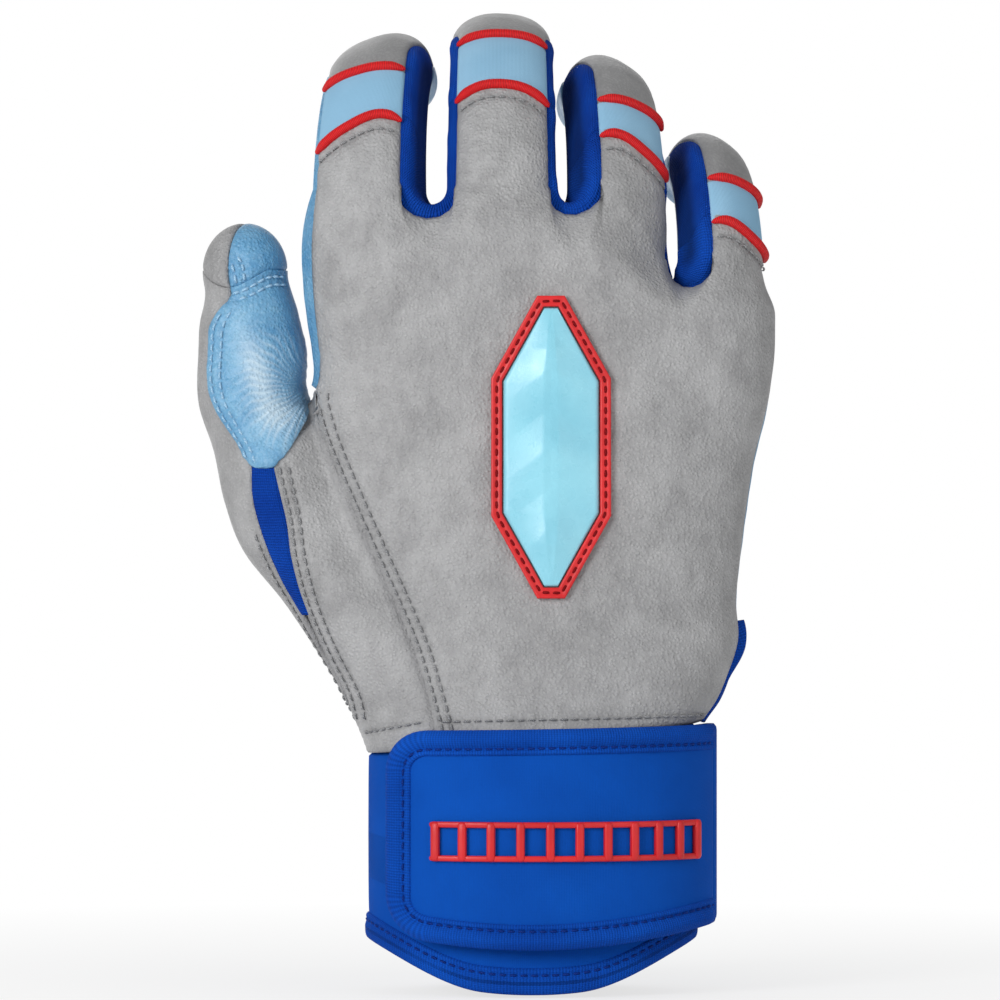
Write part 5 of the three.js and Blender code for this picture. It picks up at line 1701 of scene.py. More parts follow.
@dataclass
class MainPanel(Assembly):
    """Panel of the whole back or palm: rows over the hand, then a strip up each finger to its knuckle."""

    face: Face
    strip_columns: int = 30
    web_columns: int = 8
    thenar_columns: int = 24
    lower_rows: int = 78
    upper_rows: int = 44
    strip_rows: int = 34

    def top_row(self) -> tuple[Hit, Array, Array, Array]:
        """Points along the top of the hand: the starts of the finger strips and the webs between them.

        Returns:
            Points, finger number or -1 in a web, share across the finger, and arc length of the strip's start.
        """
        form, face = self.form, self.face
        side = self.shop.shares(self.strip_columns)
        hits, finger, sides, starts = [], [], [], []
        for k, f in enumerate(form.fingers):
            start = form.start_of(k, side)
            exact = form.face_point(k, face, start, side)
            if start[0] != start[-1]:
                line = mix(exact.point[0], exact.point[-1], side[:, None])
                rest = form.hand_point(face, line[:, 0], line[:, 2])
                exact.point[1:-1], exact.normal[1:-1] = rest.point[1:-1], rest.normal[1:-1]
            hits.append(exact)
            finger.append(np.full(len(side), k))
            sides.append(side)
            starts.append(start)
            if k < 3:
                count = self.shop.steps(self.web_columns)
                turn = np.linspace(0, math.pi, count + 1)[1:-1]
                level = form.fourchette_share + (2 * form.leather + form.seam_gap) / f.depth
                hits.append(form.web_point(k, turn, np.full(len(turn), face.value * level)))
                finger.append(np.full(len(turn), -1))
                sides.append(turn * 0)
                starts.append(turn * 0)
        return join_hits(hits), np.concatenate(finger), np.concatenate(sides), np.concatenate(starts)

    def left_edge(self, z: Array) -> Array:
        """Place at which the panel ends on the thumb's side.

        Args:
            z: heights.

        Returns:
            Places across.
        """
        form = self.form
        if self.face is Face.BACK:
            return form.back_radial(z)
        high = form.palm_spine(z)[0] - form.fan * math.radians(114)
        return np.where(z <= form.crotch, form.thenar_line(z), high)

    def across(self, z: Array, shares: Array) -> Array:
        """Place across at a share between the panel's two edges."""
        return mix(self.left_edge(z), self.form.ulnar_edge(self.face, z), shares)

    def column_shares(self, top: Hit, finger: Array) -> Array:
        """Share across the hand of each column: that of its point in the top row, made to rise steadily.

        Args:
            top: points of the top row.
            finger: finger number of each, -1 in a web.

        Returns:
            The shares.
        """
        z = top.point[:, 2]
        left, right = self.left_edge(z), self.form.ulnar_edge(self.face, z)
        shares = np.clip((self.form.place_of(self.face, top.point) - left) / (right - left), 0, 1)
        inner, count = finger >= 0, np.arange(len(shares))
        return np.interp(count, count[inner], np.maximum.accumulate(shares[inner] + 1e-5 * count[inner]))

    def lower(self, shares: Array, thenar: int) -> Hit:
        """Rows from the cuff to the crotch, with the columns below the thumb before the others.

        Args:
            shares: share across of each column.
            thenar: number of columns below the thumb.

        Returns:
            The grid of points.
        """
        form, face = self.form, self.face
        start = np.array(form.height(0))
        up = self.shop.shares(self.lower_rows)[:, None]
        highest = form.crotch - 0.5 * (face is Face.PALM)
        z = np.minimum(mix(form.cuff_edge(self.across(start, shares))[None], highest, up), highest)
        hit = form.hand_point(face, self.across(z, shares[None]), z)
        if thenar:
            part = np.linspace(0, 1, thenar + 1)[:-1]
            low = form.cuff_edge(mix(form.palm_radial(start), self.left_edge(start), part))
            z = np.minimum(mix(low[None], highest, up), highest)
            below = form.hand_point(face, mix(form.palm_radial(z), self.left_edge(z), part[None]), z)
            hit = join_hits([below, hit], axis=1)
        return mended(hit)

    def upper(self, shares: Array, top: Hit) -> Hit:
        """Rows from the crotch to the top row. The last quarter eases into it by a quadratic that keeps the slope.

        Args:
            shares: share across of each column.
            top: points of the top row.

        Returns:
            The grid of points, without the top row.
        """
        form, face = self.form, self.face
        rows = self.shop.steps(self.upper_rows)
        up = (np.arange(rows) / rows)[:, None]
        z = mix(form.crotch + 2.5 * (face is Face.PALM) + 1.2 * (face is Face.BACK), top.point[None, :, 2], up)
        hit = mended(form.hand_point(face, self.across(z, shares[None]), z))
        first = int(0.74 * rows)
        left = rows - first
        t = (np.arange(left) / left)[:, None, None]
        for grid, end in ((hit.point, top.point), (hit.normal, top.normal)):
            begin, tangent = grid[first].copy(), (grid[first] - grid[first - 1]) * left
            grid[first:] = begin + tangent * t + (end - begin - tangent) * t**2
        return Hit(hit.point, unit(hit.normal))

    def strips(self, top: Hit, finger: Array, sides: Array, starts: Array) -> Hit:
        """Rows of the four finger strips, from the top row to the knuckles' cuts. In the webs the top row repeats.

        Args:
            top: points of the top row.
            finger: finger number of each, -1 in a web.
            sides: share across the finger of each.
            starts: arc length of each.

        Returns:
            The grid of points.
        """
        form, face = self.form, self.face
        rows = self.shop.steps(self.strip_rows)
        up = np.linspace(0, 1, rows + 1)[:, None]
        hit = Hit(np.repeat(top.point[None], rows + 1, 0), np.repeat(top.normal[None], rows + 1, 0))
        for k in range(4):
            mine = finger == k
            end = form.cut_at(k, face, sides[mine]) - form.seam_gap / 2 * (face is Face.BACK)
            exact = form.face_point(k, face, mix(starts[mine][None], end[None], up), sides[mine][None])
            hit.point[:, mine], hit.normal[:, mine] = exact.point, exact.normal
            if starts[mine][0] != starts[mine][-1]:
                ease = smoothstep(0, 0.25, up)[..., None]
                moved = exact.point + (top.point[None, mine] - exact.point[:1])
                hit.point[:, mine] = exact.point * ease + (1 - ease) * moved
        return hit

    def grid(self) -> tuple[Hit, Array, int]:
        """The panel's points, which cells exist and the number of columns below the thumb.

        Returns:
            The grid of points, which cells exist, and the columns below the thumb.
        """
        thenar = 0 if self.face is Face.BACK else self.shop.steps(self.thenar_columns)
        top, finger, sides, starts = self.top_row()
        shares = self.column_shares(top, finger)
        lower, upper = self.lower(shares, thenar), self.upper(shares, top)
        high = join_hits([upper, self.strips(top, finger, sides, starts)])
        if thenar:
            pad = lambda v: np.concatenate([np.repeat(v[:, :1], thenar, 1), v], 1)
            high = Hit(pad(high.point), pad(high.normal))
        hit = mended(join_hits([lower, high]), 0, 6)
        lower_count, hand_rows = len(lower.point), len(lower.point) + len(upper.point)
        keep = np.ones((len(hit.point) - 1, hit.point.shape[1] - 1), bool)
        keep[lower_count - 1:, :thenar] = False
        web = (finger[:-1] < 0) | (finger[1:] < 0) | (finger[:-1] != finger[1:])
        keep[hand_rows:, thenar:][:, web] = False
        return hit, keep, thenar


def mended(hit: Hit, axis: int = 1, reach: int = 4) -> Hit:
    """Grid with stray points put back: a point further than a limit from the median of its neighbours along one axis
    takes that median, since a ray near a crease can run on through the next part.

    Args:
        hit: grid of points.
        axis: axis along which neighbours are looked at.
        reach: neighbours on each side.

    Returns:
        The mended grid.
    """
    points = np.moveaxis(hit.point, axis, 0)
    spread = np.pad(points, ((reach, reach), (0, 0), (0, 0)), mode="edge")
    median = np.median(np.stack([spread[i:i + len(points)] for i in range(2 * reach + 1)]), axis=0)
    median = np.moveaxis(median, 0, axis)
    stray = (np.linalg.norm(hit.point - median, axis=-1) > STRAY)[..., None]
    return Hit(np.where(stray, median, hit.point), hit.normal)


def free_edge(hit: Hit, keep: Array) -> Array:
    """Points on the free edges of a grid: corners of existing cells that not four existing cells share.

    Args:
        hit: grid of points.
        keep: which cells exist.

    Returns:
        The points, one to a row.
    """
    count = np.zeros(hit.point.shape[:2], int)
    for dj in (0, 1):
        for di in (0, 1):
            count[dj:count.shape[0] - 1 + dj, di:count.shape[1] - 1 + di] += keep
    return hit.point[(count > 0) & (count < 4)]


@dataclass
class BackOfHand(Assembly):
    """Grey back panel, the grey panel beside the thumb, the two blue gussets, and the sewing between them."""

    lap: float = 1.7
    seam_rows: tuple[float, float] = (1.5, 3.6)
    side_rows: tuple[float, float] = (1.4, 3.4)
    band_row: float = 4.4

    def seam_path(self, curve: Curve, offset: float, low: float, high: float) -> Hit:
        """Path on the back at an offset beside a seam between two heights.

        Args:
            curve: the seam.
            offset: distance beside it.
            low: lowest height.
            high: highest height.

        Returns:
            The points with their normals.
        """
        z = np.linspace(low, high, 160)
        return self.form.hand_point(Face.BACK, self.form.seam(curve, z) + offset, z)

    def strap_row(self, name: str, start: float, stop: float) -> Array:
        """Row of stitches just over the strap, between two places across the hand.

        Args:
            name: name of the stitch rows.
            start: first place across.
            stop: last place across.

        Returns:
            The stitch holes.
        """
        x = np.linspace(start, stop, 160)
        z = np.interp(x, (-39, -26, 3, 34), (56.2, 59.2, 59.8, 60.4))
        return self.sewing.row(name, self.form.hand_point(Face.BACK, x, z))

    def panel(self) -> None:
        """Back panel with stitch rows beside the thumb seam, over the strap and below each flex band."""
        form = self.form
        main = MainPanel(form, self.shop, self.sewing, Face.BACK)
        hit, keep, _ = main.grid()
        holes = [self.sewing.row("back_stitches", self.seam_path(form.THUMB_SEAM, offset, 57, form.crotch + 1))
                 for offset in self.seam_rows]
        holes.append(self.strap_row("back_stitches", -23.0, 34.0))
        for k in range(4):
            side = np.linspace(0.05, 0.93, 60)
            s = form.cut_at(k, Face.BACK, side) - self.band_row
            holes.append(self.sewing.row("back_stitches", form.face_point(k, Face.BACK, s, side)))
        height, shade = relief(hit, free_edge(hit, keep), holes)
        height += self.creases(hit)
        piece = Piece("back_leather", GREY_LEATHER, "back_panel")
        self.panel_of(piece, hit, height, form.leather, keep, False, seam=shade)

    def creases(self, hit: Hit) -> Array:
        """Soft creases: fan-shaped between the finger roots, sideways over the finger bases.

        Args:
            hit: points of the panel.

        Returns:
            Heights.
        """
        z = hit.point[..., 2]
        fingers = smoothstep(160, 172, z) * (1 - smoothstep(188, 196, z))
        roots = smoothstep(135, 152, z) * (1 - smoothstep(166, 176, z))
        wrist = 1 - smoothstep(60, 84, z)
        return (0.07 * fingers * wrinkles(hit.point, (0.25, 0, 1), 4.2, 3)
                + 0.09 * roots * wrinkles(hit.point, (1, 0, 0.25), 8.5, 5)
                + 0.10 * wrist * wrinkles(hit.point, (0.8, 0, -0.5), 9.5, 7)
                + 0.06 * wrinkles(hit.point, (0.7, 0.2, 0.7), 19, 9))

    def between(self, piece: Piece, left: Curve, right: Curve, low: Callable[[Array], Array],
                high: Callable[[Array], Array], rows: int, columns: int, thickness: float,
                holes: Sequence[Array], drop: float = 0.55, over: bool = False) -> None:
        """Panel between two seams on the back face, from a low height to a high one.

        A tongue goes on straight from the last row and sinks as it goes.

        Args:
            piece: the piece.
            left: seam on its left.
            right: seam on its right.
            low: low height by share across.
            high: high height by share across.
            rows: rows of the grid.
            columns: columns of the grid.
            thickness: thickness of the panel.
            holes: stitch holes in it.
            drop: how far its edge rolls down.
            over: whether a tongue runs on under the panel above.
        """
        form = self.form
        up = self.shop.shares(rows)[:, None]
        across, beyond = tucked(self.shop.steps(columns))
        z = mix(low(across), high(across), up)
        x = mix(form.seam(left, z) + form.seam_gap / 2, form.seam(right, z) - form.seam_gap / 2, across)
        hit = form.hand_point(Face.BACK, x + self.lap * beyond, z)
        height, shade = relief(hit, hit.border(LEFT_SEAM, RIGHT_SEAM, FOOT, HEAD), holes, drop)
        height = sink(height, beyond)
        if over:
            edge, along = hit.point[-1], unit(hit.point[-1] - hit.point[-4])
            for reach, depth in ((0.9, 0.7), (2.6, 1.0), (5.4, 1.6)):
                hit = join_hits([hit, Hit((edge + reach * along)[None], hit.normal[-1:])])
                height = np.concatenate([height, np.minimum(height[-1:], -depth)])
                shade = np.concatenate([shade, shade[-1:]])
        self.panel_of(piece, hit, height, thickness, seam=shade)

    def side(self) -> None:
        """Grey panel between the thumb and the back, and the blue lens beside it."""
        form = self.form
        foot, crotch = form.pad_foot, form.crotch
        start = np.array(form.height(0))
        low = lambda a: form.cuff_edge(mix(form.seam(form.WRIST_SEAM, start), form.seam(form.THUMB_SEAM, start), a))
        high = lambda a: mix(foot, crotch - 4.0, a)
        holes = [self.sewing.row("side_stitches", self.seam_path(form.WRIST_SEAM, offset, 59, foot - 1))
                 for offset in self.side_rows]
        holes.append(self.strap_row("side_stitches", -38.0, -26.5))
        self.between(Piece("side_leather", GREY_LEATHER, "thumb_side_panel"), form.WRIST_SEAM, form.THUMB_SEAM,
                     low, high, 120, 44, form.leather, holes, over=True)
        lens = form.height(0.24)
        self.between(Piece("thumb_lens", BLUE_KNIT, "thumb_gusset"), form.GUSSET_SEAM, form.WRIST_SEAM,
                     lambda a: lens + 0.5 + 0 * a, lambda a: foot + 0 * a, 80, 20, form.knit, [], 0.4)

    def vent(self) -> None:
        """Blue leaf at the little finger's side of the wrist, between the back and the palm."""
        form = self.form
        up = self.shop.shares(60)[:, None]
        across, beyond = tucked(self.shop.steps(30))
        z = mix(form.cuff_edge(np.array(form.cuff_centre + form.cuff_half_width)), form.height(0.235), up)
        right = form.palm_spine(z)[1]
        gap = form.seam_gap / form.fan
        start = (form.ulnar_edge(Face.BACK, z) - right) / form.fan + gap
        end = math.pi - (form.ulnar_edge(Face.PALM, z) - right) / form.fan - gap
        angle = mix(start, end, across) + beyond * 0.1
        hit = form.cast(stack(right, 0, z), stack(np.sin(angle), -np.cos(angle), 0), form.whole)
        height, shade = relief(hit, hit.border(LEFT_SEAM, RIGHT_SEAM), [], 0.3)
        lip = bell(distances(hit.point, hit.point[LEFT_SEAM]) - 1.3, 1.0)
        height = sink(height + 1.6 * lip * smoothstep(66, 76, hit.point[..., 2]), beyond)
        self.panel_of(Piece("wrist_leaf", BLUE_KNIT, "wrist_vent_gusset"), hit, height, form.knit, seam=shade)

    def build(self) -> None:
        """Builds every piece."""
        self.panel()
        self.side()
        self.vent()
        for name in ("back_stitches", "side_stitches"):
            self.sewing.mesh(Piece(name, GREY_THREAD))
        LOG.info("back of the hand built")


def knit_relief(hit: Hit, beyond: Array) -> tuple[Array, dict[str, Array]]:
    """Height of a knit strip: a rolled lip along the back's seam that waves a little, and a hollow behind it.

    The lip is a bell curve over the distance from the back's seam, its height a sine along the seam, and the wall sinks
    from there on, where painted shade also darkens its colour.

    Args:
        hit: grid of surface points, whose columns run from the back's seam to the palm's.
        beyond: how far each column lies beyond a seam.

    Returns:
        Heights, and the numbers for the finish: the seam's distance and the painted shade of the hollow.
    """
    seam = hit.point[LEFT_SEAM]
    off = distances(hit.point, seam)
    length = lengths(seam)[:, None]
    wave = 0.5 + 0.3 * np.sin(length / 1.9) * np.sin(length / 5.3 + 1) + 0.25 * np.sin(length / 3.7 + 2)
    lip = bell(off - 1.5, 1.1)
    hollow = smoothstep(2.2, 6.5, off)
    height = -0.3 * (1 - smoothstep(0, 0.9, off)) + 0.75 * wave * lip - 0.9 * hollow
    height = height + 0.9 * hollow * (1 - smoothstep(0, 4, distances(hit.point, hit.point[RIGHT_SEAM])))
    # the hollow sinks the wall and, as painted shade, darkens its colour
    return sink(height, beyond), {"seam": off, "hollow": 0.75 * hollow}


@dataclass
class PalmSide(Assembly):
    """Light-blue palm panel and the knit strips between the fingers."""

    knit_lap: float = 3.2

    def panel(self) -> None:
        """Palm panel with a few deep lines where the hand closes."""
        form = self.form
        hit, keep, thenar = MainPanel(form, self.shop, self.sewing, Face.PALM).grid()
        edge = free_edge(hit, keep)
        ends = np.concatenate([form.face_point(k, Face.PALM, form.cut_at(k, Face.PALM, s), s).point
                               for k, s in ((k, np.linspace(0.02, 0.98, 20)) for k in range(4))])
        edge = edge[distances(edge, ends) > 1.0]
        height, shade = relief(hit, edge, [])
        z = hit.point[..., 2]
        palm = smoothstep(70, 90, z) * (1 - smoothstep(165, 178, z))
        height += 0.16 * wrinkles(hit.point, (0.35, 0, 1), 17, 21) * palm
        self.tuck(hit, height, keep, thenar)
        piece = Piece("palm_leather", SKY_LEATHER, "palm_panel")
        self.panel_of(piece, hit, height, form.leather, keep, False, seam=shade)

    @staticmethod
    def tuck(hit: Hit, height: Array, keep: Array, thenar: int) -> None:
        """Runs the panel on under the back leather beside the index finger, in the columns that are free there.

        The new columns go on straight from the panel's edge and sink as they go.

        Args:
            hit: the panel's points, changed in place.
            height: their heights, changed in place.
            keep: which cells exist, changed in place.
            thenar: number of columns below the thumb.
        """
        free = ~keep[:, thenar - 1]
        rows = np.flatnonzero(free)[1:]
        edge, inside = hit.point[rows, thenar], hit.point[rows, thenar + 1]
        along = unit(edge - inside)
        for number, (reach, depth) in enumerate(((0.7, 0.9), (1.9, 1.5), (3.4, 1.9)), 1):
            hit.point[rows, thenar - number] = edge + reach * along
            hit.normal[rows, thenar - number] = hit.normal[rows, thenar]
            height[rows, thenar - number] = -depth
            keep[rows[:-1], thenar - number] = True

    def wall(self, across: Array, depth: float) -> Array:
        """Height share of a place across a knit strip, from the back seam to the palm seam."""
        return mix(1, -1, across) * (self.form.fourchette_share - self.form.seam_gap / depth)

    def fourchette(self, web: int) -> None:
        """Knit strip down a finger's side, under the web and up the next finger's side.

        Args:
            web: web, from 0 beside the index.
        """
        form, f = self.form, self.form.fingers[web]
        across, beyond = tucked(self.shop.steps(28))
        level = self.wall(across, f.depth) - beyond * self.knit_lap / f.depth
        legs = []
        for k, side in ((web, 1), (web + 1, -1)):
            start = np.full(level.shape, form.web_length(k, side))
            end = form.cut_length(k, start, lambda s: form.side_point(k, s, side, level).point)
            up = self.shop.shares(36)[1:, None]
            legs.append(form.side_point(k, mix(start, end, up), side, level + 0 * up))
        turn = np.linspace(0, math.pi, self.shop.steps(26) + 1)[:, None]
        under = form.web_point(web, turn + 0 * level, level + 0 * turn)
        hit = join_hits([legs[0].at(slice(None, None, -1)), under, legs[1]])
        height, values = knit_relief(hit, beyond)
        pair = f"{f.name}_{form.fingers[web + 1].name}"
        self.panel_of(Piece(f"knit_{pair}", BLUE_KNIT, f"fourchette_{pair}"), hit, height, form.knit, **values)

    def build(self) -> None:
        """Builds every piece."""
        self.panel()
        for web in range(3):
            self.fourchette(web)
        LOG.info("palm side built")


@dataclass
class Fingertip(Assembly):
    """Tip of one finger: flex band, pipings, cap, palm side and the ends of the knit strips."""

    k: int
    piping: float = 2.2
    bend_below: float = 6.6
    bend_share: float = 0.9
    knit_lap: float = 3.0

    def __post_init__(self) -> None:
        """Works out where the tip bends: from the cut to the end of the flex band."""
        self.finger = self.form.fingers[self.k]
        self.body = f"{self.finger.name}_tip"
        pivot = self.form.pivot(self.k)
        along = self.form.spine(self.k, self.finger.pivot_length)[1]
        reach = max(self.finger.band_end - self.finger.pivot_length, 0.4) * self.bend_share
        self.bend = tuple(self.shop.place(pivot + d * along) for d in (-self.bend_below, reach))

    def dome(self, sweep: Array, side: Array) -> Hit:
        """Points on the rounded end, swept round the finger's width axis over the tip.

        Args:
            sweep: angles over the tip, from the back.
            side: shares across.

        Returns:
            The points with their normals.
        """
        form, f = self.form, self.finger
        centre, along, dorsal, across = form.spine(self.k, f.length)
        angle = form.face_angle(self.k, Face.BACK, f.length, side)
        angle, sweep = spread(angle, sweep)
        direction = (share(np.sin(angle), across) + share(np.cos(angle) * np.cos(sweep), dorsal)
                     + share(np.cos(angle) * np.sin(sweep), along))
        return form.cast(centre, direction, form.own(self.k))

    def face(self, face: Face, start: Array, side: Array) -> Hit:
        """One face of the tip from its start to the seam over the rounded end.

        Args:
            face: face of the finger.
            start: arc lengths at which it starts.
            side: shares across.

        Returns:
            The points with their normals.
        """
        form, f = self.form, self.finger
        up = self.shop.shares(60)[:, None]
        body = form.face_point(self.k, face, mix(start[None], f.length, up), side[None])
        last = math.pi / 2 - form.seam_gap / f.tip / 2
        up = self.shop.shares(24)[1:, None]
        sweep = up * last if face is Face.BACK else math.pi - up * last
        return join_hits([body, self.dome(sweep, side[None])])

    def piece(self, name: str, node: str, finish: Finish, soft: bool = True) -> Piece:
        """One of the tip's pieces, which bends over the knuckle or, if it isn't soft, rides on the tip."""
        finger = self.finger.name
        return Piece(f"{finger}_{name}", finish, f"{finger}_{node}", self.body, self.bend if soft else ())

    def panel(self, piece: Piece, hit: Hit, thickness: float, edge: Array, drop: float = 0.5,
              extra: float = 0.0) -> None:
        """Shell over a grid with rolled edges.

        Args:
            piece: the piece.
            hit: grid of surface points.
            thickness: thickness of the panel.
            edge: points along its sewn edges.
            drop: how far its edge rolls down.
            extra: height of soft creases.
        """
        height, shade = relief(hit, edge, [], drop)
        if extra:
            height = height + extra * wrinkles(hit.point, (0.2, 0.6, 1), 4.6, 31 + self.k)
        self.panel_of(piece, hit, height, thickness, seam=shade)

    def cord(self, piece: Piece, length_at: Callable[[Array], Array]) -> None:
        """Corded piping over a seam across the back of the finger, round in section, with raised cross ribs.

        Args:
            piece: the piece.
            length_at: arc length of its seam by share across.
        """
        form, radius = self.form, self.piping / 2
        side = np.linspace(0.012, 0.988, 90)
        path = form.face_point(self.k, Face.BACK, length_at(side), side)
        points, ups, length = resample(path.point, path.normal, self.shop.steps(240))
        along = unit(np.gradient(points, axis=0))
        aside = np.cross(along, ups)
        angles = around(self.shop.steps(24), TURN)
        at = np.linspace(0, length, len(points))
        ends = smoothstep(-0.4, 3.4, np.minimum(at, length - at)) * 0.55 + 0.45
        ends = ends * np.clip(np.minimum(at, length - at) / 0.5, 0.05, 1) ** 0.5
        rib = 1 + 0.012 * np.sin(2 * math.pi * at / 0.72)
        centre = points + ups * (radius * 0.3)
        ring = np.cos(angles)[None, :, None] * ups[:, None] + np.sin(angles)[None, :, None] * aside[:, None]
        grid = centre[:, None] + (radius * ends * rib)[:, None, None] * ring
        uv = stack(at[:, None], angles[None] * radius)
        self.shop.mesh(piece, grid, self.shop.tube(*grid.shape[:2]), uv)

    def walls(self) -> None:
        """Ends of the knit strips, on the sides that face another finger."""
        form, k, f = self.form, self.k, self.finger
        for s in (-1, 1):
            if form.is_outer(k, s):
                continue
            across, beyond = tucked(self.shop.steps(28))
            up = self.shop.shares(70)[:, None]
            level = lambda at: (mix(1, -1, across) * (form.seam_share(k, s, 1, at) - form.seam_gap / f.depth)
                                - beyond * self.knit_lap / f.depth)
            start = np.full(across.shape, form.web_length(k, s))
            start = form.cut_length(k, start, lambda at: form.side_point(k, at, s, level(at)).point)
            at = mix(start, f.length - form.seam_gap, up)
            wall = form.side_point(k, at, s, level(at))
            height, values = knit_relief(wall, beyond)
            height = mix(height, sink(0 * height - 0.3, beyond), smoothstep(0.62 * f.length, 0.95 * f.length, at))
            name, node = ("thumb_side", "radial") if s < 0 else ("outer_side", "ulnar")
            piece = self.piece(f"knit_{name}", f"fourchette_{node}", BLUE_KNIT)
            self.panel_of(piece, wall, height, form.knit, **values)

    def build(self) -> None:
        """Builds every piece of the fingertip."""
        form, k, f = self.form, self.k, self.finger
        side = self.shop.shares(48)
        cut = form.cut_at(k, Face.BACK, side)
        up = self.shop.shares(34)[:, None]
        band = form.face_point(k, Face.BACK, mix(cut[None] - 1.3, f.band_end + 0.6, up), side[None])
        piece = self.piece("stretch_band", "flex_band", SKY_KNIT)
        self.panel(piece, band, form.knit, band.border(LEFT, RIGHT), 0.3)
        cut_table = lambda s: np.interp(s, side, cut)
        piece = Piece(f"{f.name}_low_cord", RED_SATIN, f"{f.name}_lower_piping")
        self.cord(piece, lambda s: cut_table(s) - 0.75 - self.piping / 2)
        piece = self.piece("high_cord", "upper_piping", RED_SATIN, False)
        self.cord(piece, lambda s: f.band_end + self.piping / 2 + 0 * s)
        cap = self.face(Face.BACK, np.full(len(side), f.band_end + 0.6), side)
        piece = self.piece("tip_leather", "cap", CAP_LEATHER, False)
        self.panel(piece, cap, form.leather, cap.border(LEFT, RIGHT, HEAD), 0.5, 0.05)
        cut = form.cut_at(k, Face.PALM, side)
        palm = self.face(Face.PALM, cut, side)
        piece = self.piece("tip_palm", "palm_tip", SKY_LEATHER)
        self.panel(piece, palm, form.leather, palm.border(LEFT, RIGHT, HEAD), 0.55)
        self.walls()
        LOG.info("%s fingertip built", f.name)


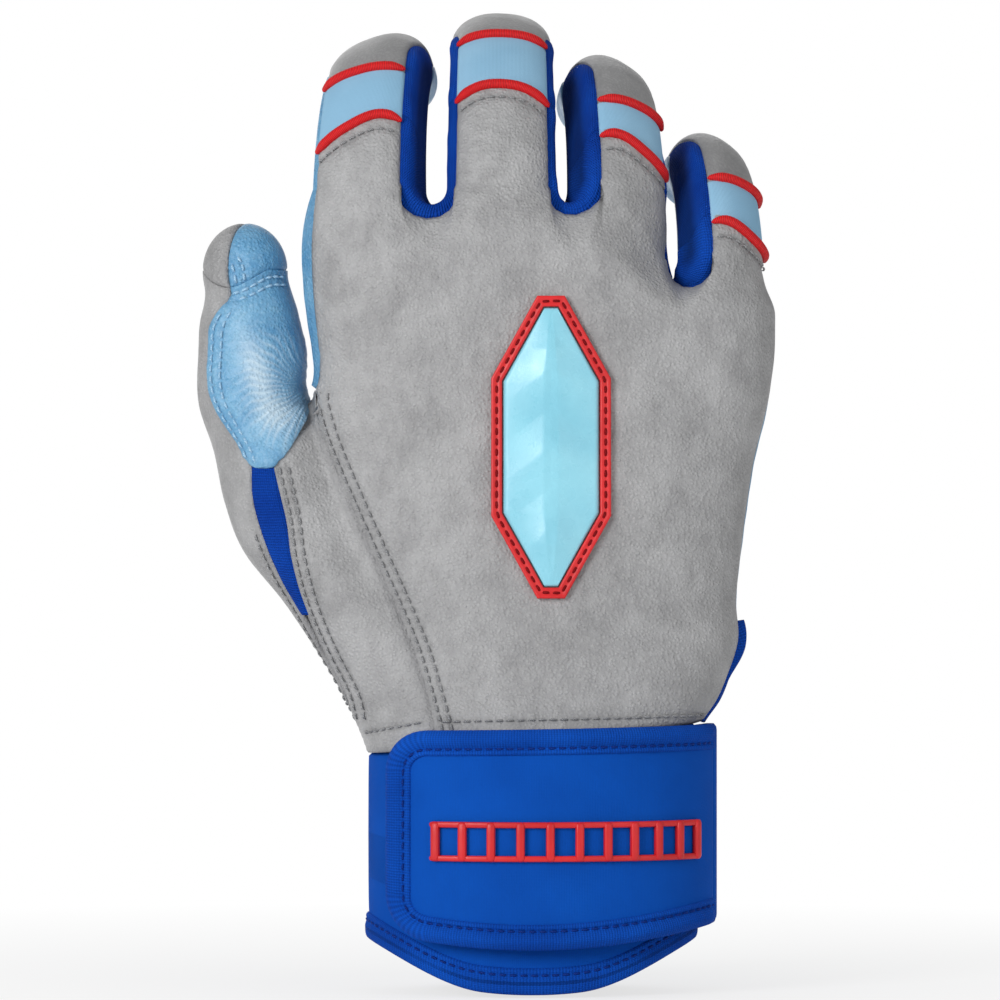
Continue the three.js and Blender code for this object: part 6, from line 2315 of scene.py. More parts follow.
@dataclass
class Thumb(Assembly):
    """Grey outer panel, light-blue pad and the two halves of the tip."""

    bend_below: float = 5.0
    bend_above: float = 8.0
    pad_leather: float = 1.5
    front_rows: tuple[tuple[float, float], ...] = ((1.7, 0.72), (4.0, 0.5))
    top_rows: tuple[float, float] = (1.5, 3.3)
    tip_rows: tuple[float, float] = (1.6, 3.6)

    FOLD = (-52.0, 133.0)

    def __post_init__(self) -> None:
        """Works out where the thumb bends."""
        ends = (-self.bend_below, self.bend_above)
        self.bend = tuple(self.shop.place(self.form.thumb_pivot + d * Z_AXIS) for d in ends)
        self.seam = math.radians(self.form.thumb_seam)
        self.rear = self.seam - math.pi

    def gap(self, z: Array) -> Array:
        """Half a seam's gap as an angle round the thumb."""
        return self.form.seam_gap / self.form.thumb_at(z)[3] / 2

    def piece(self, name: str, node: str, finish: Finish, soft: bool = True) -> Piece:
        """One of the thumb's pieces, which bends over the knuckle or, if it isn't soft, rides on the tip."""
        return Piece(name, finish, node, "thumb_tip", self.bend if soft else ())

    def shell(self, piece: Piece, hit: Hit, thickness: float, edge: Array, holes: Sequence[Array],
              crease: Optional[Array] = None, worn: Optional[Array] = None) -> None:
        """Panel of the thumb with rolled edges and stitch dimples.

        Args:
            piece: the piece.
            hit: grid of surface points.
            thickness: thickness of the panel.
            edge: points along its sewn edges.
            holes: rows of stitch holes.
            crease: height of its creases.
            worn: how far a painted highlight pales it.
        """
        height, shade = relief(hit, edge, holes, 0.5)
        height = height if crease is None else height + crease
        self.panel_of(piece, hit, height, thickness, seam=shade, worn=0 * shade if worn is None else worn)

    def outer(self) -> None:
        """Grey panel from the wrist over the outer side of the thumb."""
        form = self.form
        start = form.cuff_edge(form.seam(form.WRIST_SEAM, np.array(form.height(0))))
        up = self.shop.shares(150)[:, None]
        across = self.shop.shares(80)
        end = form.thumb_cut(mix(self.seam, self.rear + 2 * math.pi, across))
        z = mix(start, end[None], up)
        line = np.linspace(z.min(), z.max(), 160)
        front = np.interp(z, line, form.front_seam(line))
        rear = np.interp(z, line, form.rear_seam(line))
        gap = self.gap(z)
        hit = form.thumb_point(z, mix(front + gap, rear + 2 * math.pi - gap, across[None]))
        edge = hit.border(LEFT, RIGHT, FOOT)
        line = np.linspace(58.5, 100, 120)
        holes = [self.sewing.row("thumb_grey_stitches", form.thumb_point(line, form.front_seam(line) + 0.12))]
        self.shell(self.piece("thumb_outer_leather", "thumb_back", GREY_LEATHER), hit, form.leather, edge, holes,
                   0.07 * wrinkles(hit.point, (0.3, 0, 1), 11, 41))

    def pad_right(self, z: Array) -> Array:
        """Angle of the pad's inner edge: over the side panel's slanting top up to the crotch, then the rear seam.

        Below the crotch the edge lies a lap beyond the side panel's edge, and the lap grows towards the crotch.

        Args:
            z: heights.

        Returns:
            Angles round the thumb.
        """
        form, foot = self.form, self.form.pad_foot
        low = np.clip(z, foot, form.crotch - 3.4)
        rise = (low - foot) / (form.crotch - foot)
        x = mix(form.seam(form.WRIST_SEAM, low), form.seam(form.THUMB_SEAM, low) - 2 * form.seam_gap, rise)
        lap = 2.0 + 2.4 * smoothstep(form.crotch - 7, form.crotch, z)
        below = form.thumb_angle(low, form.hand_point(Face.BACK, x, low).point) - lap / form.thumb_at(low)[3]
        above = form.rear_seam(np.maximum(z, form.crotch)) + 0 * z
        return mix(below, above, smoothstep(form.crotch - 3.2, form.crotch + 0.6, z))

    def pad(self) -> None:
        """Light pad on the inner side of the thumb, with a double row of stitches beside its front seam."""
        form = self.form
        across = self.shop.shares(150)
        foot = form.pad_foot - 1.6 + 2.4 * np.abs(2 * across - 1) ** 3
        up = self.shop.shares(150)[:, None]
        z = mix(foot[None], form.thumb_cut(mix(self.seam, self.rear, across))[None], up)
        line = np.linspace(z.min(), z.max(), 240)
        front = np.interp(z, line, form.front_seam(line) + 0.11 * (1 - smoothstep(148, 153, line)))
        right = np.interp(z, line, self.pad_right(line))
        hit, joined = (form.thumb_point(z, mix(front, right, across[None]), alone=alone) for alone in (True, False))
        apart = np.linalg.norm(joined.point - hit.point, axis=-1)
        part = ((1 - smoothstep(2.5, 5.0, apart)) * (1 - smoothstep(-7, -0.5, z - form.crotch)))[..., None]
        hit = Hit(mix(hit.point, joined.point, part), unit(mix(hit.normal, joined.normal, part)))
        edge = hit.border(LEFT, RIGHT, FOOT)
        holes = []
        for reach, lift in self.front_rows:
            line = np.linspace(0.02, 0.85, 160)
            column = self.inset(hit, reach, line)
            holes.append(self.sewing.row("thumb_sky_stitches", column, lift))
        for reach in self.top_rows:
            holes.append(self.sewing.row("thumb_sky_stitches", self.top_row(hit, reach)))
        z = hit.point[..., 2]
        low = 1 - smoothstep(138, 152, z)
        crease = (0.12 * low * wrinkles(hit.point, (0.75, 0, 1), 3.4, 51)
                  + 0.05 * wrinkles(hit.point, (1, 0, 0.6), 7, 52) + self.rays(hit.point))
        inner = hit.point[:, -1]
        lapped = distances(hit.point, np.concatenate([hit.point[:, 0], hit.point[0], inner[inner[:, 2] < form.crotch]]))
        crease += (0.8 - 0.5 * smoothstep(1.5, 6, lapped)) * (1 - smoothstep(149, 154, z))
        # the pad's colour gets its painted highlight here
        self.shell(self.piece("thumb_pad_leather", "thumb_pad", SKY_LEATHER), hit, self.pad_leather, edge, holes,
                   crease, self.worn(hit.point))

    @staticmethod
    def round_fold(point: Array) -> tuple[Array, Array, Array, Array]:
        """Places across and up from the fold at the crotch, and the angle and the distance round it."""
        x, z = point[..., 0] - Thumb.FOLD[0], point[..., 2] - Thumb.FOLD[1]
        return x, z, np.arctan2(z, -x), np.hypot(x, z)

    @staticmethod
    def rays(point: Array) -> Array:
        """Fine creases that fan out from the crotch over the pad: a sine of the angle round the crotch, which fades
        near the thumb's outer side and towards its tip.

        Args:
            point: points of the pad.

        Returns:
            Heights.
        """
        x, _, angle, far = Thumb.round_fold(point)
        wave = np.sin(angle * 34 + 1.5 * np.sin(far / 2.1)) + 0.5 * np.sin(angle * 57 + 2 * np.sin(far / 3.3) + 1)
        return 0.07 * wave * smoothstep(1.5, 4.5, far) * (1 - smoothstep(9, 17, far)) * (x < 0)

    @staticmethod
    def worn(point: Array) -> Array:
        """Painted highlight on the pad: a long soft patch beside its outer seam, and thin pale lines from the crotch.

        Args:
            point: points of the pad.

        Returns:
            Shares of the painted highlight's pale colour.
        """
        x, z, angle, far = Thumb.round_fold(point)
        patch = np.exp(-(((x + 10.8 + 0.3 * z) / 2.9) ** 2) - ((z - 1.5) / 9) ** 2)
        low = np.exp(-(((x + 6.5) / 4.5) ** 2) - ((z + 7.0) / 3.6) ** 2)
        wave = 0.5 + 0.5 * np.sin(angle * 46 + 2.2 * np.sin(far / 2.4) + 1.3 * np.sin(x * 1.1))
        lines = wave**3 * smoothstep(2, 4.5, far) * (1 - smoothstep(11, 19, far)) * (1 - smoothstep(8, 15, z))
        return np.clip(0.62 * patch + 0.5 * low + 0.34 * lines * (x < 2), 0, 0.8)

    @staticmethod
    def inset(hit: Hit, reach: float, line: Array) -> Hit:
        """Path at a distance inside the first column of a grid, from its foot to its top.

        Args:
            hit: grid of points.
            reach: distance from the first column.
            line: shares of the way up.

        Returns:
            The points with their normals.
        """
        along = lengths(hit.point, 1)
        rows = np.unique(np.interp(line, np.linspace(0, 1, len(along)), np.arange(len(along))).astype(int))
        column = np.argmax(along[rows] > reach, axis=1)
        before, after = along[rows, column - 1], along[rows, column]
        t = ((reach - before) / (after - before))[:, None]
        return Hit(mix(hit.point[rows, column - 1], hit.point[rows, column], t), hit.normal[rows, column])

    @staticmethod
    def top_row(hit: Hit, reach: float) -> Hit:
        """Path at a distance below the last row of a grid, over its front half.

        Args:
            hit: grid of points.
            reach: distance from the last row.

        Returns:
            The points with their normals.
        """
        columns = np.arange(2, hit.point.shape[1] // 2)
        off = np.linalg.norm(hit.point[:, columns] - hit.point[-1, columns], axis=-1)
        row = off.shape[0] - 1 - np.argmax((off > reach)[::-1], axis=0)
        here, above = off[row, columns - 2], off[row + 1, columns - 2]
        t = ((here - reach) / (here - above))[:, None]
        return Hit(mix(hit.point[row, columns], hit.point[row + 1, columns], t), hit.normal[row, columns])

    def tip(self, piece: Piece, start: float, stop: float) -> None:
        """Half of the thumb's tip, from the knuckle's seam to the seam over the top.

        Args:
            piece: the piece.
            start: angle of its first seam.
            stop: angle of its last seam.
        """
        form = self.form
        middle, gap = (start + stop) / 2, form.seam_gap / form.thumb_dome / 2
        across = self.shop.shares(60)
        angle = mix(start + gap, stop - gap, across)
        dome = form.thumb_top - form.thumb_dome
        up = self.shop.shares(24)[:, None]
        body = form.thumb_point(mix(form.thumb_cut(angle)[None], dome, up), angle[None])
        x, _, y, _ = form.thumb_at(np.array(dome))
        facing = np.array([-math.sin(middle), -math.cos(middle), 0])
        aside = np.array([-math.cos(middle), math.sin(middle), 0])
        lift = self.shop.shares(30)[1:, None] * (math.pi / 2 - gap)
        turn = (angle - middle)[None]
        direction = (share(np.sin(turn) + 0 * lift, aside) + share(np.cos(turn) * np.cos(lift), facing)
                     + share(np.cos(turn) * np.sin(lift), Z_AXIS))
        cap = form.cast(np.array([float(x), float(y), dome]), direction, form.thumb_field)
        hit = join_hits([body, cap])
        edge = hit.border(LEFT, RIGHT, HEAD, FOOT)
        holes = []
        if piece.finish is SKY_LEATHER:
            mirrored = Hit(hit.point[:, ::-1], hit.normal[:, ::-1])
            for reach in self.tip_rows:
                path = self.inset(mirrored, reach, np.linspace(0.04, 0.8, 120))
                holes.append(self.sewing.row("tip_sky_stitches", path))
        self.shell(piece, hit, form.leather, edge, holes)

    def build(self) -> None:
        """Builds every piece of the thumb."""
        self.outer()
        self.pad()
        grey = self.piece("thumb_tip_leather", "thumb_tip_back", GREY_LEATHER, False)
        self.tip(grey, self.seam, self.seam + math.pi)
        self.tip(self.piece("thumb_tip_sky", "thumb_tip_pad", SKY_LEATHER, False), self.rear, self.seam)
        for name, thread, soft in (("thumb_grey_stitches", GREY_THREAD, True), ("thumb_sky_stitches", SKY_THREAD, True),
                                   ("tip_sky_stitches", SKY_THREAD, False)):
            self.sewing.mesh(self.piece(name, "", thread, soft))
        LOG.info("thumb built")


@dataclass
class Cuff(Assembly):
    """Neoprene cuff band with its bound rim, and the strap with its binding, anchor and tapes."""

    half_depth: float = 24.6
    girth: float = 190.0
    rim_rise: float = 11.0
    binding: float = 5.6
    bulge: float = 0.8
    neoprene: float = 3.0
    tape: float = 0.9
    roll: float = 1.6
    strap_thickness: float = 2.2
    strap_bottom: float = 10.0
    strap_rise: float = 5.0
    strap_top: float = 57.8
    strap_tilt: float = 1.2
    strap_binding: float = 5.6
    binding_thickness: float = 3.2
    hinge_turn: float = 12.0
    free_turn: float = 142.0
    corner: float = 9.0
    lift: float = 2.85
    stitch_share: float = 0.72
    stitch_reach: float = 4.1

    def point(self, turn: Array, out: Array, z: Array) -> Array:
        """Point at a distance outside the oval of the cuff, at a turn in degrees and a height.

        Args:
            turn: turns in degrees.
            out: distances outside the oval.
            z: heights.

        Returns:
            The points.
        """
        angle = np.radians(turn)
        a, b = self.form.cuff_half_width, self.half_depth
        normal = unit(stack(np.cos(angle) / a, -np.sin(angle) / b, 0))
        return stack(self.form.cuff_centre + a * np.cos(angle), -b * np.sin(angle), z) + share(out + 0 * angle, normal)

    def rim(self, turn: Array) -> Array:
        """Height of the lower rim: level in front and behind, raised at the sides."""
        across = np.abs(np.cos(np.radians(turn)))
        return self.rim_rise * mix(smoothstep(0.3, 1, across), across**2.2, 0.7)

    def top_edge(self, turn: Array) -> Array:
        """Height of the band's top edge, which leans a little."""
        return self.form.cuff_top + self.form.cuff_tilt * np.cos(np.radians(turn))

    def strap_low(self, turn: Array) -> Array:
        """Height of the strap's lower edge."""
        return self.strap_bottom + self.strap_rise * np.cos(np.radians(turn)) ** 2

    def strap_high(self, turn: Array) -> Array:
        """Height of the strap's upper edge."""
        return self.strap_top + self.strap_tilt * np.cos(np.radians(turn)) / 2

    def degrees(self, length: Array) -> Array:
        """Turn in degrees that a length takes round the cuff."""
        return 2 * length / (self.form.cuff_half_width + self.half_depth) * 180 / math.pi

    def ring(self, piece: Piece, profile: Callable[[Array, Array], Array], steps: int) -> None:
        """Closed ring: a profile carried round the wrist.

        Args:
            piece: the piece.
            profile: point by turn and by share round the profile.
            steps: points round the profile.
        """
        turn = around(self.shop.steps(300), 360)[:, None]
        part = around(self.shop.steps(steps))[None]
        points = profile(turn, part)
        self.shop.torus(piece, points, stack(turn / 360 * self.girth, lengths(points[0])[None]))

    def band(self) -> None:
        """Neoprene band: its wall stands between the rim's binding and the leather, with rounded edges."""
        def profile(turn: Array, part: Array) -> Array:
            """Rounded upright slab, up outside, over the top and down inside.

            Args:
                turn: turns in degrees.
                part: shares round the profile.

            Returns:
                The points.
            """
            angle = 2 * math.pi * part
            c, s = np.cos(angle), np.sin(angle)
            out = squarish(c, 0.18) * self.neoprene / 2 - self.neoprene / 2
            up = squarish(s, 0.28) / 2 + 0.5
            low = self.rim(turn) + self.binding - 1.6
            high = self.top_edge(turn) + self.form.cuff_lip * 0.6 + 2.2
            z = mix(low, high, up)
            fold = 0.16 * np.sin(turn / 7.0) * np.sin(math.pi * up)
            return self.point(turn, out + fold - 1.2 * smoothstep(high - 2.8, high - 1.6, z), z)
        self.ring(Piece("cuff_neoprene", BLUE_NEOPRENE, "cuff_band"), profile, 72)

    def rim_binding(self) -> None:
        """Knit binding folded over the lower rim: a fat rounded bead with a stitch row in a groove."""
        width = self.binding
        def profile(turn: Array, part: Array) -> Array:
            """Rounded box round the rim, slightly puffed, that narrows at its sewn upper edge.

            Args:
                turn: turns in degrees.
                part: shares round the profile.

            Returns:
                The points.
            """
            angle = 2 * math.pi * part
            c, s = np.cos(angle), np.sin(angle)
            half = self.neoprene / 2 + self.bulge
            out = squarish(c, 0.45) * half - self.neoprene / 2
            up = squarish(s, 0.55) / 2 + 0.5
            groove = 0.45 * bell((up - self.stitch_share) * width, 0.6) * (c > 0)
            pucker = 0.10 * np.sin(2 * math.pi * turn / 4.2) * bell((up - self.stitch_share) * width, 1.2) * (c > 0)
            return self.point(turn, out - groove + pucker, self.rim(turn) + up * (width + 0.4))
        self.ring(Piece("cuff_rim_binding", BINDING_KNIT, "cuff_binding"), profile, 64)
        turn = np.linspace(0, 360, 500)
        z = self.rim(turn) + self.stitch_share * (width + 0.4)
        path = self.point(turn, np.array(self.bulge - 0.42), z)
        normal = unit(self.point(turn, np.array(10.0), z) - path)
        self.sewing.row("cuff_stitches", Hit(path, normal))

    def patch(self, piece: Piece, start: float, stop: float, low: Callable[[Array], Array],
              high: Callable[[Array], Array], lift: Callable[[Array], Array], thickness: float, rows: int,
              columns: int, corner: float = 0.0, drop: float = 0.5) -> None:
        """Patch over the cuff between two turns and two heights, whose far end may have rounded corners.

        Args:
            piece: the piece.
            start: first turn.
            stop: last turn.
            low: lower edge by turn.
            high: upper edge by turn.
            lift: height of its inner face over the cuff by turn.
            thickness: its thickness.
            rows: rows of the grid.
            columns: columns of the grid.
            corner: radius of the far corners.
            drop: how far its edge rolls down.
        """
        part = self.shop.shares(columns)[None]
        turn = mix(start, stop, part)
        near = np.clip(1 - np.abs(turn - stop) / self.degrees(max(corner, 0.5)), 0, 1)
        inset = corner * (1 - np.sqrt(1 - near**2))
        up = self.shop.shares(rows)[:, None]
        z = mix(low(turn) + inset, high(turn) - inset, up)
        turn = turn + 0 * z
        outer = self.point(turn, lift(turn) + thickness, z)
        edge = np.concatenate([outer[0], outer[-1], outer[:, 0], outer[:, -1]])
        off = distances(outer, edge)
        outer = self.point(turn, lift(turn) + thickness + rolled(off, self.roll, drop), z)
        inner = self.point(turn, lift(turn) + 0 * z, z)
        self.shop.shell(piece, outer, inner, uv=cloth_map(outer), values={"seam": off})

    def strap(self) -> None:
        """Strap panel, inside its binding."""
        inset = self.strap_binding - 0.9
        self.patch(Piece("strap_neoprene", BLUE_NEOPRENE, "strap_panel", "strap"), self.hinge_turn,
                   self.free_turn - self.degrees(inset), lambda t: self.strap_low(t) + inset,
                   lambda t: self.strap_high(t) - inset, lambda t: self.lift + 0 * t, self.strap_thickness, 70, 130,
                   self.corner - self.strap_binding + 0.6, 0.1)

    def strap_edge(self) -> None:
        """The strap's binding: one folded band that follows three edges, with its stitch row in a groove."""
        corner_turn = self.free_turn - self.degrees(self.corner)
        straight = np.linspace(self.hinge_turn + self.degrees(0.5), corner_turn, self.shop.steps(160) + 1)
        bend = np.linspace(0, math.pi / 2, self.shop.steps(30) + 1)[1:]
        side = np.linspace(0, 1, self.shop.steps(60) + 2)[1:-1]
        turn = np.concatenate([straight, np.full(len(bend) * 2 + len(side), corner_turn), straight[::-1]])
        edge = np.concatenate([straight * 0, bend * 0, side, bend * 0 + 1, straight * 0 + 1])
        angle = np.concatenate([straight * 0, bend, side * 0 + math.pi / 2, bend[::-1], straight * 0])
        part = around(self.shop.steps(56))
        c, s = np.cos(2 * math.pi * part), np.sin(2 * math.pi * part)
        width, thick = self.strap_binding, self.binding_thickness
        reach = (squarish(c, 0.6) / 2 + 0.5) * width
        out = (squarish(s, 0.5) / 2 + 0.5) * thick
        top = s > 0
        roll = 0.75 * bell(reach - 1.9, 1.25) - 0.75 * bell(reach - self.stitch_reach, 0.5)
        ease = smoothstep(0.5, 4.5, (turn - self.hinge_turn) / self.degrees(1))[:, None]
        out = out[None] - 0.25 * (1 - ease) * top[None] + roll[None] * top[None] * ease
        line = (turn[:, None], edge[:, None], angle[:, None])
        points = self.edge_point(*line, reach[None], out)
        length = lengths(points[:, 0])
        pucker = 0.1 * np.sin(2 * math.pi * length / 2.3)[:, None] * bell(reach - self.stitch_reach, 1.1)[None] * top
        points = self.edge_point(*line, reach[None], out + pucker)
        uv = stack(length[:, None], lengths(points[0])[None])
        piece = Piece("strap_edge_binding", BINDING_KNIT, "strap_binding", "strap")
        self.shop.mesh(piece, points, self.shop.tube(*points.shape[:2]), uv)
        row, above = (self.edge_point(*line, np.array([[self.stitch_reach]]), np.array([[thick + rise]]))[:, 0]
                      for rise in (-0.6, 5.0))
        self.sewing.row("strap_stitches", Hit(row, unit(above - row)))

    def edge_point(self, turn: Array, edge: Array, angle: Array, reach: Array, out: Array) -> Array:
        """Point of the strap's edge band.

        Args:
            turn: turn of the straight edge or of the corner's centre.
            edge: 0 on the lower edge, 1 on the upper one.
            angle: turn round the corner.
            reach: distance in from the strap's edge.
            out: distance out from the strap's inner face.

        Returns:
            The points.
        """
        radius = self.corner - reach
        at = turn + self.degrees(radius * np.sin(angle))
        drop = (1 - 2 * edge) * radius * np.cos(angle)
        z = mix(self.strap_low(at) + self.corner, self.strap_high(at) - self.corner, edge) - drop
        at, z, out = spread(at, z, out)
        return self.point(at, self.lift + out, z)

    def tapes(self) -> None:
        """Hook tape under the strap, loop tape on the cuff and the strap's fixed end."""
        low = lambda t: self.strap_low(t) + 9
        high = lambda t: self.top_edge(t) - 9
        self.patch(Piece("strap_hooks", HOOK_TAPE, "hook_patch", "strap"), 84, 128, low, high,
                   lambda t: 1.6 + 0 * t, self.tape, 12, 40, drop=0.1)
        self.patch(Piece("cuff_loops", HOOK_TAPE, "loop_patch"), 52, 132, low, high,
                   lambda t: 0.35 + 0 * t, self.tape, 12, 60, drop=0.1)
        start = self.hinge_turn - self.degrees(0.5)
        stop = start - 74
        self.patch(Piece("strap_fixed_end", BLUE_NEOPRENE, "strap_anchor"), start, stop,
                   lambda t: np.maximum(self.strap_low(t), self.rim(t) + self.binding / 2),
                   lambda t: mix(self.strap_high(t), self.top_edge(t) - 0.5, smoothstep(start, stop, t)),
                   lambda t: mix(self.lift, self.bulge + 0.35, smoothstep(start, stop, t)), self.strap_thickness, 60,
                   80, drop=0.7)

    def build(self) -> None:
        """Builds every piece of the cuff and the strap."""
        self.band()
        self.rim_binding()
        self.strap()
        self.strap_edge()
        self.tapes()
        self.sewing.mesh(Piece("cuff_stitches", BLUE_THREAD))
        self.sewing.mesh(Piece("strap_stitches", BLUE_THREAD, body="strap"))
        LOG.info("cuff and strap built")


@dataclass
class Studio:
    """Pale floor, soft lamps and the camera at the photograph's place."""

    shop: Workshop
    distance: float = 1.6
    width: float = 0.22
    light: float = 0.4

    def floor(self) -> None:
        """Wide flat floor that looks white, with the glove's soft shadow: near the glove its own shading shows."""
        steps = np.linspace(-3.0, 3.0, 9)
        points = (stack(steps[:, None], steps[None], -0.0006) - self.shop.shift) / MM
        index = np.arange(points.shape[0] * points.shape[1]).reshape(points.shape[:2])
        quads = np.stack([index[:-1, :-1], index[1:, :-1], index[1:, 1:], index[:-1, 1:]], -1)
        white = Finish("studio white", "", (0.9, 0.9, 0.9, 1), (1, 1, 1, 1))
        made = self.shop.mesh(Piece("studio_floor", white, body=""), points, quads, closed=False)
        tree = Tree("studio floor")
        made.data.materials[0] = tree.shade({"Base Color": (0.9, 0.9, 0.9, 1), "Roughness": 0.9})
        far = tree.add("VectorMath", operation="LENGTH")
        tree.feed(far, {0: tree.object_place()})
        path = tree.add("LightPath")
        seen = tree.math("MAXIMUM", path.outputs["Is Camera Ray"], path.outputs["Is Glossy Ray"])
        part = tree.times(seen, tree.ramp(far.outputs["Value"], 0.05, 0.34, 0.72, 1.0))
        both, glow = tree.add("MixShader"), tree.add("Emission")
        tree.feed(both, {0: part, 1: tree.shader.outputs[0], 2: glow.outputs[0]})
        tree.feed(tree.nodes["Material Output"], {0: both.outputs[0]})
        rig.stage(made)

    def world(self) -> None:
        """White world for the camera and for reflections, at a plain level for light."""
        world = bpy.data.worlds.new("studio")
        world.use_nodes = True
        nodes, links = world.node_tree.nodes, world.node_tree.links
        nodes["Background"].inputs[0].default_value = (1, 1, 1, 1)
        nodes["Background"].inputs[1].default_value = self.light
        white, both, path = (nodes.new(f"ShaderNode{kind}") for kind in ("Background", "MixShader", "LightPath"))
        white.inputs[0].default_value = (1, 1, 1, 1)
        links.new(path.outputs["Is Camera Ray"], both.inputs[0])
        links.new(nodes["Background"].outputs[0], both.inputs[1])
        links.new(white.outputs[0], both.inputs[2])
        links.new(both.outputs[0], nodes["World Output"].inputs[0])
        bpy.context.scene.world = world

    def lamp(self, name: str, place: tuple[float, float, float], size: float, power: float) -> None:
        """Soft square lamp that faces the glove.

        Args:
            name: name of the lamp.
            place: where it hangs, in metres.
            size: side of the square.
            power: its power.
        """
        data = bpy.data.lights.new(name, "AREA")
        data.size, data.energy = size, power
        obj = bpy.data.objects.new(name, data)
        obj.location = place
        aim = np.array([0, 0, 0.12]) - np.array(place)
        obj.rotation_euler = Vector(aim).to_track_quat("-Z", "Y").to_euler()
        bpy.context.scene.collection.objects.link(obj)

    def build(self) -> None:
        """Sets the world, the lamps, the backdrop and the camera."""
        scene = bpy.context.scene
        scene.view_settings.view_transform = "Standard"
        self.world()
        self.floor()
        self.lamp("key", (-0.66, -0.88, 0.42), 0.42, 7.4)
        self.lamp("fill", (0.8, -0.9, 0.3), 0.9, 2.8)
        self.lamp("back", (-0.2, 1.1, 0.4), 0.9, 2.4)
        data = bpy.data.cameras.new("camera")
        data.lens = 36 * self.distance / self.width
        camera = bpy.data.objects.new("camera", data)
        across, up = ((PHOTO_MIDDLE - FORM_ZERO[0]) * PIXEL * MM, (FORM_ZERO[1] - PHOTO_MIDDLE) * PIXEL * MM)
        camera.location = (across + self.shop.shift[0], self.shop.shift[1] - self.distance, up)
        camera.rotation_euler = (math.pi / 2, 0, 0)
        scene.collection.objects.link(camera)
        scene.camera = camera
        LOG.info("studio built")


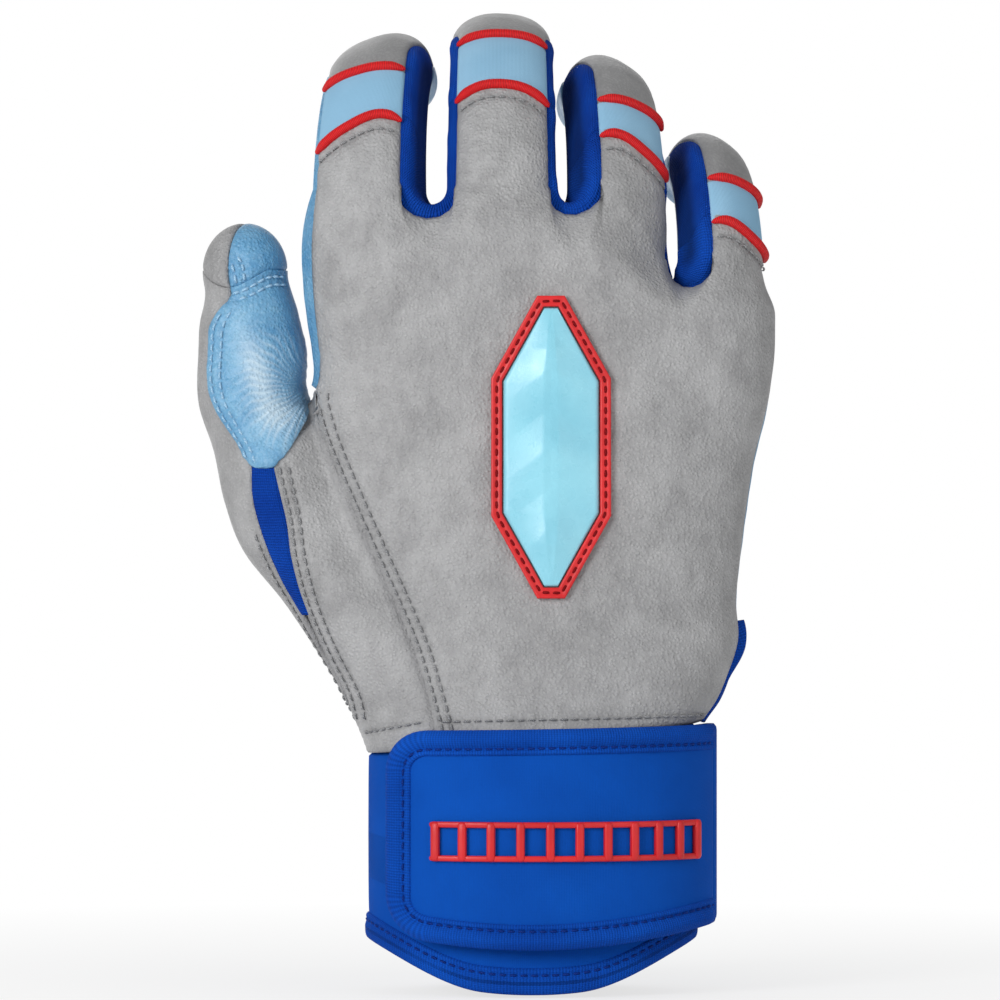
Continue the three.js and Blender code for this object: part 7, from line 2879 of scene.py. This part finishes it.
@dataclass
class Moulded(Assembly):
    """Eight-sided insert with its sewn border on the back, and the ribs on the strap."""

    cuff: Cuff
    height: float = 66.0
    width: float = 26.0
    end: float = 6.0
    shoulder: float = 18.0
    border: float = 2.4
    thickness: float = 1.0
    lift: float = 0.35
    crown: float = 2.0
    ribs: int = 11
    rib_width: float = 2.2
    rib_pitch: float = 4.9
    rib_height: float = 8.6
    rail: float = 1.3
    middle: float = 33.5
    turn: float = 75.0

    def half_width(self, z: Array, inset: float) -> Array:
        """Half the patch's width at a height over its middle, inside its edge by an inset.

        Args:
            z: heights over the middle.
            inset: distance inside the edge.

        Returns:
            Half widths.
        """
        slope = (self.width - self.end) / 2 / self.shoulder
        end = self.end / 2 - inset * (math.hypot(1, slope) - slope)
        return np.minimum(self.width / 2 - inset, end + (self.height / 2 - inset - np.abs(z)) * slope)

    def at(self, x: Array, z: Array) -> Hit:
        """Point of the back at a place in the patch."""
        form = self.form
        return form.hand_point(Face.BACK, form.breadth * 0.01 + x, form.height(0.555) + z)

    def outline(self, inset: float, count: int) -> Array:
        """Closed outline of the patch inside its edge by an inset, the same number of points on each side.

        Args:
            inset: distance inside the edge.
            count: points on each side.

        Returns:
            Places across and heights over the middle.
        """
        slope = (self.width - self.end) / 2 / self.shoulder
        top = self.height / 2 - inset
        half, wide = self.half_width(np.array(top), inset), self.width / 2 - inset
        low = top - (wide - half) / slope
        corners = np.array([[half, top], [wide, low], [wide, -low], [half, -top], [-half, -top], [-wide, -low],
                            [-wide, low], [-half, top]])
        part = around(count)[None, :, None]
        return mix(corners[:, None], np.roll(corners, -1, 0)[:, None], part).reshape(-1, 2)

    def frame(self) -> None:
        """Border: a padded ring with a stitch row along its middle."""
        count = self.shop.steps(36)
        outer, inner = self.outline(0, count), self.outline(self.border, count)
        angle = around(self.shop.steps(36), TURN)[None]
        c, s = np.cos(angle), np.sin(angle)
        part = 0.5 + 0.5 * squarish(c, 0.55)
        place = mix(outer[:, None], inner[:, None], part[..., None])
        hit = self.at(place[..., 0], place[..., 1])
        groove = 0.3 * bell(part - 0.5, 0.17) * (s > 0)
        height = self.lift + self.thickness * (0.62 + 0.62 * squarish(s, 0.55)) - groove
        points = hit.lifted(height)
        length = lengths(points[:, 0])[:, None]
        self.shop.torus(Piece("patch_frame", RED_RUBBER, "patch_border"), points, stack(length, part))
        middle = self.outline(self.border / 2, 40)
        middle = np.concatenate([middle, middle[:1]])
        self.sewing.row("frame_stitches", self.at(middle[:, 0], middle[:, 1]), self.lift + self.thickness * 1.1)
        self.sewing.mesh(Piece("frame_stitches", RED_THREAD))

    def insert(self) -> None:
        """Insert: a low roof along its middle, cut into facets that lie a little higher and lower in turn."""
        inset = self.border + 0.25
        half = self.height / 2 - inset
        row = np.linspace(-1, 1, self.shop.steps(150) + 1)[:, None]
        side = np.linspace(-1, 1, self.shop.steps(60) + 1)[None]
        x = side * self.half_width(row * half, inset)
        hit = self.at(x, row * half + 0 * side)
        roof = np.minimum(1 - np.abs(side), 0.85) * np.minimum(1, (1 - np.abs(row)) / 0.3)
        cut = np.abs((row * 3.5 + side * np.sign(side) * 0.9) % 2 - 1)
        height = self.lift + self.thickness + self.crown * roof * (0.86 + 0.28 * cut)
        edge = np.maximum(np.abs(side), np.abs(row) ** 6)
        height = height - 0.4 * smoothstep(0.94, 1, edge)
        self.shop.shell(Piece("patch_panel", SKY_RUBBER, "patch_insert"), hit.lifted(height),
                        hit.lifted(0.3 + 0 * height))

    def ladder(self) -> None:
        """Ribs: upright bars between two slim rails, all with rounded edges."""
        cuff = self.cuff
        base = cuff.lift + cuff.strap_thickness - 0.05
        bars = []
        def path(turn: Array, z: Array) -> tuple[Array, Array]:
            """Points on the strap, and the outward directions there.

            Args:
                turn: turns in degrees.
                z: heights.

            Returns:
                Points and directions.
            """
            turn, z = spread(turn, z)
            points = cuff.point(turn, base + 0 * z, z)
            return points, unit(cuff.point(turn, base + 5 + 0 * z, z) - points)
        steps = np.array([0, 0.03, 0.09, 0.3, 0.5, 0.7, 0.91, 0.97, 1])
        half = self.rib_height / 2
        for i in range(self.ribs):
            turn = self.turn - cuff.degrees((i - (self.ribs - 1) / 2) * self.rib_pitch)
            bars.append((*path(turn, self.middle + mix(-half, half, steps)), self.rib_width * 0.86, 1.6))
        reach = cuff.degrees((self.ribs - 1) / 2 * self.rib_pitch + self.rib_width / 2)
        long = np.concatenate([[0, 0.004, 0.012], np.linspace(0.02, 0.98, 60), [0.988, 0.996, 1]])
        for side in (-1, 1):
            z = self.middle + side * (half - self.rail / 2)
            bars.append((*path(mix(self.turn + reach, self.turn - reach, long), z), self.rail, 1.25))
        self.shop.bars(Piece("strap_ladder", RED_RUBBER, "strap_ribs", "strap"), bars)

    def build(self) -> None:
        """Builds every piece."""
        self.frame()
        self.insert()
        self.ladder()
        LOG.info("moulded pieces built")


def main() -> None:
    """Builds the glove's sub-assemblies in order and writes the sizes before and after."""
    logging.basicConfig(level=logging.INFO)
    form = HandForm()
    shop = Workshop(form)
    sewing = Sewing(shop)
    BackOfHand(form, shop, sewing).build()
    PalmSide(form, shop, sewing).build()
    for k in range(4):
        Fingertip(form, shop, sewing, k).build()
    Thumb(form, shop, sewing).build()
    cuff = Cuff(form, shop, sewing)
    cuff.build()
    Moulded(form, shop, sewing, cuff).build()
    Studio(shop).build()
    plain = lambda bounds: [[round(float(v), 5) for v in corner] for corner in bounds]
    with open("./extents.json", "w") as out:
        out.write(f'{{"frame": {plain(first_bounds)}, "dressed": {plain(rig.bounds())}}}\n')


if __name__ == "__main__":
    main()
